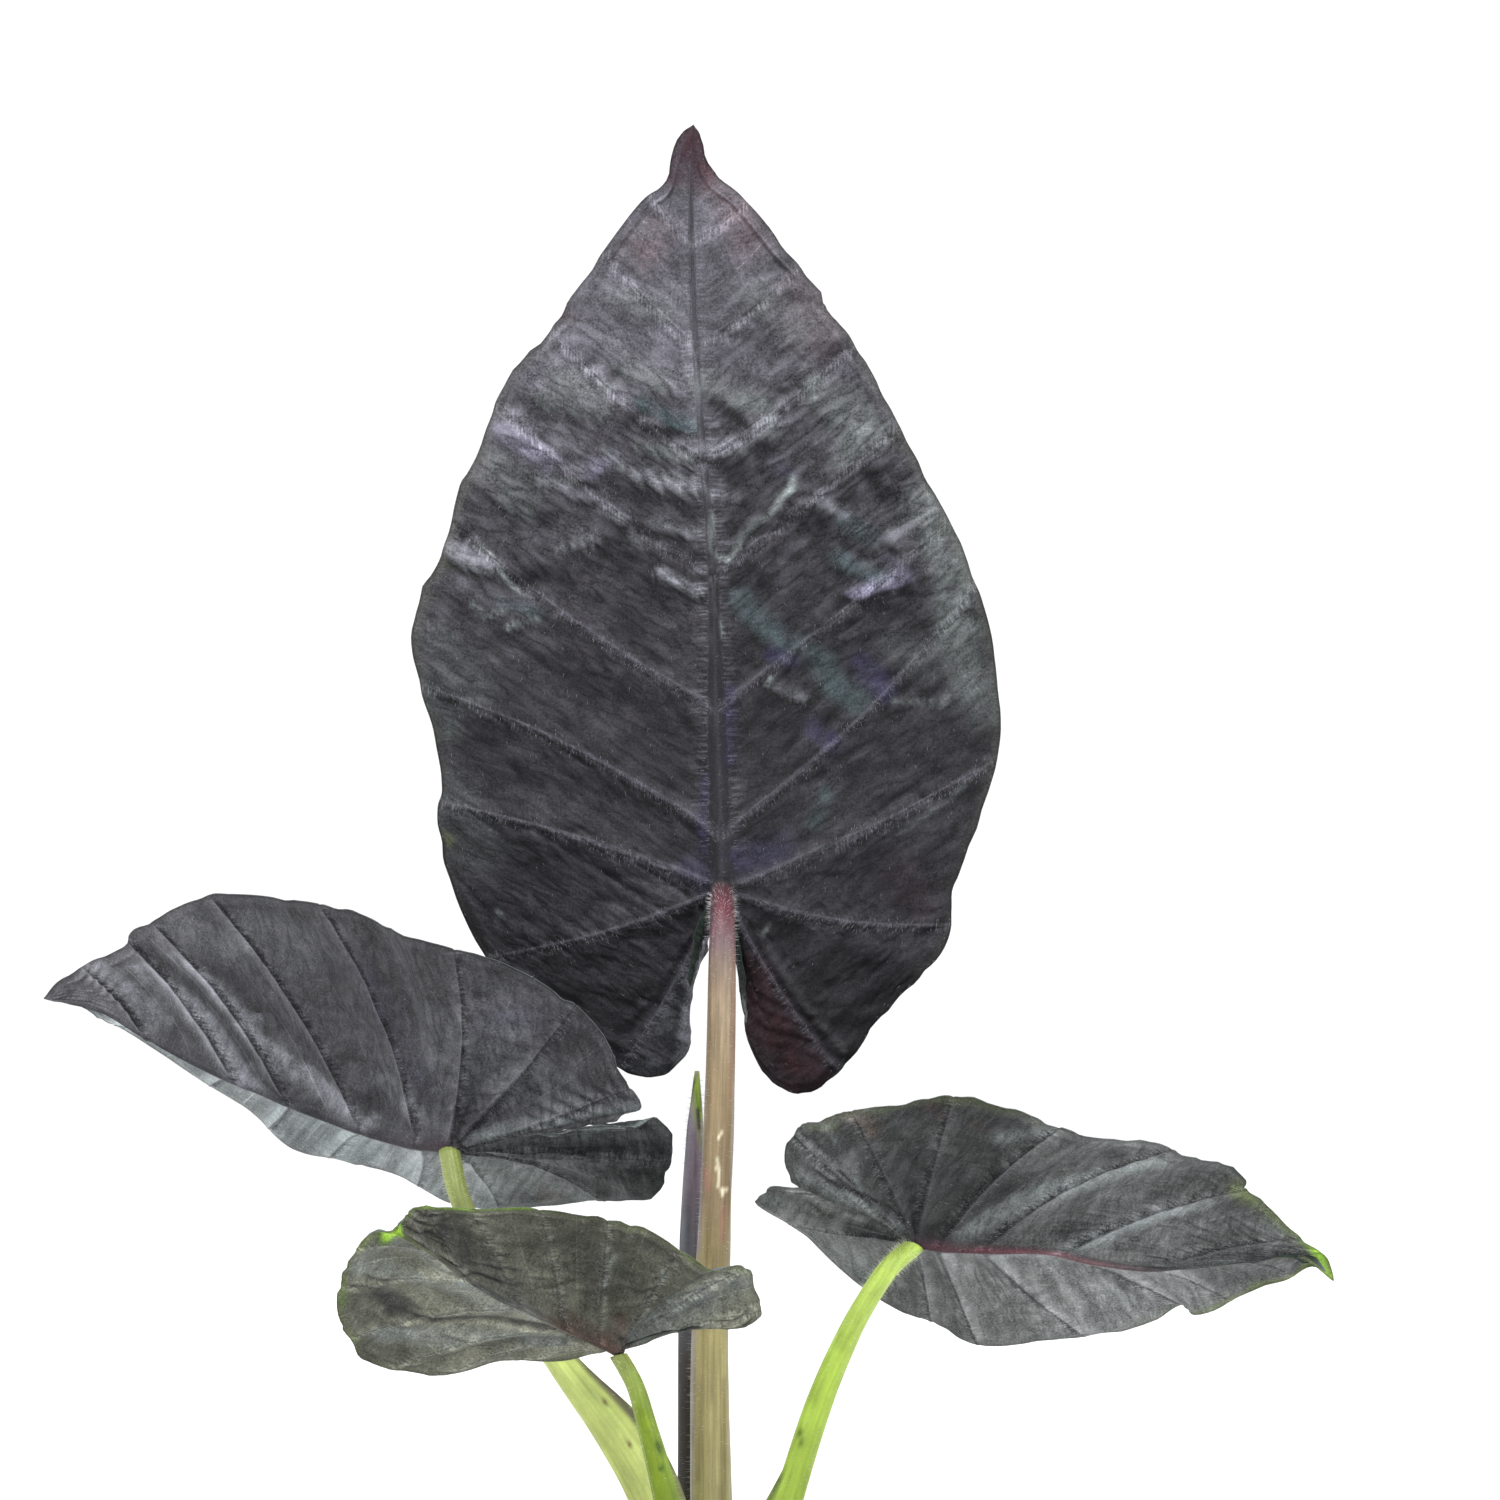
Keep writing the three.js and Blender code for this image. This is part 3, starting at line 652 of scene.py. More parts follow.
class Surface(Graph):
    """A material that is being wired round one principled shader."""

    def __init__(self, name: str, **sockets: Any) -> None:
        """Makes the material.

        Args:
            name: the material's name.
            sockets: constants for the shader's own sockets, with underscores for spaces.
        """
        self.material = bpy.data.materials.new(name)
        self.material.use_nodes = True
        super().__init__(self.material.node_tree)
        self.tree.nodes.clear()
        self.shader = self.add("ShaderNodeBsdfPrincipled")
        self.add("ShaderNodeOutputMaterial", {"Surface": self.shader})
        self.place = self.add("ShaderNodeTexCoord").outputs["Object"]
        self.unwrapped = self.add("ShaderNodeUVMap", uv_map="surface").outputs[0]
        for title, value in sockets.items():
            self.shader.inputs[title.replace("_", " ")].default_value = value

    def effect(self, group: Group, **inputs: Any) -> bpy.types.bpy_prop_collection:
        """Places a shared group and returns its outputs.

        Args:
            group: the group.
            inputs: a value for each of its named inputs.

        Returns:
            The group's outputs.
        """
        node = self.add("ShaderNodeGroup", node_tree=group.tree)
        for title, value in inputs.items():
            self.join(node.inputs[title], value)
        return node.outputs

    def kept(self, name: str) -> bpy.types.Node:
        """A value kept on the piece's points."""
        return self.add("ShaderNodeAttribute", attribute_name=name)

    def pigment(self) -> Socket:
        """The colour kept on the piece."""
        return self.kept("pigment").outputs["Color"]

    def finish(
        self, colour: Any, rough: Any, height: Any, depth: float, strength: float = 1.0
    ) -> bpy.types.Material:
        """Joins colour, roughness and a bump to the shader.

        Args:
            colour: base colour.
            rough: roughness.
            height: bump height between 0 and 1.
            depth: what a height of 1 stands for, in millimetres.
            strength: how strongly the bump shows.

        Returns:
            The material.
        """
        relief = self.add("ShaderNodeBump", {"Height": height, "Distance": depth * MM, "Strength": strength})
        for title, value in {"Base Color": colour, "Roughness": rough, "Normal": relief}.items():
            self.join(self.shader.inputs[title], value)
        return self.material


@dataclass(frozen=True)
class VelvetFinish:
    """A leaf face with a nap of very short hairs."""

    name: str
    clouds: float = 0.55
    hairs: float = 0.5
    rough: float = 0.6
    sheen: float = 0.1
    sheen_tint: tuple[float, float, float, float] = (0.72, 0.74, 0.82, 1.0)
    depth: float = 0.16
    pleats: float = 1.0

    def material(self, effects: Effects) -> bpy.types.Material:
        """Wires the finish.

        Args:
            effects: the shared shader groups.

        Returns:
            The material.
        """
        fixed = {"Sheen_Weight": self.sheen, "Sheen_Roughness": 0.42, "Sheen_Tint": self.sheen_tint}
        surface = Surface(self.name, Specular_IOR_Level=0.12, **fixed)
        titles = ("Creases", "Veins", "Ribs")
        inputs = {title: surface.kept(title.lower()).outputs["Vector"] for title in titles}
        inputs |= {"Place": surface.place, "Surface": surface.unwrapped}
        inputs |= {"Clouds": self.clouds, "Hairs": self.hairs, "Pleats": self.pleats}
        nap = surface.effect(effects.nap, **inputs)
        colour = surface.scaled(surface.pigment(), nap["Shade"])
        colour = surface.blend(nap["Pale"], colour, surface.scaled(colour, 2.6))
        rough = surface.spread(nap["Shade"], 0.5, 1.5, self.rough + 0.12, self.rough - 0.12)
        return surface.finish(colour, rough, nap["Height"], self.depth, 0.7)


@dataclass(frozen=True)
class StemFinish:
    """Smooth or streaked skin of a stem."""

    name: str
    rough: float = 0.42
    streak: float = 0.5
    glow: float = 0.0
    depth: float = 0.12
    length: float = 60.0

    def material(self, effects: Effects) -> bpy.types.Material:
        """Wires the finish.

        Args:
            effects: the shared shader groups.

        Returns:
            The material.
        """
        glow = {"Subsurface_Weight": self.glow, "Subsurface_Scale": 1.5 * MM}
        surface = Surface(self.name, Specular_IOR_Level=0.4, **glow)
        fibre = surface.effect(effects.fibre, Surface=surface.unwrapped, Length=self.length)
        mottle = surface.effect(effects.mottle, Place=surface.place, Coarse=170.0, Fine=2400.0)
        streaked = surface.scaled(surface.pigment(), fibre["Shade"])
        colour = surface.blend(self.streak, surface.pigment(), streaked)
        colour = surface.scaled(colour, surface.spread(mottle["Shade"], 0.7, 1.3, 0.86, 1.14))
        rough = surface.spread(mottle["Shade"], 0.7, 1.3, self.rough + 0.1, self.rough - 0.08)
        height = surface.plus(fibre["Height"], surface.times(mottle["Height"], 0.4))
        return surface.finish(colour, rough, height, self.depth, 0.6)


@dataclass(frozen=True)
class HairFinish:
    """Short pale hairs in a mottled tone, with a faint sheen."""

    name: str
    colour: tuple[float, float, float] = screen(140, 140, 148)

    def material(self, effects: Effects) -> bpy.types.Material:
        """Wires the finish.

        Args:
            effects: the shared shader groups.

        Returns:
            The material.
        """
        surface = Surface(self.name, Specular_IOR_Level=0.3, Sheen_Weight=0.2)
        mottle = surface.effect(effects.mottle, Place=surface.place, Coarse=140.0, Fine=1500.0)
        colour = surface.scaled(self.colour, mottle["Shade"])
        rough = surface.spread(mottle["Shade"], 0.7, 1.3, 0.7, 0.5)
        return surface.finish(colour, rough, mottle["Height"], 0.02, 0.2)


@dataclass(frozen=True)
class MouldedFinish:
    """Matt moulded plastic with a faint grain, scuffs and dusty patches."""

    name: str
    colour: tuple[float, float, float] = screen(47, 48, 50)
    dust: tuple[float, float, float] = screen(96, 92, 86)

    def material(self, effects: Effects) -> bpy.types.Material:
        """Wires the finish.

        Args:
            effects: the shared shader groups.

        Returns:
            The material.
        """
        surface = Surface(self.name, Specular_IOR_Level=0.45)
        mottle = surface.effect(effects.mottle, Place=surface.place, Coarse=28.0, Fine=3200.0)
        stretched = surface.vector("MULTIPLY", surface.place, (60.0, 60.0, 900.0))
        lines = surface.noise(stretched, 1.0, 3.0, 0.6)
        colour = surface.scaled(self.colour, mottle["Shade"])
        dusty = surface.math("MULTIPLY", mottle["Mask"], surface.spread(lines, 0.45, 0.7, 0.03, 0.3))
        colour = surface.blend(dusty, colour, (*self.dust, 1.0))
        rough = surface.spread(mottle["Shade"], 0.7, 1.3, 0.62, 0.44)
        height = surface.math("ADD", mottle["Height"], surface.math("MULTIPLY", lines, 0.6))
        return surface.finish(colour, rough, height, 0.06, 0.5)


@dataclass(frozen=True)
class EarthFinish:
    """Crumbly or fibrous matter in two tones."""

    name: str
    dark: tuple[float, float, float]
    light: tuple[float, float, float]
    coarse: float = 160.0
    fine: float = 1500.0
    depth: float = 0.5
    rough: float = 0.86

    def material(self, effects: Effects) -> bpy.types.Material:
        """Wires the finish.

        Args:
            effects: the shared shader groups.

        Returns:
            The material.
        """
        surface = Surface(self.name, Specular_IOR_Level=0.25)
        mottle = surface.effect(effects.mottle, Place=surface.place, Coarse=self.coarse, Fine=self.fine)
        colour = surface.blend(mottle["Mask"], (*self.dark, 1.0), (*self.light, 1.0))
        colour = surface.scaled(colour, mottle["Shade"])
        rough = surface.spread(mottle["Shade"], 0.7, 1.3, self.rough + 0.08, self.rough - 0.1)
        return surface.finish(colour, rough, mottle["Height"], self.depth)


@dataclass(frozen=True)
class FloorFinish:
    """A plain pale studio sweep."""

    name: str = "studio_sweep"
    colour: tuple[float, float, float] = (0.93, 0.93, 0.93)

    def material(self, effects: Effects) -> bpy.types.Material:
        """Wires the finish.

        Args:
            effects: the shared shader groups.

        Returns:
            The material.
        """
        surface = Surface(self.name, Specular_IOR_Level=0.1)
        mottle = surface.effect(effects.mottle, Place=surface.place, Coarse=2.0, Fine=40.0)
        colour = surface.scaled(self.colour, surface.spread(mottle["Shade"], 0.7, 1.3, 0.99, 1.0))
        return surface.finish(colour, 0.9, mottle["Height"], 0.01, 0.05)


# Pieces


def make_object(
    name: str,
    points: Array,
    faces: Array | list,
    materials: Sequence[bpy.types.Material],
    picks: Optional[Array] = None,
    sharp: Optional[Array] = None,
    **fields: Array,
) -> bpy.types.Object:
    """Makes a mesh object at the origin.

    Args:
        name: the object's name.
        points: rows of x, y and z in millimetres.
        faces: vertex numbers of each face.
        materials: the object's materials.
        picks: the material number of each face.
        sharp: whether each face is shaded flat.
        fields: values on the vertices, kept as attributes, or as the UV map where named surface.

    Returns:
        The object.
    """
    mesh = bpy.data.meshes.new(name)
    mesh.from_pydata(np.asarray(points, float) * MM, [], faces)
    for material in materials:
        mesh.materials.append(material)
    if picks is not None:
        mesh.polygons.foreach_set("material_index", np.asarray(picks, np.int32))
    round_faces = np.ones(len(mesh.polygons), bool) if sharp is None else ~sharp
    mesh.polygons.foreach_set("use_smooth", round_faces)
    kinds = {1: ("FLOAT", "value"), 3: ("FLOAT_VECTOR", "vector"), 4: ("FLOAT_COLOR", "color")}
    for title, values in fields.items():
        if title == "surface":
            corners = np.zeros(len(mesh.loops), np.int32)
            mesh.loops.foreach_get("vertex_index", corners)
            values, key = values[corners] * MM, "vector"
            data = mesh.uv_layers.new(name=title).uv
        else:
            if title == "pigment":
                values = np.column_stack([values, np.ones(len(values))])
            kind, key = kinds[values.size // len(values)]
            data = mesh.attributes.new(title, kind, "POINT").data
        data.foreach_set(key, values.astype(np.float32).ravel())
    mesh.update()
    return placed(name, mesh)


def placed(name: str, data: Any) -> bpy.types.Object:
    """Puts a new object with some data in the scene, at the origin."""
    made = bpy.data.objects.new(name, data)
    bpy.context.scene.collection.objects.link(made)
    return made


def finished(made: bpy.types.Object, modifier: bpy.types.Modifier) -> bpy.types.Mesh:
    """A plain mesh of an object with its one modifier, which is then removed.

    Args:
        made: the object.
        modifier: its modifier.

    Returns:
        The new mesh.
    """
    bpy.context.view_layer.update()
    graph = bpy.context.evaluated_depsgraph_get()
    mesh = bpy.data.meshes.new_from_object(made.evaluated_get(graph), depsgraph=graph)
    made.modifiers.remove(modifier)
    return mesh


def present(made: bpy.types.Object, slot: str, *nodes: str) -> None:
    """Puts a piece on the body, hides the solids that it stands for and logs its face count.

    Args:
        made: the piece.
        slot: not used.
        nodes: the solids that it stands for.
    """
    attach(made, "root")
    if nodes:
        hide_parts(*nodes)
    LOG.info("%s: %d faces", made.name, len(made.data.polygons))


class Grower:
    """Geometry node trees that scatter small repeats over a surface."""

    HALF_TURN = 3.1

    def __init__(self) -> None:
        """Builds both trees."""
        self.hairs = self._hairs()
        self.litter = self._litter()

    @staticmethod
    def _start(name: str, inputs: dict[str, tuple]) -> Group:
        """A tree with a surface in and a mesh out."""
        first, last = ("NodeSocketGeometry", None), ("NodeSocketMaterial", None)
        sockets = {"Geometry": first, **inputs, "Material": last}
        return Group(name, "GeometryNodeTree", sockets, {"Geometry": "NodeSocketGeometry"})

    @staticmethod
    def _end(group: Group, instances: bpy.types.Node) -> Group:
        """Ends a tree with real meshes in one material."""
        real = group.add("GeometryNodeRealizeInstances", {0: instances})
        dressed = group.add("GeometryNodeSetMaterial", {0: real, "Material": group.into["Material"]})
        return group.give(Geometry=dressed)

    @staticmethod
    def _attribute(group: Group, name: str, kind: str) -> Socket:
        """A value that the surface keeps."""
        return group.add("GeometryNodeInputNamedAttribute", {"Name": name}, data_type=kind).outputs[0]

    @staticmethod
    def _random(group: Group, low: Any, high: Any, kind: str = "FLOAT_VECTOR") -> Socket:
        """A random value for each repeat, between two others."""
        first = ("FLOAT_VECTOR", "FLOAT").index(kind)
        inputs = {2 * first: low, 2 * first + 1: high, "Seed": group.into["Seed"]}
        return group.add("FunctionNodeRandomValue", inputs, data_type=kind).outputs[first]

    def _spots(self, group: Group) -> bpy.types.Node:
        """Random points on the surface, as dense as its fuzz says."""
        density = group.times(self._attribute(group, "fuzz", "FLOAT"), group.into["Density"])
        inputs = {"Mesh": group.into["Geometry"], "Density": density, "Seed": group.into["Seed"]}
        return group.add("GeometryNodeDistributePointsOnFaces", inputs)

    def _hairs(self) -> Group:
        """Three-sided hairs that lean the way the surface says.

        Returns:
            The tree.
        """
        inputs = {
            "Density": (NUMBER, 1e6), "Length": (NUMBER, 0.001), "Thickness": (NUMBER, 0.00005),
            "Stand": (NUMBER, 0.5), "Unrest": (NUMBER, 0.4), "Seed": ("NodeSocketInt", 0),
        }
        group = self._start("Hairs", inputs)
        points = self._spots(group)
        stray = group.scaled(self._random(group, (-1.0,) * 3, (1.0,) * 3), group.into["Unrest"])
        upright = group.scaled(points.outputs["Normal"], group.into["Stand"])
        lean = group.vector("ADD", upright, self._attribute(group, "lean", "FLOAT_VECTOR"))
        aim = {"Vector": group.vector("ADD", lean, stray)}
        turn = group.add("FunctionNodeAlignRotationToVector", aim, axis="Z")
        shape = {"Vertices": 3, "Radius Bottom": group.into["Thickness"], "Depth": group.into["Length"]}
        cone = group.add("GeometryNodeMeshCone", shape, fill_type="NONE")
        size = self._random(group, 0.5, 1.25, "FLOAT")
        repeats = {"Points": points, "Instance": cone, "Rotation": turn, "Scale": size}
        return self._end(group, group.add("GeometryNodeInstanceOnPoints", repeats))

    def _litter(self) -> Group:
        """Irregular flattened lumps that lie on the surface.

        Returns:
            The tree.
        """
        inputs = {
            "Density": (NUMBER, 1e4), "Size": (NUMBER, 0.003), "Narrow": (NUMBER, 0.6),
            "Flat": (NUMBER, 0.4), "Tilt": (NUMBER, 0.5), "Seed": ("NodeSocketInt", 0),
        }
        group = self._start("Litter", inputs)
        points = self._spots(group)
        ball = group.add("GeometryNodeMeshIcoSphere", {"Radius": 1.0, "Subdivisions": 2})
        noise = group.add("ShaderNodeTexNoise", {"Scale": 1.4, "Detail": 2.0})
        push = group.scaled(group.vector("SUBTRACT", noise.outputs["Color"], (0.5, 0.5, 0.5)), 1.5)
        lump = group.add("GeometryNodeSetPosition", {"Geometry": ball, "Offset": push})
        low = group.vector("MULTIPLY", (-1.0, -1.0, 0.0), group.into["Tilt"])
        high = group.vector("MULTIPLY", (1.0, 1.0, 0.0), group.into["Tilt"])
        low = group.vector("SUBTRACT", low, (0.0, 0.0, self.HALF_TURN))
        high = group.vector("ADD", high, (0.0, 0.0, self.HALF_TURN))
        turn = self._random(group, low, high)
        form = group.together(1.0, group.into["Narrow"], group.into["Flat"])
        size = self._random(group, 0.45, 1.2, "FLOAT")
        scale = group.scaled(group.scaled(form, size), group.into["Size"])
        repeats = {"Points": points, "Instance": lump, "Rotation": turn, "Scale": scale}
        return self._end(group, group.add("GeometryNodeInstanceOnPoints", repeats))

    @staticmethod
    def grow(group: Group, name: str, base: bpy.types.Object, **inputs: Any) -> bpy.types.Object:
        """Grows a tree's repeats on a base and returns them as a plain mesh object.

        Args:
            group: the tree.
            name: the new object's name.
            base: the surface, which is left as it was.
            inputs: a value for each of the tree's named inputs.

        Returns:
            The new object.
        """
        modifier = base.modifiers.new(name, "NODES")
        modifier.node_group = group.tree
        for title, value in inputs.items():
            modifier[group.identifiers[title]] = value
        mesh = finished(base, modifier)
        mesh.name = name
        return placed(name, mesh)


# Leaf blades


class Side(Enum):
    """The two halves of a blade, as seen from the underside with the tip up."""

    LEFT = 1
    RIGHT = 2

    @property
    def sign(self) -> int:
        """-1 for the left half and 1 for the right."""
        return 2 * self.value - 3


@dataclass
class Coat:
    """How a blade is coloured.

    The levels and vein amounts are set out at even steps along a run over the grid: how light each half
    is, partly its own tone and partly painted sheen and painted shade, how far its veins are tinted, how
    far they rise, how strong the painted light on their flank towards the tip and the painted shade on
    the other flank are, and how deeply the blade is puckered. The fringe is how plain the hairs along
    the midrib are, from the joint to the tip. The bite is painted light and shade: how much lighter the
    finer relief is painted where it faces up, and darker where it faces down.
    Washes are painted sheen over each half of the underside, rib tints run along the midrib from the
    joint to the tip, and rim tints colour the edge of each half from the sinus to the tip.
    """

    run: Path
    levels: dict[Side, list[float]]
    base: Tint = Tint.CHARCOAL
    slope_light: float = 1.1
    vein: Tint = Tint.SHADOW
    vein_cover: list[float] = field(default_factory=lambda: [0.4])
    vein_rise: list[float] = field(default_factory=lambda: [1.0])
    flank: list[float] = field(default_factory=lambda: [0.0])
    fringe: list[float] = field(default_factory=lambda: [0.25])
    clouds: float = 0.35
    puckers: list[float] = field(default_factory=lambda: [1.0])
    painted_sheen_washes: dict[Side, tuple[Tint, float]] = field(default_factory=dict)
    rib: list[tuple[Tint, float]] = field(default_factory=lambda: [(Tint.GRAPHITE, 0.3)])
    rim: Tint = Tint.OLIVE
    rim_reach: float = 2.0
    rim_cover: dict[Side, list[float]] = field(default_factory=dict)
    upper: Tint = Tint.NIGHT_GREEN
    strokes: list[Stroke] = field(default_factory=list)
    ruffles: list[Ruffle] = field(default_factory=list)

    def stage(self, seen: Array) -> Array:
        """Shares of the way along the run at seen places."""
        start, end = SIGHT.marks(self.run)
        return np.clip((seen - start) @ (end - start) / ((end - start) @ (end - start)), 0, 1)


@dataclass
class Leaf:
    """One leaf blade's sizes, in millimetres.

    Every edge runs from the sinus behind the joint, round its back lobe, to the tip. A vein is
    [share of the midrib, place on the left edge, place on the right edge, bow on the left, bow on
    the right]. A bow is how far the vein's middle bends towards the tip.
    """

    name: str
    slot: str
    rib_half_width: list[float]
    rib_height: list[float]
    midrib: list[list[float]]
    left: list[list[float]]
    right: list[list[float]]
    veins: list[list[float]]
    coat: Coat
    vein_height: float = 0.8
    belly: float = 1.1
    arch: float = 2.0
    arch_reach: float = 36.0
    ripple: float = 0.6
    ripple_places: float = 2.2
    sinus_places: float = 0.0
    thickness: float = 0.5
    step: float = 1.15
    rows: int = 60
    crumple: float = 0.35
    seed: int = 1


@dataclass
class Half:
    """Values over one half of a blade, one row of numbers for each column of points."""

    ids: Array
    points: Array
    share: Array
    reach: Array
    rib: Array
    across: Array
    panel: Array
    order: Array
    spine: Array
    vein: Array
    past: Array
    near: Array

    @property
    def inside(self) -> Array:
        """Shares of the way from the midrib's middle to its side, and on past it."""
        return self.share / np.maximum(self.rib, 1e-6)


class Blade:
    """A leaf blade: a thin relief sheet with its veins, puckers, pigment and nap."""

    RIB_ROWS = 5
    CROWDING = 0.72
    TERTIARY_STEP = 4.3
    COLLECTOR = 2.3
    JOINT_REACH = 6.0
    SINUS_EASE = 3.0
    PITCH = 0.6
    RAGGED = 0.42
    HAIRS = {"Length": 0.9 * MM, "Thickness": 0.03 * MM, "Stand": 0.55, "Unrest": 0.3}

    def __init__(self, leaf: Leaf) -> None:
        """Lays out the blade's columns.

        Args:
            leaf: its sizes and coat.
        """
        self.leaf = leaf
        self.grain = Grain(leaf.seed)
        self.spine = Curve(SIGHT.place(leaf.midrib))
        self.edges = {Side.LEFT: Curve(SIGHT.place(leaf.left)), Side.RIGHT: Curve(SIGHT.place(leaf.right))}
        self.counts = {Side.LEFT: len(leaf.left) - 1, Side.RIGHT: len(leaf.right) - 1}
        self.table, self.panel, self.starts = self._columns()
        self.halves = {side: self._half(side) for side in Side}
        self.count = 0
        self._number()
        self._shape()

    def _columns(self) -> tuple[Array, Array, list[int]]:
        """Columns of points from vein to vein, closer together beside the veins.

        Returns:
            The veins' values for each column, its share of the way between two veins, and the
            numbers of the columns that lie on veins.
        """
        veins = np.array(self.leaf.veins, float)
        rows, panels, starts = [], [], []
        total = 0
        for start, end in zip(veins, veins[1:]):
            spans = [self._edge_span(side, start, end) for side in Side]
            count = max(8, round(max(spans) / self.leaf.step))
            even = np.arange(count) / count
            share = even - self.CROWDING * np.sin(2 * np.pi * even) / (2 * np.pi)
            rows.append(start + (end - start) * share[:, None])
            panels.append(share)
            starts.append(total)
            total += count
        rows.append(veins[-1:])
        panels.append(np.zeros(1))
        return np.vstack(rows), np.concatenate(panels), starts[1:]

    def _edge_span(self, side: Side, start: Array, end: Array) -> float:
        """Length of the edge between two veins."""
        places = np.linspace(start[side.value], end[side.value], 12) / self.counts[side]
        return float(np.linalg.norm(np.diff(self.edges[side].at(places), axis=0), axis=1).sum())

    def _half(self, side: Side) -> Half:
        """Measures one half of the blade before its relief.

        Args:
            side: which half.

        Returns:
            The half's values, with no vertex numbers yet.
        """
        leaf = self.leaf
        foot = self.spine.even(self.table[:, 0])
        place = self.table[:, side.value]
        edge = self.edges[side].at(place / self.counts[side])
        ragged = self.grain(np.column_stack([3.1 * place, np.full(len(place), 9.0 * side.value)]), 1.0)
        ends = smooth(place / 2) * smooth((self.counts[side] - place) / 2)
        edge = edge + unit(edge - foot) * (self.RAGGED * ragged * ends)[:, None]
        reach = np.linalg.norm(edge - foot, axis=1)
        rib = np.minimum(along(leaf.rib_half_width, self.table[:, 0]) / np.maximum(reach, 1e-6), 0.3)
        inner = np.linspace(0, 1, self.RIB_ROWS + 1)
        outer = np.linspace(0, 1, leaf.rows + 1)[1:]
        share = np.hstack([rib[:, None] * inner, rib[:, None] + (1 - rib[:, None]) * outer])
        points = foot[:, None] + (edge - foot)[:, None] * share[..., None]
        bow = self.table[:, side.value + 2][:, None] * np.sin(np.pi * share)
        points = points + unit(np.gradient(points, axis=0)) * bow[..., None]
        steps = np.linalg.norm(np.diff(points, axis=0), axis=2)
        across = np.vstack([np.zeros(points.shape[1]), np.cumsum(steps, axis=0)])
        vein, past, near = self._veins(points, across, share)

        def spread(values: Array) -> Array:
            """The columns' values on every point."""
            return np.broadcast_to(values[:, None], share.shape)

        return Half(
            ids=np.zeros(share.shape, int), points=points, share=share, across=across, vein=vein, past=past,
            near=near, reach=spread(reach), rib=spread(rib), panel=spread(self.panel), order=spread(place),
            spine=spread(self.table[:, 0]),
        )

    def _veins(self, points: Array, across: Array, share: Array) -> tuple[Array, Array, Array]:
        """Measures every point against the side veins.

        Args:
            points: the places, in columns.
            across: distances along the rows from the first column.
            share: shares of the way from the midrib to the edge.

        Returns:
            The raised profile of the nearest vein, from 0 to 1, how far past it a point lies
            towards the tip, and how plainly it is the nearest, from 0 to 1.
        """
        width = 0.34 + 0.72 * (1 - share) ** 1.3
        profile, gaps = np.zeros(share.shape), []
        for start in self.starts:
            run = unit(np.gradient(points[start], axis=0))
            row = unit(points[start + 1] - points[start - 1])
            gaps.append((across - across[start]) * np.linalg.norm(np.cross(run, row), axis=1))
            gap = np.abs(gaps[-1])
            profile = np.maximum(profile, bump(gap, width) - 0.3 * bump(gap - 2.1 * width, 0.8 * width))
        sizes = np.abs(gaps)
        nearest = np.take_along_axis(np.array(gaps), sizes.argmin(0)[None], 0)[0]
        first, second = np.partition(sizes, 1, axis=0)[:2]
        return profile, nearest, np.clip((second - first) / 1.5, 0, 1)

    def _number(self) -> None:
        """Numbers the points, so that the halves share the midrib, the sinus and the tip."""
        columns, rows = self.halves[Side.LEFT].ids.shape
        numbers = iter(range(2 * columns * rows))
        foot: dict[float, int] = {}
        sinus = [next(numbers) for _ in range(rows)]
        tip = next(numbers)
        for half in self.halves.values():
            for column in range(columns):
                share = float(self.table[column, 0])
                if share not in foot:
                    foot[share] = sinus[0] if share == 0 else next(numbers)
                if column == 0:
                    half.ids[column] = sinus
                elif column == columns - 1:
                    half.ids[column] = tip
                else:
                    half.ids[column, 0] = foot[share]
                    half.ids[column, 1:] = [next(numbers) for _ in range(rows - 1)]
        self.count = int(max(half.ids.max() for half in self.halves.values())) + 1

    def _flat(self, values: dict[Side, Array]) -> Array:
        """Gathers values over both halves into one list of vertices.

        Args:
            values: values on the points of each half.

        Returns:
            One value for each vertex.
        """
        sample = values[Side.LEFT]
        flat = np.zeros((self.count, *sample.shape[2:]))
        for side, half in self.halves.items():
            flat[half.ids.ravel()] = values[side].reshape(-1, *sample.shape[2:])
        return flat

    def gather(self, name: str) -> Array:
        """One of the halves' values on every vertex."""
        return self._flat({side: getattr(half, name) for side, half in self.halves.items()})

    def _relief(self, side: Side) -> Array:
        """Millimetres towards the underside for one half, from the blade's own layout.

        Args:
            side: which half.

        Returns:
            One height for each point of the half.
        """
        leaf, half = self.leaf, self.halves[side]
        middle = np.sin(np.pi * half.share)
        inside = np.clip(half.inside, 0, 9)
        rib = along(leaf.rib_height, half.spine)
        crest = rib * (np.clip(1 - inside**2, 0, 1) ** 0.8 - 0.16 * bump(inside - 1.3, 0.3))
        past_rib = smooth((inside - 0.9) / 0.6)
        ridge = leaf.vein_height * (1 - 0.75 * half.share) * half.vein * past_rib
        belly = leaf.belly * np.sin(np.pi * half.panel) ** 2 * np.sqrt(np.clip(middle, 0, 1))
        arch = leaf.arch * middle * np.minimum(half.reach / leaf.arch_reach, 1)
        opened = np.clip((self.table[:, 1:2] - leaf.sinus_places) / self.SINUS_EASE, 0, 1)
        ripple = leaf.ripple * half.share**3 * np.sin(leaf.ripple_places * half.order)
        ridge = ridge * along(leaf.coat.vein_rise, self._stage(half))
        return crest + ridge - opened * (belly + arch) + ripple

    def _stage(self, half: Half) -> Array:
        """Shares of the way along the coat's run for one half."""
        flat = SIGHT.look(half.points.reshape(-1, 3))
        return self.leaf.coat.stage(flat).reshape(half.share.shape)

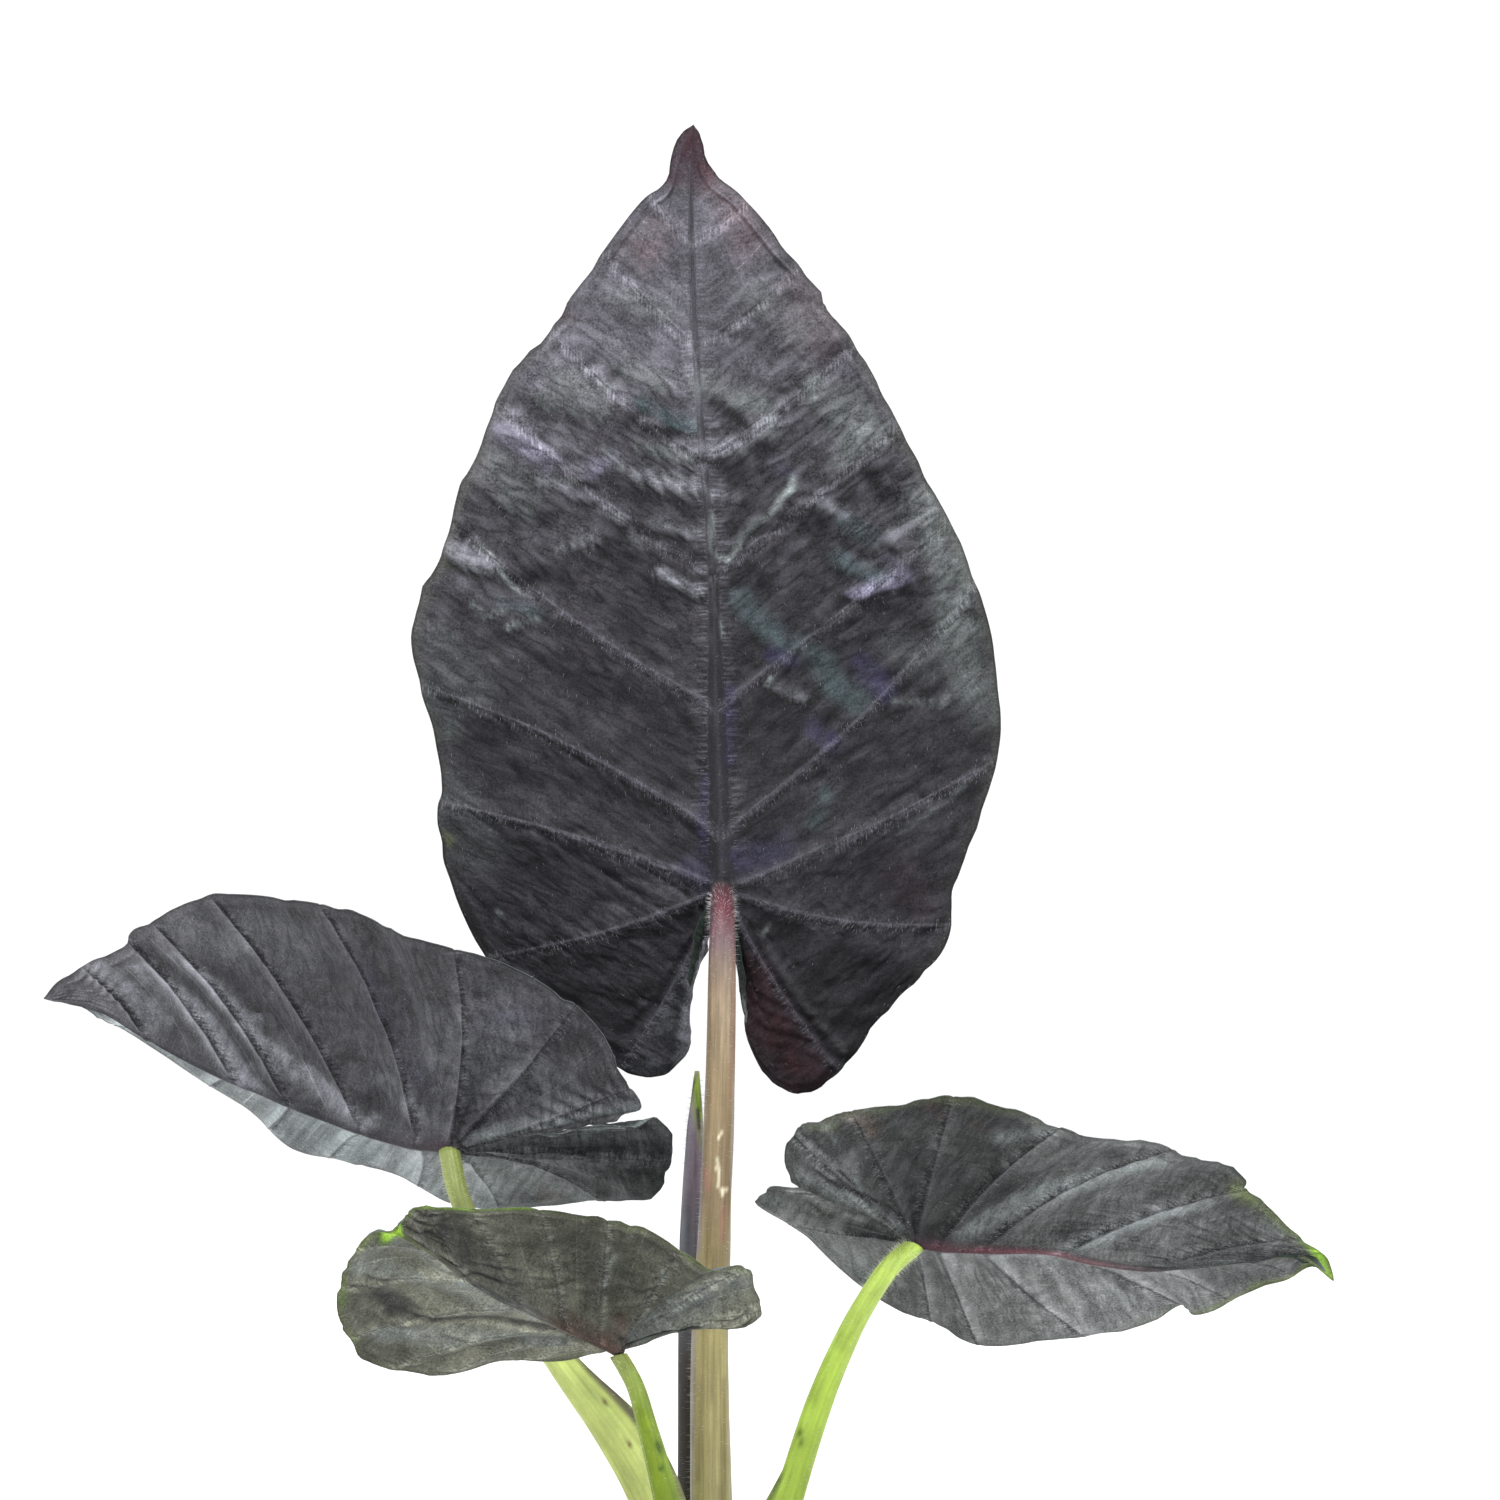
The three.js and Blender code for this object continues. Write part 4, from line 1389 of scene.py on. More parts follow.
    def _net(self, edge: Array, travel: Array, panel: Array, seen: Array) -> tuple[Array, Array]:
        """Cross veins that arch from vein to vein, and the line that collects them by the edge.

        Args:
            edge: distances from the edge.
            travel: distances from the midrib.
            panel: shares of the way between two veins.
            seen: rows of across and height over the mix.

        Returns:
            The profiles of the cross veins and of the collecting line, from 0 to 1.
        """
        wander = 0.5 * self.grain(seen, 7.0) + 0.3 * self.grain(seen + 11.0, 3.1)
        phase = travel / self.TERTIARY_STEP + 0.9 * np.sin(np.pi * panel) + wander
        off = np.abs(phase - np.round(phase)) * self.TERTIARY_STEP
        broken = smooth(0.5 + 1.5 * self.grain(seen + 57.0, 6.0))
        cross = bump(off, 0.3) * broken * smooth(edge / 4) * smooth((travel - 4) / 5)
        collector = bump(edge - self.COLLECTOR - 0.5 * self.grain(seen, 9.0), 0.32)
        return cross, collector

    def _shape(self) -> None:
        """Works out the sheet, its finer relief and its two faces."""
        leaf, coat = self.leaf, self.leaf.coat
        base = self.gather("points")
        self.triangles, self.rim = self._faces()
        self.seen = SIGHT.look(base)
        share, reach, panel = self.gather("share"), self.gather("reach"), self.gather("panel")
        self.edge = (1 - share) * reach
        self.travel = share * reach
        self.cross, self.collector = self._net(self.edge, self.travel, panel, self.seen)
        inner = smooth(self.edge / 2.5) * smooth(self.travel / 5)
        relief = self._flat({side: self._relief(side) for side in Side}) * smooth(reach / 5)
        self.masks = [stroke.mask(self.seen, self.PITCH) for stroke in coat.strokes]
        fine = sum(stroke.lift * mask for stroke, mask in zip(coat.strokes, self.masks))
        fine = fine + sum(ruffle.shape(self.seen, self.grain) for ruffle in coat.ruffles)
        self.stage = coat.stage(self.seen)
        fine = fine + leaf.crumple * inner * along(coat.puckers, self.stage) * self._puckers()
        fine = fine + 0.16 * self.cross + 0.18 * self.collector + 0.035 * self.grain(self.seen, 0.9) * inner
        plain = vertex_normals(base, self.triangles)
        broad = vertex_normals(base + plain * relief[:, None], self.triangles)
        sheet = base + plain * (relief + fine)[:, None]
        self.normals = vertex_normals(sheet, self.triangles)
        # How far the finer relief tilts each normal up, used for painted light and shade on both faces.
        self.slope = self.normals[:, 2] - broad[:, 2]
        ridged = np.clip(self.gather("vein"), 0, 1)
        half_thick = leaf.thickness * (0.5 - 0.18 * bump(self.edge, 1.2) - 0.25 * ridged)[:, None]
        self.under = sheet + plain * half_thick
        self.back = sheet - plain * half_thick
        self.joint = self.under[self.halves[Side.LEFT].ids[0, 0]]
        around = bump(np.linalg.norm(self.under - self.joint, axis=1), self.JOINT_REACH)
        self.facing = unit((self.normals * around[:, None]).sum(0))

    def _slanted(self) -> Array:
        """Places over the blade: along lines that rise outwards from the midrib, and across them.

        Returns:
            Two numbers for each vertex, far apart on the two halves.
        """
        joint, tip = SIGHT.look(self.spine.points[[0, -1]])
        onward = unit(tip - joint)
        ahead = (self.seen - joint) @ onward
        aside = np.abs((self.seen - joint) @ np.array([onward[1], -onward[0]]))
        rise, run = math.sin(RISE), math.cos(RISE)
        place = np.column_stack([run * aside + rise * ahead, run * ahead - rise * aside])
        return place + 40 * self._halfway()[:, None]

    def _puckers(self) -> Array:
        """Small pillows with crisp creases, drawn out along the side veins.

        Returns:
            One height for each vertex, of about -1 to 1.
        """
        place = self._slanted()
        pillows = np.abs(self.grain(place, (8.0, 4.4))) ** 0.7
        pillows = pillows + 0.5 * np.abs(self.grain(place + 5, (4.4, 2.6))) ** 0.7
        return 1.6 * pillows - 1 + 0.5 * self.grain(self.seen, (11.0, 6.0))

    def _faces(self) -> tuple[Array, Array]:
        """Triangles that face the underside, and the rim's vertices in pairs.

        Returns:
            Rows of three vertex numbers, and rows of two.
        """
        triangles, rim = [], []
        for side, half in self.halves.items():
            ids = half.ids if side is Side.LEFT else half.ids[::-1]
            a, b, c, d = ids[:-1, :-1], ids[1:, :-1], ids[1:, 1:], ids[:-1, 1:]
            for trio in ((a, b, c), (a, c, d)):
                triangles.append(np.stack(trio, axis=-1).reshape(-1, 3))
            rim.append(np.column_stack([d[:, -1], c[:, -1]]))
        faces = np.vstack(triangles)
        whole = (faces[:, 0] != faces[:, 1]) & (faces[:, 1] != faces[:, 2]) & (faces[:, 2] != faces[:, 0])
        return faces[whole], np.vstack(rim)

    def _closed(self) -> Array:
        """Triangles of the underside, then of the upper face, then of the rim between them.

        Returns:
            Rows of three vertex numbers.
        """
        start, end = self.rim.T
        behind = self.triangles[:, [0, 2, 1]] + self.count
        low = np.column_stack([start, end, end + self.count])
        high = np.column_stack([start, end + self.count, start + self.count])
        return np.vstack([self.triangles, behind, low, high])

    def _halfway(self) -> Array:
        """-1 on the left half, 1 on the right half and 0 on what they share.

        Returns:
            One number for each vertex.
        """
        signs = {side: np.full(half.share.shape, float(side.sign)) for side, half in self.halves.items()}
        flat = self._flat(signs)
        flat[self.gather("share") < 1e-6] = 0
        return flat

    def _under_pigment(self) -> Array:
        """Colours of the underside, with painted sheen, highlights and shade laid into them.

        Returns:
            One colour for each vertex.
        """
        coat = self.leaf.coat
        spine, order, sign = self.gather("spine"), self.gather("order"), self._halfway()
        colours = np.tile(coat.base.colour, (self.count, 1))
        # Painted sheen: the washes lay a pale tint over one half of the underside.
        for side, (tint, cover) in coat.painted_sheen_washes.items():
            held = (sign == side.sign) * smooth(self.travel / 6)
            colours = paint(colours, cover * held * (0.85 + 0.3 * self.grain(self.seen, 12.0)), tint)
        tone = 1 + 0.14 * self.grain(self.seen, 15.0) + 0.2 * self.grain(self._slanted(), (7.0, 3.0))
        # Painted sheen and shade mixed with the blade's own tone: each half is made lighter or darker along
        # the run by its levels.
        level = sum(along(coat.levels[side], self.stage) * (1 + sign * side.sign) / 2 for side in Side)
        # Painted light and shade: the bite makes finer relief lighter where it faces up and darker where it
        # faces down.
        tone = tone * level * np.clip(1 + coat.slope_light * np.clip(self.slope, -0.5, 0.5), 0.3, 2.2)
        colours = colours * tone[:, None]
        uneven = 0.8 + 0.4 * self.grain(self.seen, 2.4)
        # The strokes' tints, which hold painted highlights, sheen and shade as well as the leaf's own marks.
        for stroke, mask in zip(coat.strokes, self.masks):
            if stroke.tint:
                colours = paint(colours, stroke.cover * mask * uneven, stroke.tint)
        cover = along(coat.vein_cover, self.stage)
        colours = paint(colours, cover * np.clip(self.gather("vein"), 0, 1), coat.vein)
        colours = colours * (1 + 0.2 * cover * self.cross)[:, None]
        on_rib = smooth(1.15 - self.gather("inside"))
        for index, (tint, cover) in enumerate(coat.rib):
            apart = np.abs(spine * (len(coat.rib) - 1) - index)
            colours = paint(colours, cover * on_rib * np.clip(1 - apart, 0, 1), tint)
        ragged = bump(self.edge, coat.rim_reach * (1 + 0.7 * self.grain(self.seen, 3.0)))
        for side, amounts in coat.rim_cover.items():
            amount = along(amounts, order / self.counts[side]) * (sign == side.sign)
            colours = paint(colours, amount * ragged, coat.rim)
        return colours * (1 - 0.45 * bump(self.edge, 0.45))[:, None]

    def _back_pigment(self) -> Array:
        """Colours of the upper face: very dark green velvet with paler sunken veins, painted light and shade
        on its finer relief, and painted shade by the sinus.

        Returns:
            One colour for each vertex.
        """
        colours = np.tile(self.leaf.coat.upper.colour, (self.count, 1))
        tone = 1 + 0.25 * self.grain(self.seen, 14.0) + 0.15 * self.grain(self.seen + 9, 4.0)
        # Painted light and shade: lighter where the finer relief faces up, darker where it faces down.
        colours = colours * (tone - 0.8 * np.clip(self.slope, -0.3, 0.3))[:, None]
        colours = paint(colours, 0.5 * np.clip(self.gather("vein"), 0, 1) ** 2, Tint.VEIN_GREEN)
        colours = paint(colours, 0.6 * smooth(1.0 - self.gather("inside")), Tint.VEIN_GREEN)
        colours = paint(colours, 0.12 * self.cross + 0.2 * self.collector, Tint.VEIN_GREEN)
        # Painted shade: grey near the sinus, where the upper face lies in shadow.
        sinus = 0.8 * bump(self.edge, 6.0) * smooth(1.5 - self.gather("order") / 5)
        colours = paint(colours, sinus, Tint.GRAPHITE)
        return paint(colours, 0.7 * bump(self.edge - 0.6, 1.5), Tint.MIST)

    def _fuzz(self) -> tuple[Array, Array]:
        """How dense the hairs are on the underside, and which way they lean.

        Returns:
            One density and one direction for each vertex.
        """
        gap, inside = np.abs(self.gather("past")), self.gather("inside")
        flank = bump(gap - 0.6, 0.7) + 1.3 * bump(inside - 1.0, 0.22) * smooth(self.reach_mask())
        dense = 0.03 + 0.8 * flank + 0.5 * bump(self.edge, 0.5)
        dense = dense * (0.45 + smooth(0.5 + self.grain(self.seen, 5.0)))
        onward, outward = self._heading(0), self._heading(1)
        down = onward * np.where(onward[:, 2] > 0, -1, 1)[:, None]
        by_rib = bump(inside, 2.2)[:, None]
        return dense, unit(outward * by_rib + down * (1 - by_rib))

    def _heading(self, axis: int) -> Array:
        """Unit directions from column to column, or from the midrib to the edge."""
        halves = self.halves.items()
        return self._flat({side: unit(np.gradient(half.points, axis=axis)) for side, half in halves})

    def reach_mask(self) -> Array:
        """Fades from 0 at the sinus columns to 1 along the midrib."""
        return smooth(self.gather("spine") * 12)

    def build(self, effects: Effects, grower: Grower, hair: bpy.types.Material, hairs: float) -> None:
        """Makes the blade and its hairs.

        Args:
            effects: the shared shader groups.
            grower: the shared scatter trees.
            hair: the hairs' material.
            hairs: hairs on a square millimetre where they are dense.
        """
        leaf, coat = self.leaf, self.leaf.coat
        share, (dense, lean) = self.gather("share"), self._fuzz()
        past_rib = (share - self.gather("rib")) * self.gather("reach")
        fringe = along(coat.fringe, self.gather("spine")) * self.reach_mask()
        free = smooth(self.travel / 6) * smooth(self.edge / 3)
        # The flank amount sets how strong the painted light and shade on the veins' flanks are.
        crumpled, flank = free * along(coat.puckers, self.stage), free * along(coat.flank, self.stage)
        fields = {
            "surface": np.column_stack([self.gather("across"), past_rib]),
            "lean": lean,
            "creases": np.column_stack([self._slanted(), crumpled]),
            "veins": np.column_stack([self.gather("past"), self.gather("near"), flank]),
            "ribs": np.column_stack([fringe, 0.3 + 0.5 * (1 - share), 0 * share]),
        }
        faces, inner = self._closed(), len(self.triangles)
        rim = np.arange(len(faces)) >= 2 * inner
        picks = np.repeat([0, 1, 0], [inner, inner, rim.sum()])
        under = VelvetFinish(f"{leaf.name}_underside_velvet", coat.clouds).material(effects)
        upper = VelvetFinish(f"{leaf.name}_upper_velvet", clouds=0.4, hairs=0.16).material(effects)
        made = make_object(
            leaf.name + "_velvet", np.vstack([self.under, self.back]), faces.tolist(), [under, upper],
            picks, rim, pigment=np.vstack([self._under_pigment(), self._back_pigment()]),
            fuzz=np.concatenate([dense, 0.12 * dense]),
            **{title: np.vstack([values, values]) for title, values in fields.items()},
        )
        growth = {**self.HAIRS, "Density": hairs / MM**2, "Seed": leaf.seed, "Material": hair}
        fuzz = grower.grow(grower.hairs, leaf.name + "_hairs", made, **growth)
        present(made, leaf.slot, leaf.name)
        present(fuzz, leaf.slot)


# Stems


@dataclass(frozen=True)
class Sheath:
    """A thin fin along one side of a stem, with a papery edge."""

    at: float
    width: float
    reach: list[float]
    edge: Tint = Tint.BARK


@dataclass
class Stem:
    """A tapered stem along a route, or a rolled leaf, in millimetres.

    The coat gives a pigment at each even step up the stem. The shaded tint streaks the skin and is
    also painted on its back as shade. A roll is how far a rolled leaf's free edge stands off, as a share
    of its radius.
    """

    name: str
    slot: str
    route: list[list[float]]
    wide: list[float]
    deep: list[float]
    coat: list[Tint]
    shaded: Tint = Tint.DEEP_GREEN
    sheath: Optional[Sheath] = None
    roll: float = 0.0
    lip: Tint = Tint.DUSK
    twist: float = 0.0
    phase: float = 0.0
    strokes: list[Stroke] = field(default_factory=list)
    flutes: int = 13
    flute: float = 0.05
    hairs: float = 0.35
    sides: int = 72
    pitch: float = 1.1
    seed: int = 1
    SINK = 0.25
    HAIRS = {
        "Density": 1.8 / MM**2, "Length": 1.2 * MM, "Thickness": 0.025 * MM, "Stand": 0.9, "Unrest": 0.16,
    }

    def build(
        self, effects: Effects, grower: Grower, hair: bpy.types.Material, finish: StemFinish,
        blade: Optional[Blade] = None,
    ) -> None:
        """Makes the stem, cut flat against its blade where it has one, and its hairs.

        Args:
            effects: the shared shader groups.
            grower: the shared scatter trees.
            hair: the hairs' material.
            finish: the finish of its skin.
            blade: the blade that it carries.
        """
        grain = Grain(self.seed)
        points = SIGHT.place(self.route)
        if blade is not None:
            points = np.vstack([points, blade.joint - blade.facing * self.SINK])
        curve = Curve(points)
        steps = max(24, round(curve.length / self.pitch))
        share = np.linspace(0, 1, steps + 1)
        centre, heading = curve.at(share), curve.heading(share)
        side = unit(np.array([1.0, 0, 0]) - heading * heading[:, :1])
        back = np.cross(heading, side)
        turn = np.arange(self.sides) / self.sides
        angle = 2 * np.pi * turn + self.phase + self.twist * share[:, None]
        place = np.column_stack([np.repeat(share * curve.length, self.sides), np.tile(turn * 40, steps + 1)])
        rough = grain(place, (9.0, 5.0)).reshape(angle.shape)
        fins, papery = self._fins(angle, share, rough)
        reach = 1 + fins + self.roll * self._rolled(turn) * smooth((1 - share[:, None]) * 6)
        flutes = self.flute * np.sin(self.flutes * 2 * np.pi * turn + 1.5 * rough)
        wide = along(self.wide, share)[:, None] * reach + flutes + 0.06 * rough
        deep = along(self.deep, share)[:, None] * reach + flutes + 0.06 * rough
        rings = centre[:, None] + side[:, None] * (wide * np.cos(angle))[..., None]
        rings = rings + back[:, None] * (deep * np.sin(angle))[..., None]
        if blade is not None:
            short = (points[-1] - rings) @ blade.facing / (heading[-1] @ blade.facing)
            short[:-1] = np.minimum(short[:-1], 0)
            rings = rings + heading[-1] * short[..., None]
        flat = rings.reshape(-1, 3)
        outward = unit(rings - centre[:, None]).reshape(-1, 3)
        colours = self._pigment(flat, outward, share, turn, papery, grain)
        surface = np.column_stack([np.tile(turn * 2 * np.pi * np.mean(self.wide), steps + 1), place[:, 0]])
        hairy = self.hairs * (0.3 + 0.4 * share + 2.4 * smooth(5 * share - 3.6))
        hairy = np.repeat(hairy * (1 - smooth(60 * share - 58.6)), self.sides)
        fields = {"pigment": colours, "surface": surface, "fuzz": hairy, "lean": outward * 0.6}
        made = make_object(
            self.name + "_skin", *self._closed(flat, steps), [finish.material(effects)],
            **{title: self._capped(values) for title, values in fields.items()},
        )
        growth = {**self.HAIRS, "Seed": self.seed, "Material": hair}
        fuzz = grower.grow(grower.hairs, self.name + "_hairs", made, **growth)
        present(made, self.slot, self.name)
        present(fuzz, self.slot)

    def _fins(self, angle: Array, share: Array, rough: Array) -> tuple[Array, Array]:
        """The sheath's reach past the stem as a share of its radius, and its papery edge's mask.

        Args:
            angle: angles round the rings.
            share: shares of the way up the stem.
            rough: noise on the rings.

        Returns:
            One number of each kind for each point of the rings.
        """
        if self.sheath is None:
            return np.zeros_like(angle), np.zeros_like(angle)
        turn = np.arctan2(np.sin(angle - self.sheath.at), np.cos(angle - self.sheath.at))
        reach = along(self.sheath.reach, share)[:, None]
        fin = bump(turn, self.sheath.width)
        return reach * fin * (1 + 0.12 * rough), smooth((fin - 0.35) * 2.2) * smooth(reach * 2.5)

    def _rolled(self, turn: Array) -> Array:
        """A rolled section's radius: it grows round the turn and drops at the free edge."""
        return turn - 0.5 - 0.35 * bump(turn - 0.03, 0.025)

    def _pigment(
        self, flat: Array, outward: Array, share: Array, turn: Array, papery: Array, grain: Grain
    ) -> Array:
        """Colours of the stem's skin, with painted shade on its back.

        Args:
            flat: the points of the rings.
            outward: their directions from the middle.
            share: shares of the way up the stem.
            turn: shares of a turn round a ring.
            papery: the papery edge's mask.
            grain: the stem's noise.

        Returns:
            One colour for each point.
        """
        rise = np.repeat(share, self.sides)
        coat = np.array([tint.colour for tint in self.coat])
        even = np.linspace(0, 1, len(coat))
        colours = np.column_stack([np.interp(rise, even, coat[:, axis]) for axis in range(3)])
        place = np.column_stack([rise * 150, np.tile(turn * 30, len(share))])
        colours = paint(colours, 0.06 + 0.16 * grain(place, (26.0, 2.2)), self.shaded)
        # Painted shade: the back of the stem, facing away from the front, is darker.
        colours = paint(colours, 0.2 * smooth(outward[:, 1] * 0.9), self.shaded)
        colours = colours * (1 + 0.12 * grain(place, (7.0, 3.0)) + 0.08 * grain(place, (2.2, 1.2)))[:, None]
        if self.sheath is not None:
            cover = papery.ravel() * (0.85 + 0.35 * grain(place, (5.0, 1.5)))
            colours = paint(colours, cover, self.sheath.edge)
        if self.roll:
            lip = np.tile(bump(turn - 0.985, 0.03) + 0.8 * bump(turn, 0.02), len(share))
            colours = paint(colours, lip * (0.55 + 0.4 * smooth((rise - 0.86) * 10)), self.lip)
        seen = SIGHT.look(flat)
        front = smooth(0.5 - 2 * outward[:, 1])
        for stroke in self.strokes:
            if stroke.tint:
                colours = paint(colours, stroke.cover * stroke.mask(seen) * front, stroke.tint)
        return colours

    def _closed(self, flat: Array, steps: int) -> tuple[Array, list]:
        """Closes the rings' ends.

        Args:
            flat: the points of the rings.
            steps: how many steps the rings stand on.

        Returns:
            The points with the two end centres added, and the faces.
        """
        sides = self.sides
        first, last = flat[:sides].mean(0), flat[-sides:].mean(0)
        points = np.vstack([flat, first, last])
        faces = []
        for ring in range(steps):
            low = ring * sides
            for corner in range(sides):
                after = (corner + 1) % sides
                faces.append((low + corner, low + after, low + sides + after, low + sides + corner))
        top = steps * sides
        for corner in range(sides):
            after = (corner + 1) % sides
            faces.append((after, corner, len(flat)))
            faces.append((top + corner, top + after, len(flat) + 1))
        return points, faces

    def _capped(self, values: Array) -> Array:
        """Values on the rings, with one more for each end centre."""
        ends = np.stack([values[0], values[-1]])
        return np.concatenate([values, ends])


# Pot, potting mix and stem base


def lathe(profile: list[tuple[float, float]], sides: int) -> tuple[Array, list]:
    """Turns a profile about +Z.

    Args:
        profile: radius and height pairs that start and end on the axis, seen from outside in.
        sides: corners of each ring.

    Returns:
        Points and faces.
    """
    rings = profile[1:-1]
    angle = np.arange(sides) * 2 * np.pi / sides
    circle = np.column_stack([np.cos(angle), np.sin(angle)])
    points = [np.array([[0, 0, profile[0][1]]])]
    points += [np.column_stack([radius * circle, np.full(sides, height)]) for radius, height in rings]
    points.append(np.array([[0, 0, profile[-1][1]]]))
    faces: list[tuple[int, ...]] = []
    last = 1 + len(rings) * sides
    for corner in range(sides):
        after = (corner + 1) % sides
        faces.append((0, 1 + after, 1 + corner))
        top = 1 + (len(rings) - 1) * sides
        faces.append((top + corner, top + after, last))
        for ring in range(len(rings) - 1):
            low = 1 + ring * sides
            faces.append((low + corner, low + after, low + sides + after, low + sides + corner))
    return np.vstack(points), faces


def rounded(profile: list[tuple[float, float]], step: float) -> list[tuple[float, float]]:
    """A profile with extra points along its straight runs, so that it can be shaded smoothly.

    Args:
        profile: radius and height pairs.
        step: the longest run that is left, about.

    Returns:
        The longer profile.
    """
    result = [profile[0]]
    for (r0, h0), (r1, h1) in zip(profile, profile[1:]):
        count = max(1, round(math.hypot(r1 - r0, h1 - h0) / step))
        result += [(r0 + (r1 - r0) * k / count, h0 + (h1 - h0) * k / count) for k in range(1, count + 1)]
    return result


@dataclass
class Pot:
    """A round tapered nursery pot with a rolled rim and drainage holes."""

    height: float = 108.0
    top_radius: float = 57.0
    base_radius: float = 42.0
    wall: float = 1.8
    floor: float = 2.4
    rim_height: float = 9.0
    rim_overhang: float = 2.6
    holes: int = 6
    hole_radius: float = 4.0
    hole_circle: float = 28.0
    sides: int = 160
    SHARP = 32

    def radius(self, height: float) -> float:
        """Outside radius of the wall."""
        return self.base_radius + (self.top_radius - self.base_radius) * height / self.height

    def _profile(self) -> list[tuple[float, float]]:
        """The pot's section from the middle of its base, up the outside and down the inside.

        Returns:
            Radius and height pairs.
        """
        top, shoulder = self.height, self.height - self.rim_height
        rim, mouth = self.top_radius + self.rim_overhang, self.top_radius - self.wall
        foot = [(self.base_radius - 5, 0.9), (self.base_radius - 4, 0.0), (self.base_radius - 1.6, 0.0)]
        heel = [(self.radius(0) - 0.5, 0.5), (self.radius(2), 2.0)]
        bands = []
        for height in (9.0, 12.0):
            wall = self.radius(height)
            bands += [(wall, height), (wall - 0.3, height + 0.4), (wall - 0.3, height + 1.2)]
            bands.append((wall, height + 1.6))
        outside = [(self.radius(shoulder - 2), shoulder - 2), (self.radius(shoulder) + 0.3, shoulder - 0.5)]
        roll = [
            (rim - 0.9, shoulder), (rim - 0.2, shoulder + 0.5), (rim, shoulder + 1.5), (rim, top - 1.3),
            (rim - 0.35, top - 0.4), (rim - 1.2, top), (self.top_radius - 0.2, top),
            (mouth + 0.4, top - 0.5), (mouth, top - 1.5),
        ]
        inside = [(self.radius(self.floor) - self.wall, self.floor), (0.0, self.floor)]
        return [(0.0, 0.9), (6.0, 0.9), *foot, *heel, *bands, *outside, *roll, *inside]

    def build(self, effects: Effects) -> None:
        """Makes the pot and cuts its drainage holes.

        Args:
            effects: the shared shader groups.
        """
        points, faces = lathe(rounded(self._profile(), 6.0), self.sides)
        pot = make_object("pot_shell", points, faces, [MouldedFinish("moulded_plastic").material(effects)])
        drill = self._drill()
        cutter = pot.modifiers.new("holes", "BOOLEAN")
        cutter.object = drill
        cutter.solver = "EXACT"
        pot.data = finished(pot, cutter)
        bpy.data.objects.remove(drill)
        pot.data.polygons.foreach_set("use_smooth", np.ones(len(pot.data.polygons), bool))
        pot.data.set_sharp_from_angle(angle=math.radians(self.SHARP))
        present(pot, "pot", "pot")

    def _drill(self) -> bpy.types.Object:
        """The drainage holes as one solid.

        Returns:
            The object, in no material.
        """
        bore = [(0, -4), (self.hole_radius, -4), (self.hole_radius, 7), (0, 7)]
        points, own = lathe(bore, 32)
        shapes, faces = [], []
        for index in range(self.holes):
            angle = index * 2 * np.pi / self.holes
            faces += [tuple(corner + index * len(points) for corner in face) for face in own]
            shapes.append(points + self.hole_circle * np.array([np.cos(angle), np.sin(angle), 0]))
        return make_object("drill", np.vstack(shapes), faces, [])


@dataclass
class PottingMix:
    """A lumpy surface of bark, peat and perlite that fills the pot."""

    pot: Pot
    level: float = SIGHT.mix_level
    gap: float = 0.35
    lump: float = 1.0
    crown_radius: float = 16.0
    seed: int = 21
    rings: int = 44
    sides: int = 150
    PEAT = EarthFinish("peat", screen(48, 35, 26), screen(82, 62, 44), 240.0, 1900.0, 0.7)
    LITTER = (
        (
            "bark_chips",
            EarthFinish("bark_chips", screen(74, 48, 30), screen(128, 88, 56), 420.0, 2600.0, 0.3),
            {"Density": 2.6e4, "Size": 3.3 * MM, "Narrow": 0.55, "Flat": 0.3, "Tilt": 0.45},
        ),
        (
            "perlite_grains",
            EarthFinish("perlite", screen(205, 202, 192), screen(236, 234, 228), 500.0, 2400.0, 0.2),
            {"Density": 1.9e4, "Size": 1.3 * MM, "Narrow": 0.85, "Flat": 0.75, "Tilt": 1.5},
        ),
        (
            "peat_crumbs",
            EarthFinish("peat_crumbs", screen(40, 29, 22), screen(90, 66, 44), 500.0, 2600.0, 0.3),
            {"Density": 7.5e4, "Size": 1.2 * MM, "Narrow": 0.8, "Flat": 0.7, "Tilt": 1.5},
        ),
    )

    def build(self, effects: Effects, grower: Grower) -> None:
        """Makes the mix and scatters its bark, perlite and crumbs.

        Args:
            effects: the shared shader groups.
            grower: the shared scatter trees.
        """
        grain = Grain(self.seed)
        wall = self.pot.radius(self.level) - self.pot.wall - self.gap
        bottom = self.pot.floor + self.gap
        low_wall = self.pot.radius(bottom) - self.pot.wall - self.gap
        radii = np.linspace(wall, 3.0, self.rings)
        profile = [(0, bottom), (low_wall, bottom), (wall - 0.2, self.level - 2.2)]
        profile += [(float(radius), self.level) for radius in radii] + [(0, self.level)]
        points, faces = lathe(profile, self.sides)
        radius = np.hypot(points[:, 0], points[:, 1])
        top = points[:, 2] > self.level - 1
        inner = smooth((wall - radius) / 4)
        flat = points[:, :2]
        coarse = grain(flat, 15.0) + 0.5 * grain(flat + 7, 6.0) + 0.35 * grain(flat, 2.2)
        mound = 1.4 * bump(radius - self.crown_radius, 6.0)
        points[:, 2] += np.where(top, self.lump * coarse * inner * 0.8 + mound * 0.7 - 0.4, 0)
        fuzz = np.where(top & (radius > self.crown_radius * 0.8) & (radius < wall - 2.5), 1.0, 0.0)
        made = make_object("potting_mix_bed", points, faces, [self.PEAT.material(effects)], fuzz=fuzz)
        for offset, (name, finish, sizes) in enumerate(self.LITTER):
            growth = {**sizes, "Seed": self.seed + offset, "Material": finish.material(effects)}
            present(grower.grow(grower.litter, name, made, **growth), "potting_mix")
        present(made, "potting_mix", "potting_mix")


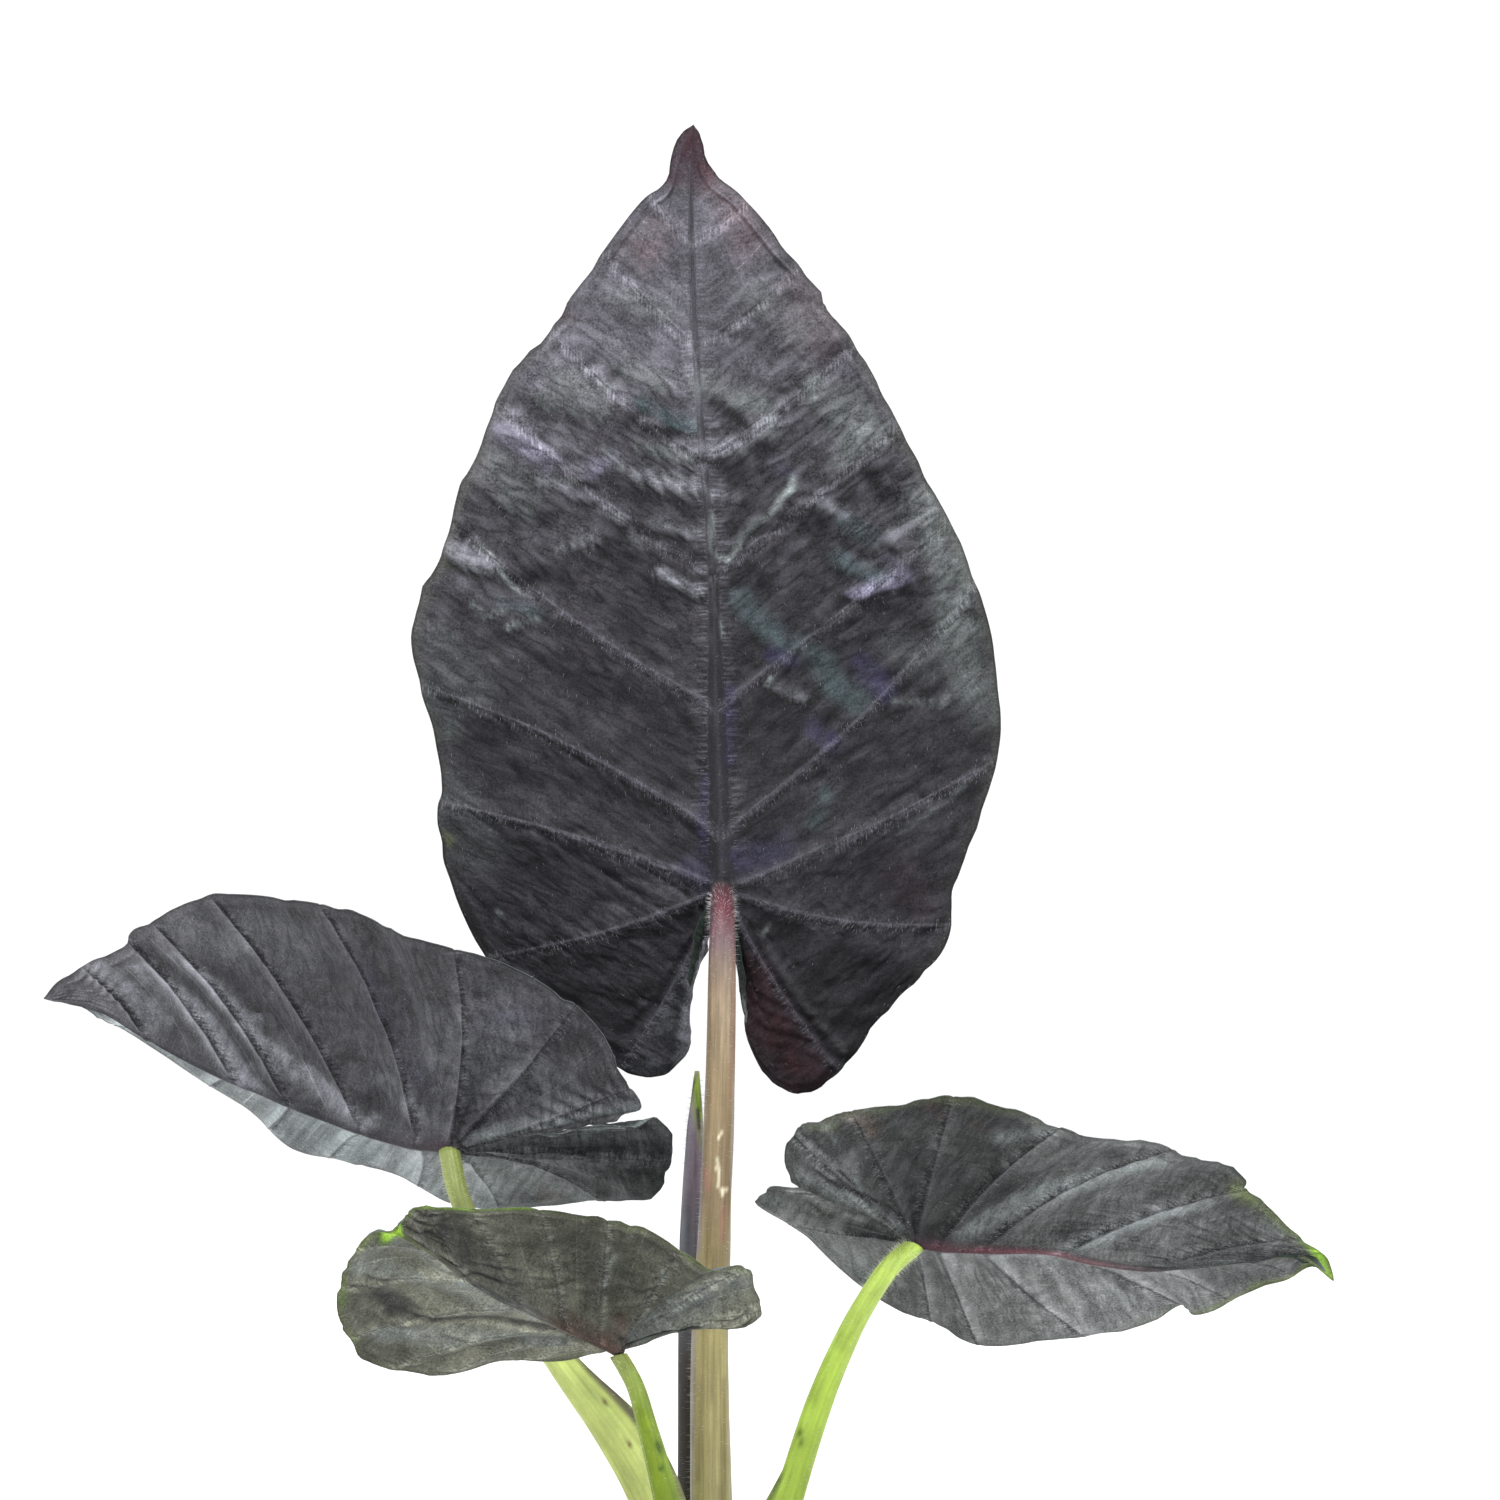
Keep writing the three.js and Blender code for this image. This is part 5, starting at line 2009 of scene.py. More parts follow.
@dataclass
class StemBase:
    """A stout ringed stem base with leaf scars and dry papery scales."""

    radius: float = 16.0
    above: float = 5.0
    below: float = 24.0
    level: float = SIGHT.mix_level
    sides: int = 96
    seed: int = 33
    CORK = EarthFinish("corky_stem", screen(88, 66, 42), screen(138, 108, 68), 260.0, 2200.0, 0.4)
    STRAW = EarthFinish("dry_fibre", screen(110, 84, 54), screen(168, 136, 92), 500.0, 3000.0, 0.1)
    # Turn, width in radians, height and distance from the middle of each papery scale
    SCALES = (
        (2.5, 1.15, 19.0, 13.2), (-0.6, 1.0, 15.0, 14.0), (0.9, 0.9, 12.0, 13.6), (-2.2, 0.8, 10.0, 14.2),
    )
    FIBRES = {
        "Density": 0.9 / MM**2, "Length": 3.2 * MM, "Thickness": 0.16 * MM, "Stand": 0.2, "Unrest": 0.5,
    }

    def _profile(self) -> list[tuple[float, float]]:
        """The stem base's section, from its foot to its top.

        Returns:
            Radius and height pairs.
        """
        shares = [
            (0.62, 0.3 - self.below), (0.78, 6 - self.below), (0.9, -7.0), (0.95, -4.5), (0.91, -3.6),
            (0.97, -2.0), (0.99, 1.0), (0.92, 1.6), (0.945, 2.6), (0.86, 3.6), (0.74, 4.5), (0.6, self.above),
        ]
        outline = [(self.radius * share, self.level + height) for share, height in shares]
        return [(0.0, self.level - self.below), *outline, (0.0, self.level + self.above)]

    def build(self, effects: Effects, grower: Grower) -> None:
        """Makes the stem base, its scales and its fibres.

        Args:
            effects: the shared shader groups.
            grower: the shared scatter trees.
        """
        grain = Grain(self.seed)
        points, faces = lathe(rounded(self._profile(), 1.2), self.sides)
        angle = np.arctan2(points[:, 1], points[:, 0])
        radius = np.hypot(points[:, 0], points[:, 1])
        round_place = np.column_stack([np.cos(angle) * 9, np.sin(angle) * 9, points[:, 2] * 0.5])
        knobs = 0.5 * grain(round_place, 3.0) - 0.35
        scars = 0.5 * np.sin(6 * angle + 1.2 * points[:, 2]) * bump(points[:, 2] - self.level - 1, 3.0)
        push = (knobs + scars - 0.3) * smooth(radius / 8)
        outward = np.column_stack([np.cos(angle), np.sin(angle), np.zeros(len(angle))])
        points = points + outward * push[:, None]
        fields = {"fuzz": smooth((points[:, 2] - self.level + 2) / 2) * smooth(radius / 12)}
        fields["lean"] = outward * 0.8 + [0, 0, 0.9]
        made = make_object("stem_base_cork", points, faces, [self.CORK.material(effects)], **fields)
        straw = self.STRAW.material(effects)
        growth = {**self.FIBRES, "Seed": self.seed, "Material": straw}
        fibres = grower.grow(grower.hairs, "stem_base_fibres", made, **growth)
        scales = self._scales(grain, straw)
        present(made, "stem_base", "stem_base")
        present(fibres, "stem_base")
        present(scales, "stem_base")

    def _scales(self, grain: Grain, material: bpy.types.Material) -> bpy.types.Object:
        """Dry scales: thin tapered shells that hug the foot of the stems.

        Args:
            grain: the noise that curls them.
            material: their material.

        Returns:
            The object.
        """
        points, faces = [], []
        columns, rows = 15, 22
        for turn, span, height, radius in self.SCALES:
            for face in (0.0, 0.35):
                start = len(points) * rows * columns
                rise, swing = np.meshgrid(np.linspace(0, 1, rows), np.linspace(-1, 1, columns), indexing="ij")
                taper = np.sqrt(np.clip(1 - rise**1.6, 0, 1))
                angle = turn + 0.5 * span * swing * taper
                place = np.column_stack([angle.ravel() * 9, rise.ravel() * 20])
                curl = 1.2 * rise**3 + 0.5 * grain(place, 4.0).reshape(rise.shape)
                out = radius - face - 2.2 * rise + curl
                level = self.level - 1.5 + height * rise
                shell = np.stack([out * np.cos(angle), out * np.sin(angle), level], axis=-1)
                points.append(shell.reshape(-1, 3))
                for row in range(rows - 1):
                    for column in range(columns - 1):
                        a = start + row * columns + column
                        quad = (a, a + 1, a + 1 + columns, a + columns)
                        faces.append(quad if face == 0.0 else quad[::-1])
                if face:
                    outer = start - rows * columns
                    loop = [*range(columns), *range(2 * columns - 1, rows * columns, columns)]
                    loop += [*range(rows * columns - 2, (rows - 1) * columns - 1, -1)]
                    loop += [*range((rows - 2) * columns, 0, -columns)]
                    for first, second in zip(loop, loop[1:] + loop[:1]):
                        faces.append((outer + second, outer + first, start + first, start + second))
        return make_object("papery_scales", np.vstack(points), faces, [material])


# Studio


@dataclass
class Studio:
    """A pale sweep all round, soft lights and the camera."""

    floor_radius: float = 3.0
    bend: float = 1.1
    wall_top: float = 3.6
    sky: float = 1.0
    MIDDLE = 0.27

    def build(self, effects: Effects) -> None:
        """Makes the sweep, the lights, the sky and the camera.

        Args:
            effects: the shared shader groups.
        """
        profile = [(0.0, 0.0)] + [(radius, 0.0) for radius in np.linspace(0.3, self.floor_radius, 8)]
        for angle in np.linspace(0, math.pi / 2, 14)[1:]:
            out, up = self.bend * math.sin(angle), self.bend * (1 - math.cos(angle))
            profile.append((self.floor_radius + out, up))
        profile.append((self.floor_radius + self.bend, self.wall_top))
        points, faces = lathe([(r / MM, h / MM) for r, h in profile] + [(0.0, 0.0)], 96)
        faces = [face[::-1] for face in faces if max(face) < len(points) - 1]
        sweep = make_object("studio_sweep", points[:-1], faces, [FloorFinish().material(effects)])
        self._light("key", (-0.7, -1.3, 2.1), 1.7, 46.0)
        self._light("fill", (1.5, -1.5, 0.9), 1.4, 14.0)
        self._light("back", (0.5, 1.6, 1.7), 1.4, 22.0)
        world = bpy.data.worlds.new("studio")
        bpy.context.scene.world = world
        world.use_nodes = True
        light = world.node_tree.nodes["Background"].inputs
        light["Color"].default_value = (1.0, 1.0, 1.0, 1.0)
        light["Strength"].default_value = self.sky
        bpy.context.scene.view_settings.view_transform = "Standard"
        self._camera()

    @staticmethod
    def _light(name: str, place: tuple[float, float, float], size: float, power: float) -> None:
        """Adds a soft square light that faces the plant.

        Args:
            name: the lamp's name.
            place: its place, in metres.
            size: its width, in metres.
            power: its power, in watts.
        """
        lamp = bpy.data.lights.new(name, "AREA")
        lamp.size, lamp.energy = size, power
        made = placed(name, lamp)
        made.location = place
        aim = np.array([0.0, 0.0, Studio.MIDDLE]) - np.array(place)
        made.rotation_euler = (math.acos(-unit(aim)[2]), 0.0, math.atan2(aim[1], aim[0]) - math.pi / 2)
        made.visible_camera = False

    @staticmethod
    def _camera() -> None:
        """Places a level camera at the eye."""
        lens = bpy.data.cameras.new("camera")
        lens.sensor_width = 36.0
        lens.lens = lens.sensor_width * SIGHT.away / SIGHT.frame_width
        made = placed("camera", lens)
        made.location = SIGHT.eye * MM
        made.rotation_euler = (math.pi / 2, 0.0, 0.0)
        bpy.context.scene.camera = made


# The plant

MAIN_LEAF = Leaf(
    name="blade_main",
    slot="blade_dark",
    rib_half_width=[3, 2.6, 1.4, 1, 0.8, 0.5],
    rib_height=[1.6, 1.5, 1.1, 0.8, 0.6, 0.2],
    midrib=[
        [2.3, 157.5, 2], [1.9, 176, 3], [1, 200, 5], [0.5, 222, 8], [-2.5, 258, 13], [-3.8, 285, 18],
        [-4.2, 306.5, 23], [-3.7, 318.2, 26],
    ],
    left=[
        [2.4, 153, 4], [-0.6, 148, 6], [-2.7, 142, 8], [-5.5, 133, 9], [-6, 126, 9], [-9.7, 118.6, 9],
        [-19, 119.7, 10], [-29.6, 126, 12], [-40, 134.4, 13], [-47.5, 143, 14], [-54.8, 159.6, 14],
        [-56.9, 172, 14], [-56.7, 182, 14], [-60.7, 199.5, 15], [-62.8, 209, 15], [-61, 220, 16],
        [-56.9, 228, 17], [-52.7, 242, 19], [-48.9, 249.5, 20], [-45, 260.4, 21], [-39.7, 269, 21],
        [-34.2, 273.5, 22], [-29.6, 282, 22], [-22.3, 292, 23], [-14, 302.4, 23], [-9.6, 306.2, 24],
        [-8.4, 312, 25], [-6.1, 315.9, 26], [-3.7, 318.2, 26],
    ],
    right=[
        [2.4, 153, 4], [5.9, 148, 6], [6, 134.4, 9], [7, 128, 10], [10.3, 121.4, 11], [14, 116.5, 11],
        [18.7, 114.7, 11], [24, 117, 11], [29.2, 121.8, 12], [33.8, 128, 12], [38.6, 134.4, 13],
        [45, 140.7, 13], [49.6, 147, 14], [51.2, 158.5, 14], [54.4, 168, 14], [59.4, 181.7, 15],
        [60.9, 192, 15], [59, 209, 15], [55, 222.6, 16], [51.2, 233, 17], [45, 244, 18], [39, 255, 19],
        [34, 265.6, 20], [28.8, 274.7, 21], [24.1, 279.3, 22], [23.3, 282.3, 22], [19.3, 287.7, 22],
        [10.3, 298.2, 23], [4, 305, 24], [-0.2, 309.8, 25], [-2.2, 315.2, 26], [-3.7, 318.2, 26],
    ],
    veins=[
        [0, 0, 0, 0, 0], [0, 6, 7.5, -1, -1], [0, 9, 12.3, -1.9, -2.9], [0, 11.4, 15.3, 1.3, -2.4],
        [0.07, 13.1, 17.9, 2.5, -3.6], [0.23, 16.5, 19.2, -2.5, -1], [0.4, 19, 21, -2.6, -0.5],
        [0.55, 21.2, 22.7, -1.6, -1.2], [0.7, 23, 26.1, -1, -1], [0.84, 24.3, 27.5, -0.6, -0.6],
        [1, 28, 31, 0, 0],
    ],
    vein_height=0.9,
    belly=1.5,
    arch=2.0,
    arch_reach=50.0,
    ripple=0.9,
    ripple_places=1.9,
    step=1.1,
    rows=81,
    crumple=0.36,
    seed=3,
    coat=Coat(
        run=[(705, 130), (705, 1090)],
        levels={
            Side.LEFT: [1.5, 1.8, 2.0, 2.05, 0.95, 0.68, 0.48, 0.5, 0.52, 0.34, 0.24],
            Side.RIGHT: [1.5, 1.75, 1.4, 1.1, 0.76, 0.54, 0.42, 0.5, 0.5, 0.28, 0.24],
        },
        slope_light=2.6,
        vein=Tint.MAUVE_GREY,
        vein_cover=[0, 0, 0, 0, 0.05, 0.15, 0.3, 0.3, 0.3, 0.25, 0.1],
        flank=[0, 0, 0, 0, 0.1, 0.25, 0.3, 0.3, 0.3, 0.3, 0.2],
        vein_rise=[0.3, 0.3, 0.3, 0.3, 0.4, 0.6, 1, 1, 1, 1, 0.7],
        puckers=[0.6, 0.8, 1, 1.5, 1.7, 1.3, 1.0, 0.9, 0.9, 0.9, 0.9],
        fringe=[1, 1, 1, 0.6, 0.3, 0.1],
        rib=[
            (Tint.SHADOW, 0.35), (Tint.SHADOW, 0.35), (Tint.SHADOW, 0.4), (Tint.CHARCOAL, 0.3),
            (Tint.SHADOW, 0.4), (Tint.SHADOW, 0.4),
        ],
        rim=Tint.MOSS_GREY,
        rim_cover={Side.LEFT: [0, 0, 0.1, 0.1, 0.4, 0.2, 0, 0], Side.RIGHT: [0, 0, 0, 0.1, 0.3, 0.3, 0.1, 0]},
        strokes=[
            # The small dark cap at the tip, and the dark lines just inside both margins
            *marks(
                Tint.WINE_BROWN,
                (697, 126, 680, 150, 672, 175, 2.4, 2.4, 0.85, 0), (700, 140, 708, 170, 2.4, 3, 0.85, 0),
                (690, 160, 694, 182, 4, 2.4, 0.7, 0),
            ),
            *marks(
                Tint.SHADOW,
                (656, 200, 620, 245, 580, 300, 545, 345, 512, 385, 500, 410, 0.6, 0.6, 0.35, -0.15),
                (728, 200, 776, 262, 808, 290, 838, 330, 862, 370, 0.6, 0.6, 0.35, -0.15),
                (480, 440, 455, 500, 440, 545, 0.6, 0.6, 0.3, -0.1),
                (890, 430, 925, 505, 0.6, 0.6, 0.3, -0.1),
                (692, 190, 690, 260, 692, 330, 698, 400, 0.5, 0.5, 0.5, -0.1),
            ),
            *marks(
                Tint.BLUSH,
                (722, 178, 738, 205, 750, 235, 4, 5, 0.2, 0), (640, 250, 655, 235, 4, 4, 0.18, 0),
                (800, 300, 820, 330, 6, 6, 0.12, 0),
            ),
            *marks(
                Tint.SILVER,
                (690, 336, 691, 352, 0.5, 0.5, 0.5, 0.1), (694, 366, 695, 376, 0.5, 0.5, 0.45, 0.1),
                (697, 388, 698, 402, 0.5, 0.5, 0.45, 0.1),
            ),
            # Broad shade
            *marks(
                Tint.SHADOW,
                (575, 560, 600, 610, 590, 650, 7, 8, 0.5, 0), (655, 430, 660, 500, 658, 570, 9, 9, 0.82, 0),
                (610, 470, 615, 520, 620, 560, 5, 6, 0.4, 0), (740, 560, 745, 610, 6, 6, 0.25, 0),
                (740, 470, 752, 520, 6, 6, 0.22, 0), (790, 540, 800, 600, 9, 6, 0.5, 0),
                (640, 640, 650, 740, 8, 8, 0.25, 0), (500, 870, 560, 900, 8, 6, 0.3, 0),
                (770, 700, 760, 800, 6, 6, 0.3, 0), (890, 880, 930, 850, 6, 7, 0.3, 0),
                (560, 1010, 640, 1040, 8, 6, 0.4, 0), (870, 880, 900, 940, 8, 8, 0.25, 0),
            ),
            # Raised leaf-shaped puckers, with painted highlights and a painted bluish sheen on them
            *marks(
                Tint.MIST,
                (560, 380, 600, 392, 3, 1.6, 0.4, 0.4), (625, 370, 660, 385, 3, 1.4, 0.4, 0.4),
                (545, 400, 600, 410, 3, 1.4, 0.35, 0.3), (700, 385, 755, 408, 3, 1.4, 0.4, 0.4),
                (815, 385, 850, 430, 3, 3, 0.35, 0.3), (850, 400, 880, 435, 3, 3, 0.35, 0.2),
                (840, 460, 870, 440, 3, 2, 0.3, 0.2), (760, 300, 800, 330, 5, 3, 0.2, 0.3),
                (620, 300, 664, 312, 4, 2, 0.2, 0.3), (640, 445, 690, 462, 1.8, 0.8, 0.4, 0.3),
                (600, 450, 620, 465, 1.6, 0.8, 0.35, 0.2), (760, 400, 775, 430, 2, 2, 0.35, 0.3),
                (500, 470, 520, 500, 4, 4, 0.3, 0), (440, 640, 470, 680, 4, 6, 0.15, 0.2),
                (420, 690, 450, 730, 3, 3, 0.2, 0.2), (450, 790, 480, 850, 5, 6, 0.12, 0),
                (925, 500, 955, 560, 960, 620, 4, 5, 0.38, 0), (960, 640, 985, 700, 4, 5, 0.4, 0),
                (900, 640, 930, 660, 4, 4, 0.15, 0),
            ),
            *marks(
                Tint.SILVER,
                (638, 476, 668, 482, 694, 492, 2.2, 0.8, 0.62, 0.8),
                (705, 456, 740, 450, 770, 426, 2.8, 1, 0.34, 0.6),
                (443, 550, 466, 562, 488, 569, 2.6, 1, 0.62, 0.8),
                (660, 575, 680, 586, 698, 593, 1.6, 0.6, 0.72, 0.7), (655, 524, 698, 534, 2, 0.9, 0.3, 0.4),
                (630, 540, 660, 550, 1.6, 0.8, 0.24, 0.3), (540, 479, 564, 487, 1.2, 0.6, 0.34, 0.3),
                (602, 510, 622, 519, 1.6, 0.8, 0.26, 0.3), (558, 530, 594, 538, 1.8, 0.8, 0.22, 0.3),
                (555, 546, 590, 541, 0.7, 0.4, 0.35, 0.15), (710, 495, 740, 500, 1.6, 0.8, 0.3, 0.3),
                (820, 503, 850, 514, 1.6, 0.9, 0.32, 0.3), (890, 535, 930, 515, 2, 1.4, 0.26, 0.2),
                (780, 690, 806, 698, 1.6, 0.7, 0.34, 0.3),
            ),
            *marks(
                Tint.LAVENDER,
                (502, 432, 525, 446, 548, 462, 2.6, 1.8, 0.28, 0.4), (586, 474, 606, 462, 2, 1, 0.36, 0.4),
                (858, 596, 880, 586, 905, 580, 2, 0.9, 0.62, 0.6),
            ),
            *marks(
                Tint.TEAL,
                (640, 402, 665, 418, 692, 426, 1.8, 1.4, 0.4, 0.3), (500, 602, 540, 613, 1.4, 0.9, 0.3, 0.2),
                (850, 520, 872, 536, 2.4, 2, 0.3, 0.2), (840, 555, 880, 578, 2, 2, 0.3, 0),
                (742, 602, 776, 636, 3, 2.4, 0.28, 0), (822, 660, 836, 684, 858, 702, 3, 2.6, 0.3, 0),
                (790, 650, 800, 640, 2.4, 2.4, 0.14, 0), (816, 820, 828, 790, 1.4, 2.2, 0.22, 0),
            ),
            # Hollows beneath them, sunk a little and darkened with painted shade, some of it bluish
            *marks(
                Tint.SHADOW,
                (575, 422, 604, 440, 2, 2, 0.55, -0.3), (581, 456, 596, 438, 1, 1, 0.6, -0.2),
                (640, 394, 690, 401, 1.2, 1.2, 0.4, -0.2), (645, 432, 695, 442, 1.4, 1.2, 0.5, -0.3),
                (638, 466, 694, 474, 1.2, 1.2, 0.6, -0.3), (604, 484, 640, 500, 2, 2, 0.5, -0.2),
                (640, 502, 696, 516, 2, 2, 0.65, -0.3), (660, 552, 698, 562, 1.8, 2, 0.6, -0.3),
                (562, 508, 600, 520, 1.6, 2, 0.5, -0.2), (512, 545, 522, 578, 2, 2.4, 0.4, -0.2),
                (660, 606, 700, 604, 1.4, 1.6, 0.6, -0.3), (715, 412, 748, 432, 2, 2, 0.45, -0.3),
                (706, 466, 745, 474, 1.2, 1.4, 0.6, -0.3), (715, 482, 790, 518, 1.8, 2.2, 0.5, -0.2),
                (800, 442, 830, 462, 2, 2, 0.45, -0.2), (810, 472, 850, 498, 2, 2, 0.45, -0.2),
                (870, 482, 892, 500, 2, 2, 0.4, -0.2), (850, 542, 872, 554, 1.6, 1.6, 0.5, -0.2),
                (860, 604, 910, 616, 1.4, 2, 0.5, -0.2), (905, 612, 925, 638, 2.2, 2.6, 0.55, 0),
            ),
            *marks(
                Tint.INDIGO,
                (770, 460, 796, 471, 1.4, 1.4, 0.35, 0), (890, 560, 910, 576, 1.6, 1.6, 0.3, 0),
                (864, 664, 886, 690, 3, 2.6, 0.6, 0), (770, 652, 794, 660, 1.6, 1.6, 0.6, 0),
                (816, 728, 834, 746, 2.4, 2, 0.6, 0), (744, 860, 780, 850, 4, 3, 0.5, 0),
                (690, 868, 702, 880, 3, 3, 0.45, 0), (730, 690, 728, 760, 1.6, 1.6, 0.4, 0),
                (704, 780, 702, 850, 1.2, 1.2, 0.5, 0),
            ),
            *marks(
                Tint.RUST,
                (556, 308, 568, 318, 2.4, 2.4, 0.3, 0), (752, 965, 768, 1020, 795, 1066, 2.4, 2.4, 0.35, 0),
            ),
            # Fine pale lines and flecks
            *marks(
                Tint.PALE,
                (797, 478, 786, 494, 772, 511, 0.8, 0.5, 0.9, 0.25),
                (770, 512, 746, 534, 734, 546, 0.5, 0.5, 0.45, 0.15),
                (727, 559, 716, 556, 710, 551, 0.5, 0.5, 0.6, 0.1), (712, 510, 711, 545, 0.4, 0.4, 0.6, 0.1),
                (728, 560, 740, 545, 0.4, 0.4, 0.4, 0.1),
                (470, 601, 485, 615, 503, 609, 0.35, 0.35, 0.5, 0.1),
                (506, 625, 536, 618, 0.4, 0.35, 0.6, 0.15),
                (500, 570, 508, 582, 520, 592, 0.35, 0.35, 0.45, 0.1),
                (476, 540, 492, 556, 0.35, 0.35, 0.35, 0.1), (533, 487, 580, 478, 0.35, 0.35, 0.3, 0.1),
                (720, 620, 722, 634, 0.4, 0.4, 0.4, 0.1),
                (895, 700, 940, 702, 975, 690, 0.35, 0.35, 0.35, 0.1),
                (900, 835, 950, 800, 970, 780, 0.5, 0.4, 0.14, 0.1), (772, 678, 768, 684, 0.6, 0.4, 0.5, 0.1),
            ),
            *marks(
                Tint.MIST,
                (495, 919, 499, 913, 0.3, 0.3, 0.6, 0.1), (765, 936, 771, 929, 0.3, 0.3, 0.8, 0.1),
            ),
            *marks(Tint.FERN, (446, 834, 452, 838, 450, 844, 0.25, 0.25, 0.45, 0)),
            # The left lobe's rolled inner margin with painted sheen on it, and a crumpled line beside it with
            # painted shade
            *marks(Tint.SLATE, (676, 980, 662, 1020, 648, 1054, 3, 6, 0.28, 0.1)),
            *marks(Tint.SILVER, (700, 946, 692, 984, 686, 1020, 682, 1060, 1.3, 1.8, 0.6, 0.9)),
            *marks(
                Tint.SHADOW,
                (698, 934, 678, 964, 656, 1003, 626, 1034, 1, 1.4, 0.8, -0.7),
                (668, 976, 650, 1020, 0.8, 0.8, 0.4, -0.4), (640, 1036, 660, 1050, 1.6, 1.6, 0.5, -0.3),
                (745, 922, 760, 950, 790, 1000, 830, 1055, 850, 1062, 0.9, 1.2, 0.75, -0.6),
            ),
            # The right lobe's folded inner part: its wine-brown colour darkened further as painted shade
            *marks(
                Tint.WINE_BROWN,
                (752, 985, 772, 1035, 800, 1072, 5.5, 5.5, 0.75, 0),
                (900, 870, 925, 900, 4, 4, 0.2, 0),
            ),
            *marks(Tint.GRAPHITE, (760, 938, 780, 968, 808, 1008, 844, 1050, 0.9, 0.9, 0.35, 0.4)),
        ],
        ruffles=[
            Ruffle((670, 500), (14, 30), 4.6, 0.5, 0.2), Ruffle((560, 500), (16, 26), 5.2, 0.35, 0.1),
            Ruffle((765, 430), (16, 26), 4.8, 0.45, -0.4), Ruffle((660, 330), (14, 22), 4.0, 0.35, 0.1),
            Ruffle((500, 1000), (26, 12), 3.4, 0.3, 0.5), Ruffle((820, 1000), (20, 14), 3.2, 0.4, -0.6),
            Ruffle((880, 960), (12, 12), 2.4, 0.4, 2.5), Ruffle((860, 520), (12, 20), 5, 0.35, -0.5),
        ],
    ),
)

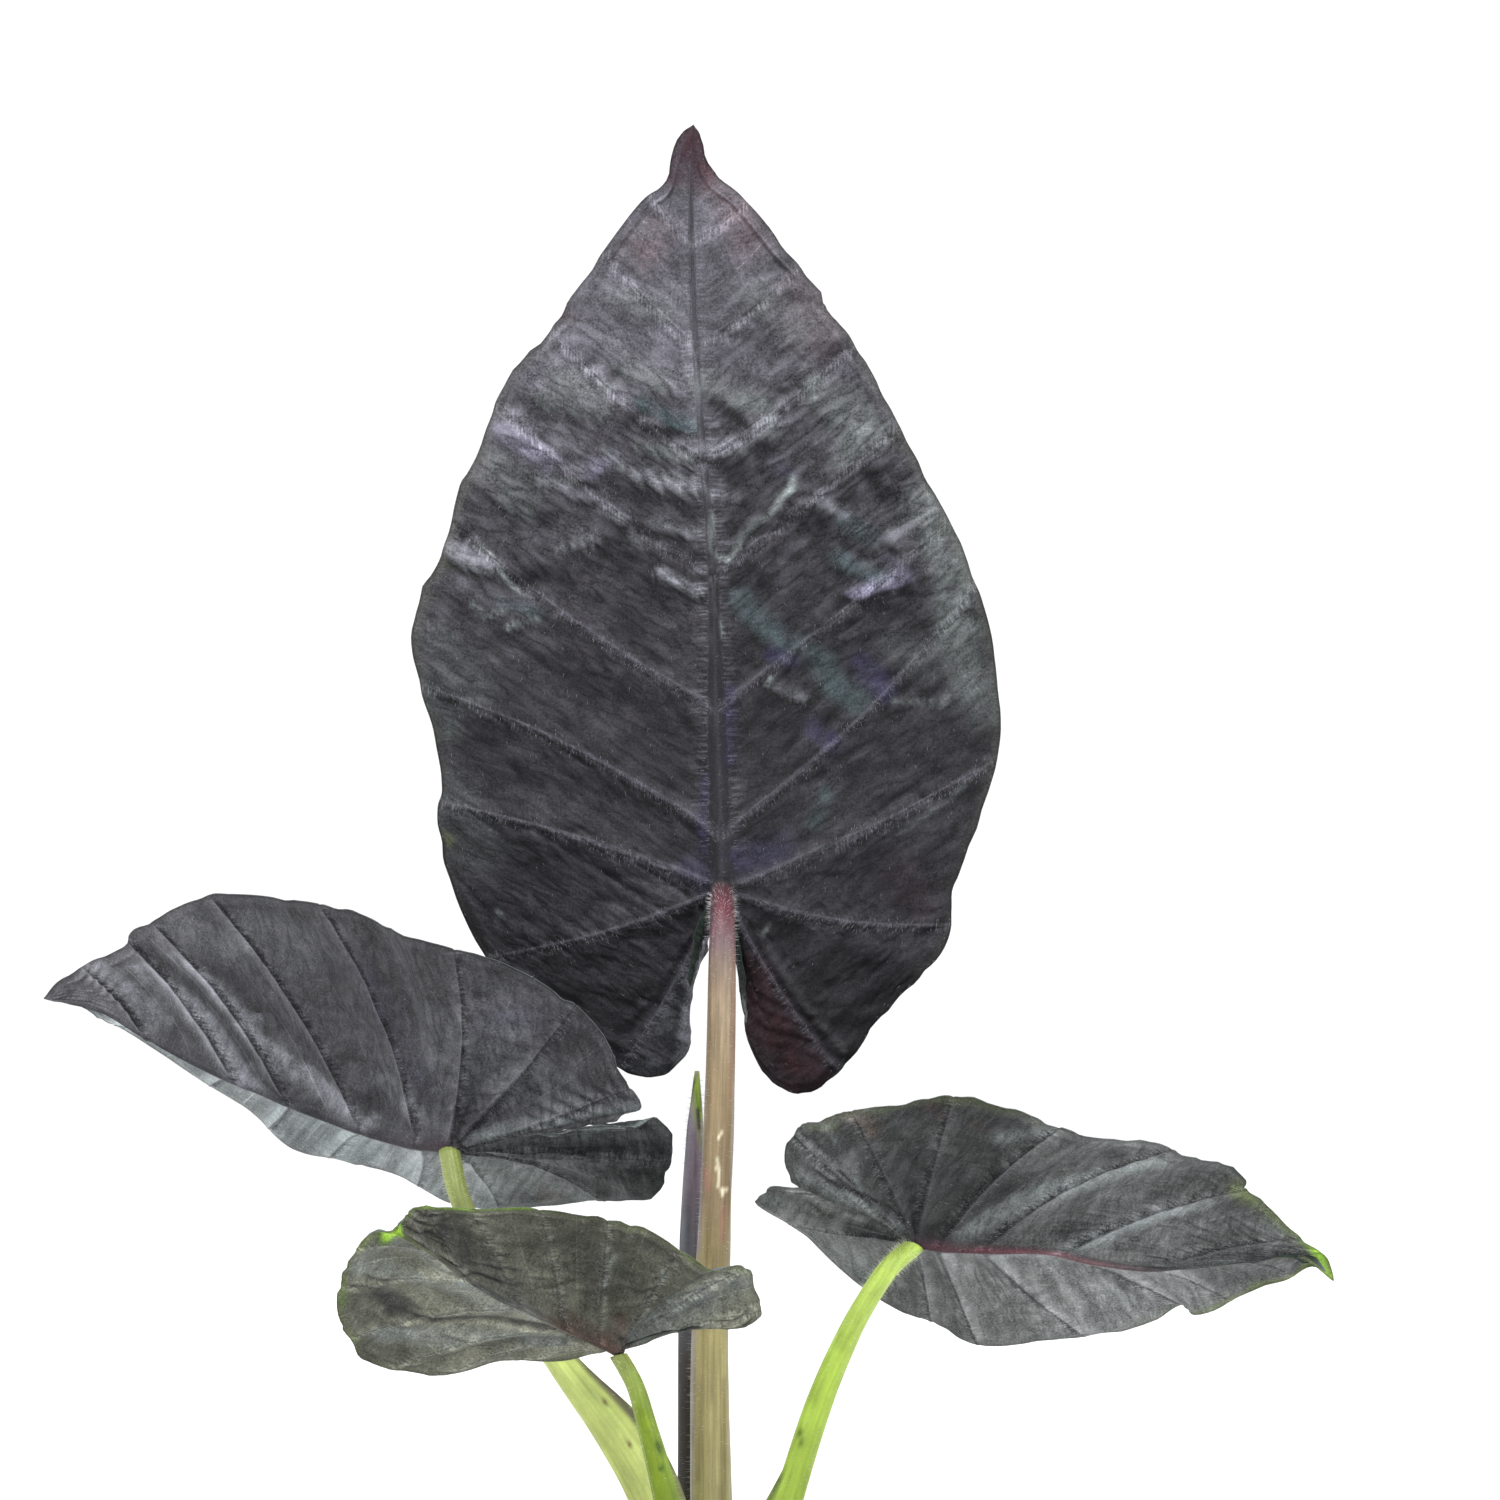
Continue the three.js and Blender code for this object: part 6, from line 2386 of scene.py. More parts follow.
LEFT_LEAF = Leaf(
    name="blade_left",
    slot="blade_dark",
    rib_half_width=[2.4, 1.8, 1.2, 0.9, 0.7, 0.5],
    rib_height=[1.4, 1.2, 0.9, 0.7, 0.5, 0.2],
    midrib=[
        [-54.8, 103.5, -16], [-65, 104.8, -9], [-77, 108.3, 0], [-88.4, 112.5, 9], [-99, 117, 18],
        [-108, 121, 25], [-119, 127, 34], [-129.4, 132.8, 41], [-140.1, 134.8, 45],
    ],
    left=[
        [-34.7, 106.9, -15], [-31, 106.9, -14], [-27, 107.2, -13], [-20, 108, -11], [-15.5, 108.3, -10],
        [-11.5, 109.4, -7], [-8, 105.4, -2], [-9.2, 99, 3], [-12.6, 92.2, 9], [-19, 92.4, 12], [-25, 93, 16],
        [-33, 91, 22], [-44.3, 90.6, 27], [-55.9, 93, 31], [-65.3, 97, 35], [-78, 101, 40],
        [-88.4, 104.2, 46], [-95.8, 109.8, 50], [-101, 114, 51], [-111.5, 121.2, 50], [-120, 125.6, 48],
        [-126.2, 129.8, 46], [-131, 133, 45], [-136.7, 134.2, 45], [-140.1, 134.8, 45],
    ],
    right=[
        [-34.7, 106.9, -15], [-32.5, 108.5, -18], [-28, 109.2, -21], [-22.5, 109.2, -24], [-18.5, 110.2, -26],
        [-14.3, 111.8, -27], [-17, 116, -29], [-19.1, 119.5, -30], [-23.3, 127.5, -33], [-28.6, 133.3, -35],
        [-35.9, 138.2, -37], [-44.3, 142.4, -38], [-53.8, 144.9, -37], [-65.3, 148.5, -32], [-72, 151.5, -27],
        [-80, 153.9, -21], [-88.4, 155.6, -13], [-97, 156.4, -5], [-107, 156, 4], [-115.7, 151.8, 14],
        [-122.6, 148.2, 22], [-123, 146, 24], [-130, 142.5, 32], [-137.6, 137.6, 41], [-140.1, 134.8, 45],
    ],
    veins=[
        [0, 0, 0, 0, 0], [0, 6.7, 6, 0, -1], [0, 9.5, 9, 0, -1.5], [0, 12, 12, 0, -1.8],
        [0.07, 13.6, 15.2, -0.5, -1.8], [0.2, 15.2, 17.8, -0.5, -0.8], [0.38, 16.6, 19.2, -0.5, -0.5],
        [0.52, 18.4, 20.6, 0, -0.5], [0.75, 21, 22.2, 0, 0], [1, 24, 24, 0, 0],
    ],
    vein_height=1.0,
    belly=1.3,
    arch=2.5,
    arch_reach=50.0,
    ripple=0.6,
    ripple_places=2.1,
    sinus_places=6,
    step=1.15,
    rows=72,
    crumple=0.24,
    seed=4,
    coat=Coat(
        run=[(665, 1130), (45, 1000)],
        levels={
            Side.LEFT: [0.34, 0.36, 0.47, 0.7, 0.9, 1.0, 1.0, 1.0, 1.0, 1.2, 1.3],
            Side.RIGHT: [0.78, 0.82, 0.73, 0.78, 0.72, 0.67, 0.73, 0.84, 0.98, 1.2, 1.25],
        },
        base=Tint.GRAPHITE,
        slope_light=2.2,
        vein_cover=[0.5],
        flank=[0, 0.2, 0.3, 0.4, 0.5, 0.6, 0.8, 1.0, 1.0, 1.0, 0.8],
        puckers=[1.2, 1.1, 1, 0.9, 0.8, 0.8],
        painted_sheen_washes={Side.LEFT: (Tint.PALE, 0.6)},
        # A wine-brown joint, then painted shade along the midrib
        rib=[
            (Tint.WINE_BROWN, 0.3), (Tint.SHADOW, 0.6), (Tint.SHADOW, 0.6), (Tint.SHADOW, 0.5),
            (Tint.GRAPHITE, 0.4),
        ],
        rim=Tint.MIST,
        rim_reach=3.0,
        rim_cover={Side.LEFT: [0, 0, 0, 0.1, 0.5, 0.6, 0.4, 0.1]},
        strokes=[
            # Wide bands of painted light beneath the dark side veins of the upper half
            *marks(
                Tint.SILVER,
                (236, 1026, 276, 1060, 310, 1078, 360, 1118, 0.8, 3, 0.42, 0),
                (170, 955, 205, 986, 240, 1020, 0.8, 3, 0.34, 0),
                (140, 967, 188, 1010, 246, 1080, 290, 1112, 0.8, 3, 0.42, 0),
                (97, 962, 124, 990, 152, 1020, 1.4, 2.6, 0.36, 0),
                (180, 930, 205, 950, 228, 950, 3, 3, 0.2, 0),
                (380, 1080, 410, 1110, 440, 1128, 1, 2.6, 0.16, 0), (420, 1060, 500, 1040, 9, 9, 0.1, 0),
                (250, 930, 300, 950, 5, 6, 0.1, 0), (490, 1080, 560, 1100, 5, 4, 0.12, 0),
            ),
            # Painted shade in the hollows above them
            *marks(
                Tint.SHADOW,
                (370, 1112, 312, 1066, 252, 1016, 172, 940, 2.6, 0.6, 0.4, 0),
                (245, 1066, 188, 996, 142, 953, 2.4, 0.6, 0.4, 0),
                (440, 1110, 510, 1068, 560, 1020, 2, 0.8, 0.3, 0),
                (253, 1091, 325, 1120, 392, 1146, 436, 1162, 1.4, 0.6, 0.45, -0.2),
                (112, 1000, 136, 1026, 2, 1, 0.3, 0), (580, 1010, 640, 1060, 5, 5, 0.25, 0),
                (330, 960, 420, 950, 6, 5, 0.2, 0),
            ),
            *marks(Tint.INDIGO, (358, 975, 388, 1038, 430, 1106, 3, 3, 0.2, 0)),
            *marks(Tint.WINE_BROWN, (440, 1140, 448, 1146, 1.0, 1.0, 0.4, 0)),
            *marks(Tint.TEAL, (280, 1110, 360, 1150, 2, 3, 0.3, 0)),
            # Painted sheen on the pale lower half
            *marks(
                Tint.PALE,
                (300, 1120, 360, 1150, 420, 1172, 1.6, 2, 0.4, 0), (440, 1190, 480, 1196, 3, 3, 0.4, 0),
            ),
            *marks(Tint.LAVENDER, (490, 1030, 520, 1024, 5, 5, 0.1, 0)),
            # The rolled light margin over the gap
            *marks(Tint.MIST, (465, 1142, 500, 1134, 560, 1122, 640, 1107, 1.4, 0.8, 0.5, 0.4)),
            # The lower lobe: ridged, with painted shade over it above, and pale painted sheen below its vein
            *marks(
                Tint.SHADOW,
                (480, 1150, 540, 1148, 620, 1146, 660, 1150, 2.4, 3, 0.6, 0),
                (465, 1158, 500, 1165, 1.4, 1.4, 0.6, 0), (540, 1149, 580, 1151, 622, 1149, 1, 1, 0.85, -0.4),
                (626, 1172, 660, 1174, 1.4, 1.2, 0.7, -0.2), (600, 1184, 640, 1182, 1, 1, 0.6, -0.2),
                (660, 1130, 664, 1160, 2, 2, 0.3, 0),
            ),
            *marks(
                Tint.GRAPHITE,
                (470, 1146, 520, 1142, 580, 1141, 650, 1136, 0.6, 0.8, 0.5, 0.4),
                (500, 1158, 560, 1160, 620, 1160, 655, 1162, 0.7, 0.8, 0.5, 0.4),
            ),
            *marks(Tint.MIST, (475, 1178, 520, 1182, 556, 1192, 590, 1197, 1.2, 3, 0.6, 0.2)),
            *marks(Tint.RUST, (540, 1200, 566, 1206, 1.4, 1.4, 0.5, 0)),
        ],
        ruffles=[
            Ruffle((580, 1150), (22, 7), 2.6, 0.7, 0.1), Ruffle((90, 1000), (8, 12), 3.0, 0.4, 0.6),
            Ruffle((350, 1180), (30, 8), 3.4, 0.3, 0.25), Ruffle((520, 1080), (26, 14), 3.6, 0.35, -0.4),
        ],
    ),
)

RIGHT_LEAF = Leaf(
    name="blade_right",
    slot="blade_grey",
    rib_half_width=[2.2, 1.6, 1.2, 0.9, 0.7, 0.5],
    rib_height=[1.4, 1.2, 1, 0.8, 0.6, 0.2],
    midrib=[
        [42.8, 83.6, -14], [50.2, 82.6, -13], [60.7, 82.2, -11], [71.2, 81.8, -8], [80.5, 79.6, -5],
        [92.2, 78.2, -2], [102.7, 78.8, 2], [113.2, 80, 6], [124, 80.6, 9], [130.8, 75.4, 11],
    ],
    left=[
        [26.7, 92.6, -14], [25.2, 94.3, -17], [22.9, 95.6, -20], [19.7, 96.1, -22], [16.8, 96.9, -24],
        [15.8, 102.5, -28], [19, 109, -31], [23, 109, -33], [31.3, 111.3, -35], [40, 112.7, -36],
        [49.1, 114, -36], [58.6, 112.8, -34], [67, 110.7, -31], [71, 107.9, -29], [76.4, 106.7, -27],
        [86, 105, -23], [94, 104, -18], [100.6, 101.8, -14], [107.9, 99.8, -9], [112.1, 96.6, -6],
        [112, 95, -5], [117.4, 90.9, 0], [123.7, 84.6, 6], [127, 82.2, 9], [129.8, 79.6, 11],
        [130.8, 75.4, 11],
    ],
    right=[
        [26.7, 92.6, -14], [25.4, 93.9, -12], [22.9, 94.7, -9], [18.7, 95.1, -6], [13.6, 95.4, -2],
        [11.3, 93.9, 1], [9.7, 92.8, 3], [16.6, 87.1, 8], [25, 79.8, 12], [37.6, 71, 17], [46, 66.6, 19],
        [52, 63.8, 20], [59, 62.3, 21], [70, 62.3, 22], [83.8, 65.1, 23], [93.2, 67.2, 23], [99.6, 70, 22],
        [101.6, 69, 22], [113.2, 72.9, 18], [120.5, 75.6, 15], [126.2, 79.2, 12], [130.8, 75.4, 11],
    ],
    veins=[
        [0, 0, 0, 0, 0], [0, 5.5, 7, 0, 0], [0, 7.8, 8.6, 0, 0], [0, 10.2, 10, 0, -0.5],
        [0.05, 13.4, 11.6, -1, -1], [0.15, 16.4, 13.6, -2.5, -2.2], [0.33, 20, 16, -0.5, -2.4],
        [0.55, 22, 17.7, -0.5, -1], [0.78, 23.4, 19.3, 0, 0], [1, 25, 21, 0, 0],
    ],
    vein_height=0.9,
    belly=1.1,
    arch=2.0,
    arch_reach=36.0,
    ripple=0.7,
    ripple_places=2.3,
    sinus_places=6,
    step=1.0,
    rows=64,
    crumple=0.26,
    seed=5,
    coat=Coat(
        run=[(757, 1197), (1334, 1270)],
        levels={
            Side.LEFT: [0.75, 0.7, 0.5, 0.35, 0.42, 0.68, 0.93, 0.95, 0.72, 0.58, 0.6],
            Side.RIGHT: [1.3, 1.4, 1.35, 1.3, 1.35, 1.4, 1.6, 1.7, 1.2, 0.8, 0.75],
        },
        base=Tint.ASH,
        slope_light=2.2,
        vein_cover=[0.55],
        flank=[0, 0.1, 0.2, 0.4, 0.6, 0.6, 0.6, 0.5, 0.4, 0.3, 0.2],
        rib=[
            (Tint.WINE_BROWN, 0.8), (Tint.WINE, 0.5), (Tint.WINE, 0.45), (Tint.SHADOW, 0.6),
            (Tint.MOSS_GREY, 0.3), (Tint.OLIVE, 0.6),
        ],
        rim_reach=1.6,
        rim_cover={
            Side.LEFT: [0, 0, 0, 0.2, 0.2, 0, 0, 0, 0.3, 0.9],
            Side.RIGHT: [0, 0, 0, 0, 0, 0, 0, 0.3, 0.6, 0.9],
        },
        strokes=[
            # Painted shade above the side veins and the midrib, in broad patches of the upper half, and in
            # the creases of the lower half
            *marks(
                Tint.SHADOW,
                (950, 1240, 1000, 1204, 1060, 1176, 1150, 1151, 2, 0.6, 0.35, 0),
                (1054, 1242, 1120, 1218, 1180, 1198, 2, 0.6, 0.4, 0),
                (862, 1228, 890, 1230, 920, 1236, 1000, 1240, 2, 1, 0.5, 0),
                (850, 1150, 905, 1195, 4, 4, 0.3, 0), (880, 1125, 960, 1110, 1010, 1125, 3.2, 3, 0.35, 0),
                (900, 1160, 960, 1180, 5, 5, 0.3, 0), (960, 1260, 1010, 1285, 1040, 1310, 0.8, 1, 0.4, -0.2),
                (1060, 1262, 1110, 1282, 1140, 1304, 0.8, 1, 0.4, -0.2),
                (1160, 1262, 1200, 1276, 1220, 1292, 0.8, 1, 0.35, -0.2),
            ),
            # Bands of painted light below the side veins and the midrib, and painted sheen on the lower half
            *marks(
                Tint.PALE,
                (965, 1232, 1026, 1203, 1079, 1184, 1160, 1162, 0.8, 2.6, 0.4, 0),
                (1060, 1250, 1117, 1232, 1171, 1214, 1210, 1204, 0.8, 2.4, 0.42, 0),
                (1180, 1240, 1240, 1222, 1290, 1230, 2, 2, 0.12, 0),
                (1000, 1140, 1050, 1130, 1.2, 2.4, 0.3, 0),
                (922, 1252, 980, 1255, 1041, 1260, 1087, 1266, 0.5, 1.1, 0.35, 0.1),
                (970, 1276, 1020, 1300, 1, 2, 0.25, 0), (1080, 1280, 1130, 1304, 1, 2, 0.25, 0),
            ),
            *marks(
                Tint.RUST,
                (930, 1106, 942, 1118, 1.2, 1.4, 0.5, 0), (976, 1126, 984, 1134, 1.2, 1.2, 0.3, 0),
            ),
            *marks(Tint.BARK, (845, 1112, 866, 1122, 872, 1130, 2, 2, 0.2, 0)),
            *marks(
                Tint.OLIVE,
                (812, 1122, 832, 1128, 1.2, 1.2, 0.2, 0),
                (1240, 1190, 1280, 1210, 1312, 1240, 2.2, 2.6, 0.5, 0),
            ),
            *marks(Tint.LIME, (1310, 1236, 1326, 1258, 1332, 1278, 1.8, 1.8, 0.8, 0)),
            # The upper lobe and its rolled light margin
            *marks(
                Tint.MIST,
                (807, 1173, 838, 1193, 862, 1203, 890, 1220, 908, 1234, 1, 1.6, 0.55, 0.4),
                (820, 1122, 838, 1150, 856, 1180, 0.8, 0.8, 0.3, 0.3),
                (806, 1143, 820, 1164, 0.5, 0.5, 0.4, 0.3), (821, 1152, 836, 1166, 0.4, 0.4, 0.4, 0.2),
                (852, 1155, 860, 1190, 0.35, 0.35, 0.4, 0.1),
            ),
            # Painted shade under the rolled margin and in the lobe's creases
            *marks(
                Tint.SHADOW,
                (803, 1169, 838, 1187, 862, 1196, 890, 1213, 904, 1222, 0.7, 0.5, 0.6, -0.4),
                (812, 1138, 826, 1154, 0.6, 0.6, 0.5, -0.3), (824, 1136, 842, 1154, 0.5, 0.5, 0.45, -0.3),
                # The lower lobe's folds, darkened with painted shade
                (770, 1200, 800, 1210, 830, 1220, 870, 1230, 895, 1236, 1.6, 2, 0.5, 0),
                (850, 1228, 872, 1235, 896, 1240, 0.8, 0.9, 0.8, -0.4),
                (850, 1212, 880, 1224, 905, 1236, 0.5, 0.5, 0.6, -0.3),
                (813, 1206, 826, 1220, 0.5, 0.5, 0.6, -0.3),
            ),
            *marks(Tint.PALE, (775, 1208, 800, 1226, 840, 1250, 880, 1280, 3, 3, 0.55, 0)),
        ],
        ruffles=[
            Ruffle((1290, 1240), (12, 9), 1.6, 0.26, -0.7), Ruffle((1150, 1120), (40, 6), 2.8, 0.35, 0.3),
            Ruffle((820, 1150), (8, 12), 2.6, 0.45, -0.9), Ruffle((960, 1120), (30, 8), 2.6, 0.3, 0.1),
            Ruffle((1100, 1310), (40, 6), 2.2, 0.3, 0.4),
        ],
    ),
)

FRONT_LEAF = Leaf(
    name="blade_front",
    slot="blade_grey",
    rib_half_width=[2, 1.5, 1.1, 0.9, 0.7, 0.5],
    rib_height=[1.3, 1.1, 0.9, 0.7, 0.5, 0.2],
    midrib=[
        [-19.7, 60.9, -24], [-27, 64, -30], [-38, 69.3, -41], [-46, 72.9, -48], [-55, 78.8, -57],
        [-62, 83.5, -65], [-67, 86.5, -71],
    ],
    left=[
        [-16.3, 61.6, -21], [-12.5, 65, -15], [-9.5, 67.5, -9], [-10.5, 66.8, -6], [-14.5, 64, -7],
        [-20.6, 60.6, -10], [-27, 60, -14], [-34.9, 58.8, -18], [-44.3, 58.1, -23], [-52.7, 56.8, -28],
        [-61, 55.9, -33], [-65, 56.2, -36], [-69.5, 58.2, -40], [-73.8, 59.6, -43], [-75.8, 63.4, -47],
        [-78, 67.3, -51], [-78.3, 71.5, -55], [-77.3, 76.6, -60], [-75, 81.5, -65], [-72, 84.5, -68],
        [-67, 86.5, -71],
    ],
    right=[
        [-16.3, 61.6, -21], [-12.8, 63.4, -20], [-4.4, 64.8, -20], [5, 65.8, -20], [10, 68, -21],
        [10.3, 71, -23], [9, 75, -26], [7.8, 78.1, -28], [5, 78.2, -30], [0.2, 78.2, -33], [-6.5, 81.9, -37],
        [-14.9, 86.3, -42], [-22, 88.6, -46], [-30, 89.8, -50], [-40, 90.5, -55], [-51, 90.9, -61],
        [-59, 90.9, -66], [-63, 90, -69], [-67, 86.5, -71],
    ],
    veins=[
        [0, 0, 0, 0, 0], [0, 3.4, 4.4, 0, 0], [0, 5.6, 7.2, 0, 0], [0, 7.6, 10, 0, -0.5],
        [0.08, 9.4, 12, 0, -0.8], [0.22, 11.6, 13.6, 0, -0.8], [0.42, 14, 15, 0, -0.5],
        [0.65, 16.4, 16.2, 0, 0], [0.85, 18.4, 17.2, 0, 0], [1, 20, 18, 0, 0],
    ],
    vein_height=0.8,
    belly=1.1,
    arch=2.0,
    arch_reach=32.0,
    step=1.0,
    rows=60,
    crumple=0.32,
    seed=6,
    coat=Coat(
        run=[(745, 1280), (340, 1300)],
        levels={
            Side.LEFT: [1.1, 1.1, 1.4, 1.85, 2.25, 2.3, 2.05, 1.65, 1.15, 0.9, 0.88],
            Side.RIGHT: [1.55, 1.28, 0.88, 0.65, 0.65, 0.7, 0.75, 0.7, 0.77, 0.88, 0.92],
        },
        base=Tint.MOSS_GREY,
        slope_light=2.4,
        vein_cover=[0.3],
        puckers=[0.6],
        rib=[(Tint.RUST, 0.9), (Tint.RUST, 0.6), (Tint.SHADOW, 0.5), (Tint.SHADOW, 0.4), (Tint.OLIVE, 0.4)],
        rim_reach=1.0,
        rim_cover={
            Side.LEFT: [0, 0, 0, 0, 0, 0.1, 0.3, 0.3, 0.5, 0.8],
            Side.RIGHT: [0, 0, 0, 0.1, 0.4, 0.4, 0.2, 0.2, 0.4, 0.8],
        },
        strokes=[
            # Painted shade in the folds and in a dark band above the midrib
            *marks(
                Tint.SHADOW,
                (412, 1228, 440, 1236, 470, 1262, 496, 1290, 6, 2, 0.45, 0),
                (374, 1306, 392, 1312, 412, 1318, 1.6, 1.4, 0.6, -0.5),
                (444, 1240, 470, 1266, 500, 1292, 540, 1312, 3, 0.8, 0.35, 0),
                (584, 1342, 543, 1329, 496, 1327, 437, 1328, 387, 1319, 0.8, 0.8, 0.75, -0.5),
                (566, 1345, 530, 1350, 490, 1360, 0.8, 0.8, 0.6, -0.4),
                (380, 1302, 402, 1312, 1.6, 1.4, 0.5, -0.3), (440, 1302, 470, 1312, 1.6, 1.4, 0.5, -0.3),
                (650, 1252, 672, 1262, 2, 2, 0.4, -0.3),
                (622, 1342, 649, 1329, 664, 1314, 684, 1296, 701, 1281, 716, 1272, 0.6, 0.6, 0.75, -0.4),
                (560, 1240, 600, 1280, 5, 5, 0.25, 0), (620, 1256, 650, 1300, 4, 5, 0.2, 0),
            ),
            # Pale bands of painted light beside the folds
            *marks(
                Tint.MIST,
                (462, 1282, 500, 1300, 540, 1317, 1, 1.6, 0.6, 0.3),
                (399, 1240, 437, 1264, 467, 1286, 0.6, 2, 0.3, 0),
                (560, 1346, 520, 1342, 450, 1344, 380, 1338, 1.6, 2, 0.6, 0),
                (352, 1268, 400, 1276, 440, 1288, 500, 1312, 1.2, 1.6, 0.4, 0.2),
                (640, 1340, 676, 1318, 720, 1292, 745, 1280, 2.4, 4, 0.5, 0),
                (350, 1255, 380, 1262, 3, 3, 0.25, 0), (606, 1290, 616, 1262, 0.4, 0.4, 0.4, 0.2),
                (660, 1290, 664, 1276, 0.4, 0.4, 0.4, 0.2),
            ),
            *marks(
                Tint.GRAPHITE,
                (690, 1318, 720, 1300, 745, 1290, 0.4, 0.4, 0.5, -0.2),
                (672, 1330, 700, 1314, 0.4, 0.4, 0.5, -0.2),
            ),
            *marks(
                Tint.RUST,
                (563, 1322, 590, 1336, 620, 1346, 2.2, 2.2, 0.6, 0),
                (621, 1326, 624, 1330, 1.4, 1.4, 0.5, -0.3),
            ),
            *marks(
                Tint.LIME,
                (386, 1238, 393, 1232, 398, 1229, 1.2, 1.2, 0.95, 0.4),
                (400, 1207, 480, 1206, 560, 1209, 0.5, 0.5, 0.6, 0),
            ),
            *marks(
                Tint.DEEP_GREEN,
                (690, 1252, 704, 1260, 713, 1268, 1.1, 1.2, 0.7, 0), (342, 1280, 343, 1305, 1, 1, 0.35, 0),
                (382, 1244, 378, 1236, 1, 1, 0.5, 0),
            ),
        ],
        ruffles=[
            Ruffle((420, 1272), (16, 12), 2.3, 0.8, -0.12), Ruffle((430, 1345), (18, 6), 2.2, 0.6, 0.1),
            Ruffle((705, 1305), (12, 8), 2.0, 0.4, 0.7), Ruffle((560, 1250), (26, 10), 4.0, 0.2, 0.2),
        ],
    ),
)

MAIN_PETIOLE = Stem(
    name="petiole_main",
    slot="petiole_main",
    route=[
        [0.5, 0.4, 2], [0.3, 12, 2], [0, 29.4, 1.5], [-0.2, 63, -1], [1, 92, -5], [2, 122, -8],
        [2.3, 142, -8.5], [2.4, 151, -6],
    ],
    wide=[4.8, 4.6, 4.4, 3.9, 3.3, 3, 2.8, 2.6, 2.45],
    deep=[4.6, 4.5, 4.2, 3.8, 3.3, 3, 2.8, 2.6, 2.45],
    coat=[
        *[Tint.STRAW] * 3, *[Tint.OLIVE_TAN] * 2, *[Tint.TAN] * 2, Tint.FAWN, Tint.MAUVE, Tint.WINE,
        Tint.WINE_BROWN,
    ],
    shaded=Tint.BARK,
    flutes=7,
    hairs=0.5,
    sides=110,
    pitch=0.6,
    seed=11,
    strokes=[
        *marks(
            Tint.ROSE,
            (736, 930, 735, 990, 731, 1100, 0.5, 0.5, 0.14, 0), (706, 1170, 708, 1190, 0.6, 0.6, 0.3, 0),
            (724, 1210, 722, 1240, 0.7, 0.7, 0.25, 0),
        ),
        *marks(
            Tint.CHARCOAL,
            (711, 878, 735, 878, 1.2, 1.2, 0.9, 0), (711, 884, 713, 905, 711, 925, 0.5, 0.5, 0.6, 0),
            (735, 884, 735, 905, 737, 930, 0.6, 0.6, 0.6, 0),
        ),
        *marks(
            Tint.DUSK,
            (701, 1120, 699, 1180, 697, 1250, 0.7, 0.7, 0.7, 0),
            (695, 1290, 692, 1400, 690, 1500, 0.7, 0.7, 0.5, 0),
        ),
        *marks(
            Tint.BARK,
            (712, 1250, 714, 1320, 712, 1400, 0.4, 0.4, 0.3, 0), (722, 1210, 720, 1300, 0.4, 0.4, 0.25, 0),
            (704, 1300, 702, 1380, 698, 1480, 0.6, 0.6, 0.3, 0), (724, 1380, 722, 1500, 0.7, 0.7, 0.3, 0),
        ),
        *marks(
            Tint.CREAM,
            (718, 1139, 722, 1132, 0.3, 0.3, 0.95, 0),
            (717, 1158, 719, 1168, 719, 1180, 718, 1186, 0.35, 0.35, 0.8, 0),
            (720, 1188, 727, 1191, 0.4, 0.4, 0.95, 0), (722, 1191, 723, 1196, 0.4, 0.4, 0.9, 0),
            (716, 1168, 719, 1172, 0.3, 0.3, 0.7, 0),
        ),
    ],
)

LEFT_PETIOLE = Stem(
    name="petiole_left",
    slot="petiole_left",
    route=[
        [-8.8, 0.4, -4], [-9.6, 12, -4.5], [-12.2, 27, -5], [-19.4, 41, -7.5], [-32.5, 59, -12],
        [-44, 76, -17], [-52.6, 92.4, -21],
    ],
    wide=[4.4, 4.4, 4.2, 3.7, 2.5, 2.2, 2.1, 2.1],
    deep=[3.4, 3.4, 3.2, 2.9, 2.4, 2.2, 2.1, 2.1],
    coat=[Tint.LINDEN] * 3 + [Tint.SAGE] * 2 + [Tint.FERN] * 2,
    sheath=Sheath(0, 0.3, [0.1, 0.3, 0.7, 1, 0.5, 0, 0, 0], Tint.DRAB),
    seed=12,
    strokes=marks(
        Tint.BARK,
        (602, 1399, 605, 1402, 0.5, 0.5, 0.9, 0), (627, 1442, 630, 1445, 0.5, 0.5, 0.9, 0),
    ),
)

RIGHT_PETIOLE = Stem(
    name="petiole_right",
    slot="petiole_lime",
    route=[
        [9.5, 0.4, -2.5], [11.8, 12, -3], [16.3, 29.4, -4], [22.6, 49.4, -8], [27.4, 61, -12],
        [31.6, 69.3, -16], [37.6, 78.3, -19],
    ],
    wide=[3.2, 3.2, 3, 2.8, 2.5, 2.3, 2.1, 2],
    deep=[3, 3, 2.8, 2.6, 2.5, 2.3, 2.1, 2],
    coat=[Tint.GREEN] * 3 + [Tint.LETTUCE] * 2,
    sheath=Sheath(3.6, 0.35, [0.2, 0.5, 0.8, 0.95, 0.9, 0.05] + [0] * 10, Tint.NIGHT_GREEN),
    hairs=0.6,
    seed=13,
    strokes=marks(Tint.DEEP_GREEN, (799, 1434, 802, 1441, 0.6, 0.6, 1, 0)),
)

FRONT_PETIOLE = Stem(
    name="petiole_front",
    slot="petiole_lime",
    route=[[-3.5, 0.4, -10.5], [-5.5, 12, -12], [-9.3, 29.4, -16], [-13.2, 44, -22], [-16.2, 54, -27]],
    wide=[3.2, 3.1, 2.7, 2.1, 1.8, 1.7],
    deep=[3.1, 3, 2.7, 2.1, 1.8, 1.7],
    coat=[Tint.SAGE, Tint.PEA, Tint.PEA, Tint.FERN],
    seed=14,
    strokes=marks(
        Tint.DEEP_GREEN,
        (658, 1445, 661, 1451, 0.7, 0.7, 1, 0), (660, 1467, 662, 1469, 0.7, 0.6, 1, 0),
    ),
)

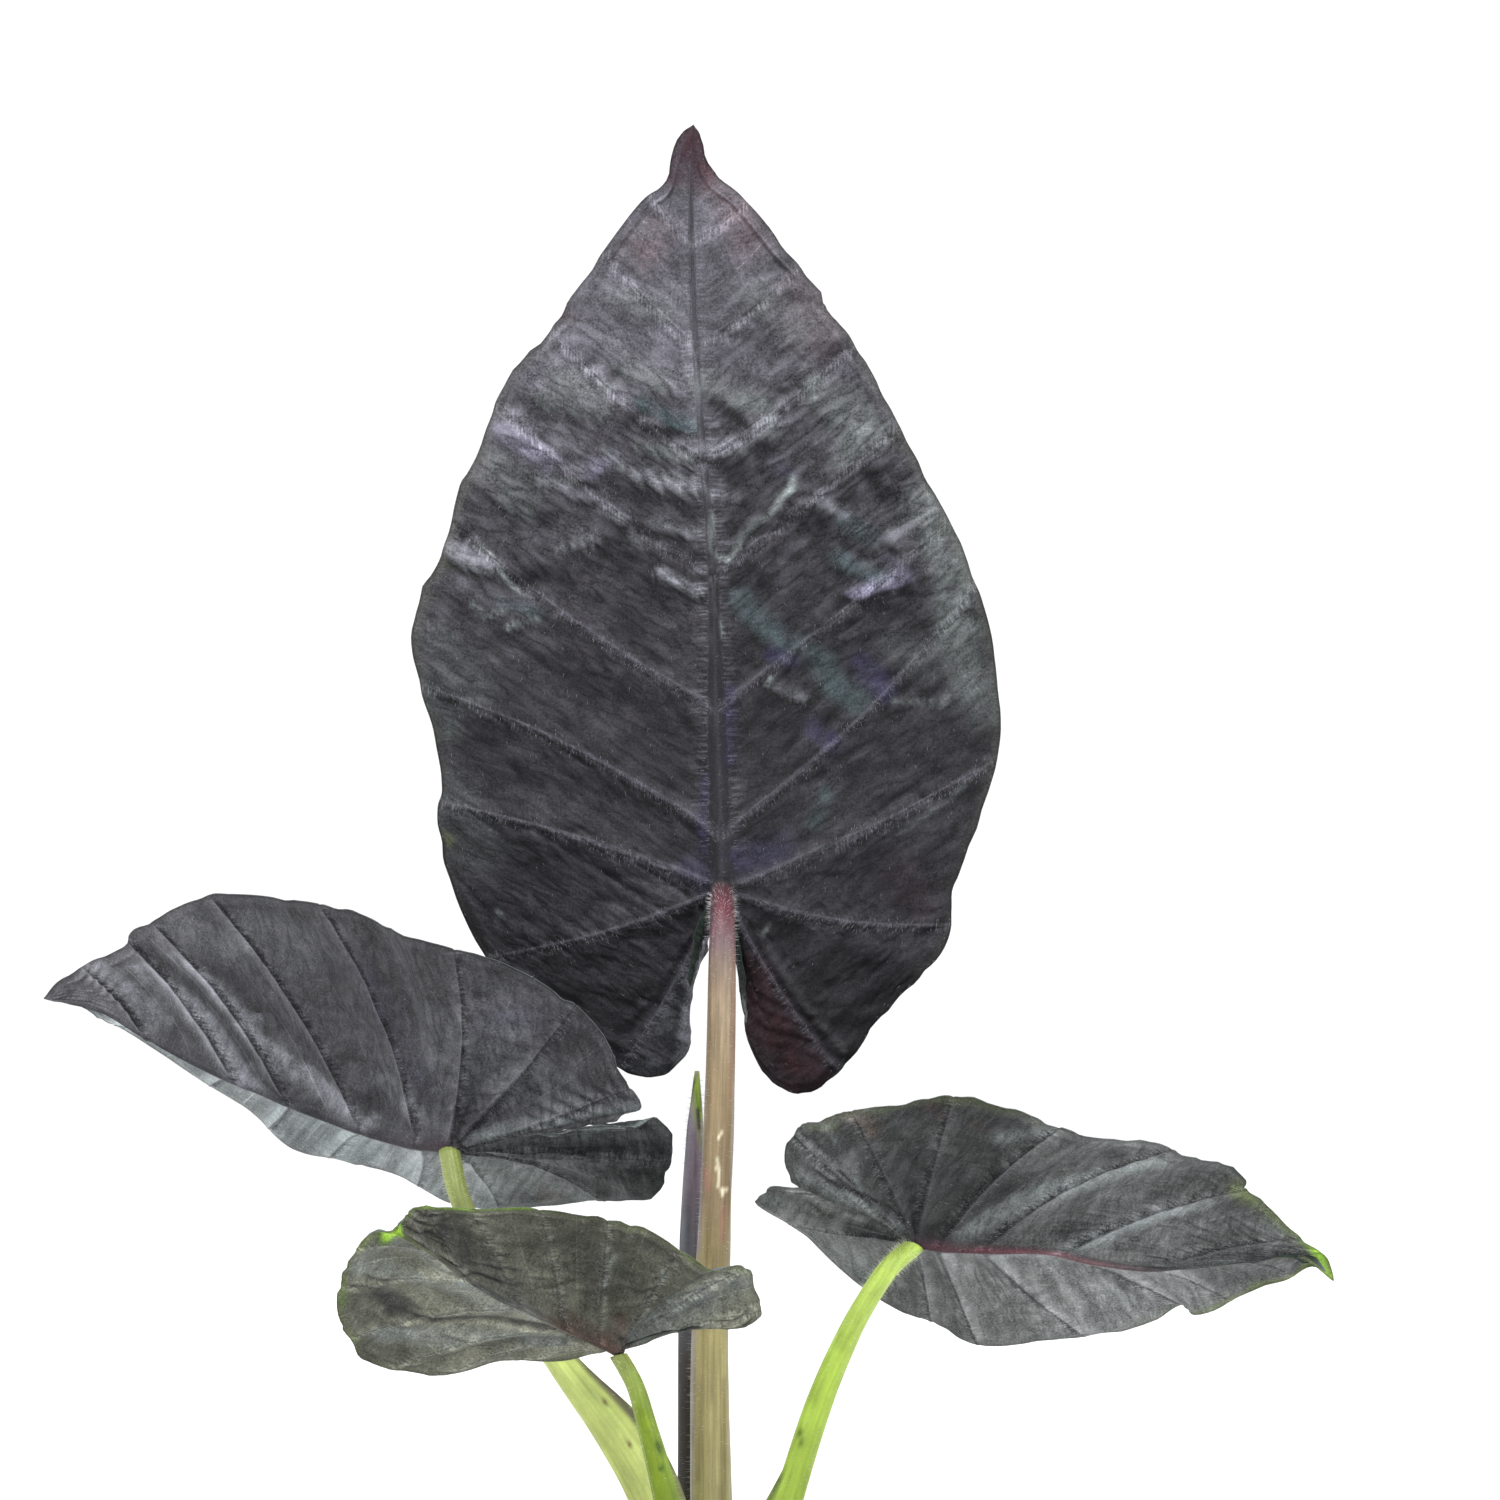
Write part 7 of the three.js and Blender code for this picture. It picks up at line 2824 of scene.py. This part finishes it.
NEW_LEAF = Stem(
    name="new_leaf",
    slot="new_leaf",
    route=[
        [-6, 0.4, 8.5], [-5, 15, 9], [-4.4, 29.4, 9], [-4.3, 63, 7.5], [-4.1, 84, 6.5], [-3.7, 96.6, 5.5],
        [-3.2, 108, 5], [-2.9, 119.5, 5],
    ],
    wide=[2.8, 2.7, 2.6, 2.5, 2.4, 2.1, 1.7, 0.5],
    deep=[2.8, 2.7, 2.6, 2.5, 2.4, 2.1, 1.7, 0.5],
    coat=[Tint.SOOT] * 5 + [Tint.SLATE, Tint.SLATE, Tint.DUSK, Tint.DUSK, Tint.DUSK, Tint.FERN],
    shaded=Tint.SHADOW,
    roll=0.24,
    lip=Tint.DUSK,
    twist=-0.6,
    phase=-1.0,
    flutes=5,
    flute=0.03,
    hairs=0.5,
    seed=15,
    strokes=[
        *marks(Tint.PEA, (698, 1082, 699, 1100, 700, 1116, 1, 1, 1, 0)),
        *marks(
            Tint.DEEP_GREEN,
            (701, 1086, 700, 1112, 0.35, 0.35, 0.6, 0), (696, 1090, 698, 1108, 0.25, 0.25, 0.5, 0),
        ),
        *marks(
            Tint.SOOT,
            (698, 1110, 699, 1128, 0.45, 0.45, 0.9, 0), (694, 1080, 689, 1100, 685, 1140, 0.4, 0.4, 0.8, 0),
        ),
        *marks(
            Tint.FERN,
            (691, 1098, 694, 1115, 701, 1150, 0.35, 0.35, 0.5, 0), (703, 1106, 702, 1140, 0.35, 0.35, 0.5, 0),
        ),
        *marks(Tint.SILVER, (691, 1110, 688, 1150, 684, 1200, 682, 1250, 0.6, 0.6, 0.35, 0)),
        *marks(Tint.SOOT, (684, 1150, 680, 1200, 679, 1250, 0.35, 0.35, 0.8, 0)),
        *marks(Tint.SHADOW, (674, 1370, 680, 1384, 676, 1394, 0.5, 0.5, 0.8, 0)),
    ],
)


class Plant:
    """The leaves and their stems."""

    GROWN = (
        (MAIN_LEAF, MAIN_PETIOLE, 1.1),
        (LEFT_LEAF, LEFT_PETIOLE, 0.5),
        (RIGHT_LEAF, RIGHT_PETIOLE, 0.7),
        (FRONT_LEAF, FRONT_PETIOLE, 0.8),
    )

    def build(self, effects: Effects, grower: Grower) -> None:
        """Makes every blade, petiole and the rolled new leaf.

        Args:
            effects: the shared shader groups.
            grower: the shared scatter trees.
        """
        nap = HairFinish("leaf_hairs").material(effects)
        down = HairFinish("stem_hairs", screen(214, 218, 190)).material(effects)
        white = HairFinish("woody_stem_hairs", screen(206, 202, 204)).material(effects)
        for leaf, stem, hairs in self.GROWN:
            blade = Blade(leaf)
            blade.build(effects, grower, nap, hairs)
            woody = stem is MAIN_PETIOLE
            streak, glow = (1.0, 0.0) if woody else (0.5, 0.12)
            finish = StemFinish(stem.name + "_skin", streak=streak, glow=glow)
            stem.build(effects, grower, white if woody else down, finish, blade)
        NEW_LEAF.build(effects, grower, nap, StemFinish("rolled_velvet", rough=0.6, streak=0.55, depth=0.16))


def main() -> None:
    """Builds the object and its studio."""
    logging.basicConfig(level=logging.INFO, format="%(name)s %(message)s")
    effects, grower = Effects(), Grower()
    Studio().build(effects)
    pot = Pot()
    pot.build(effects)
    PottingMix(pot).build(effects, grower)
    StemBase().build(effects, grower)
    Plant().build(effects, grower)


if __name__ == "__main__":
    main()
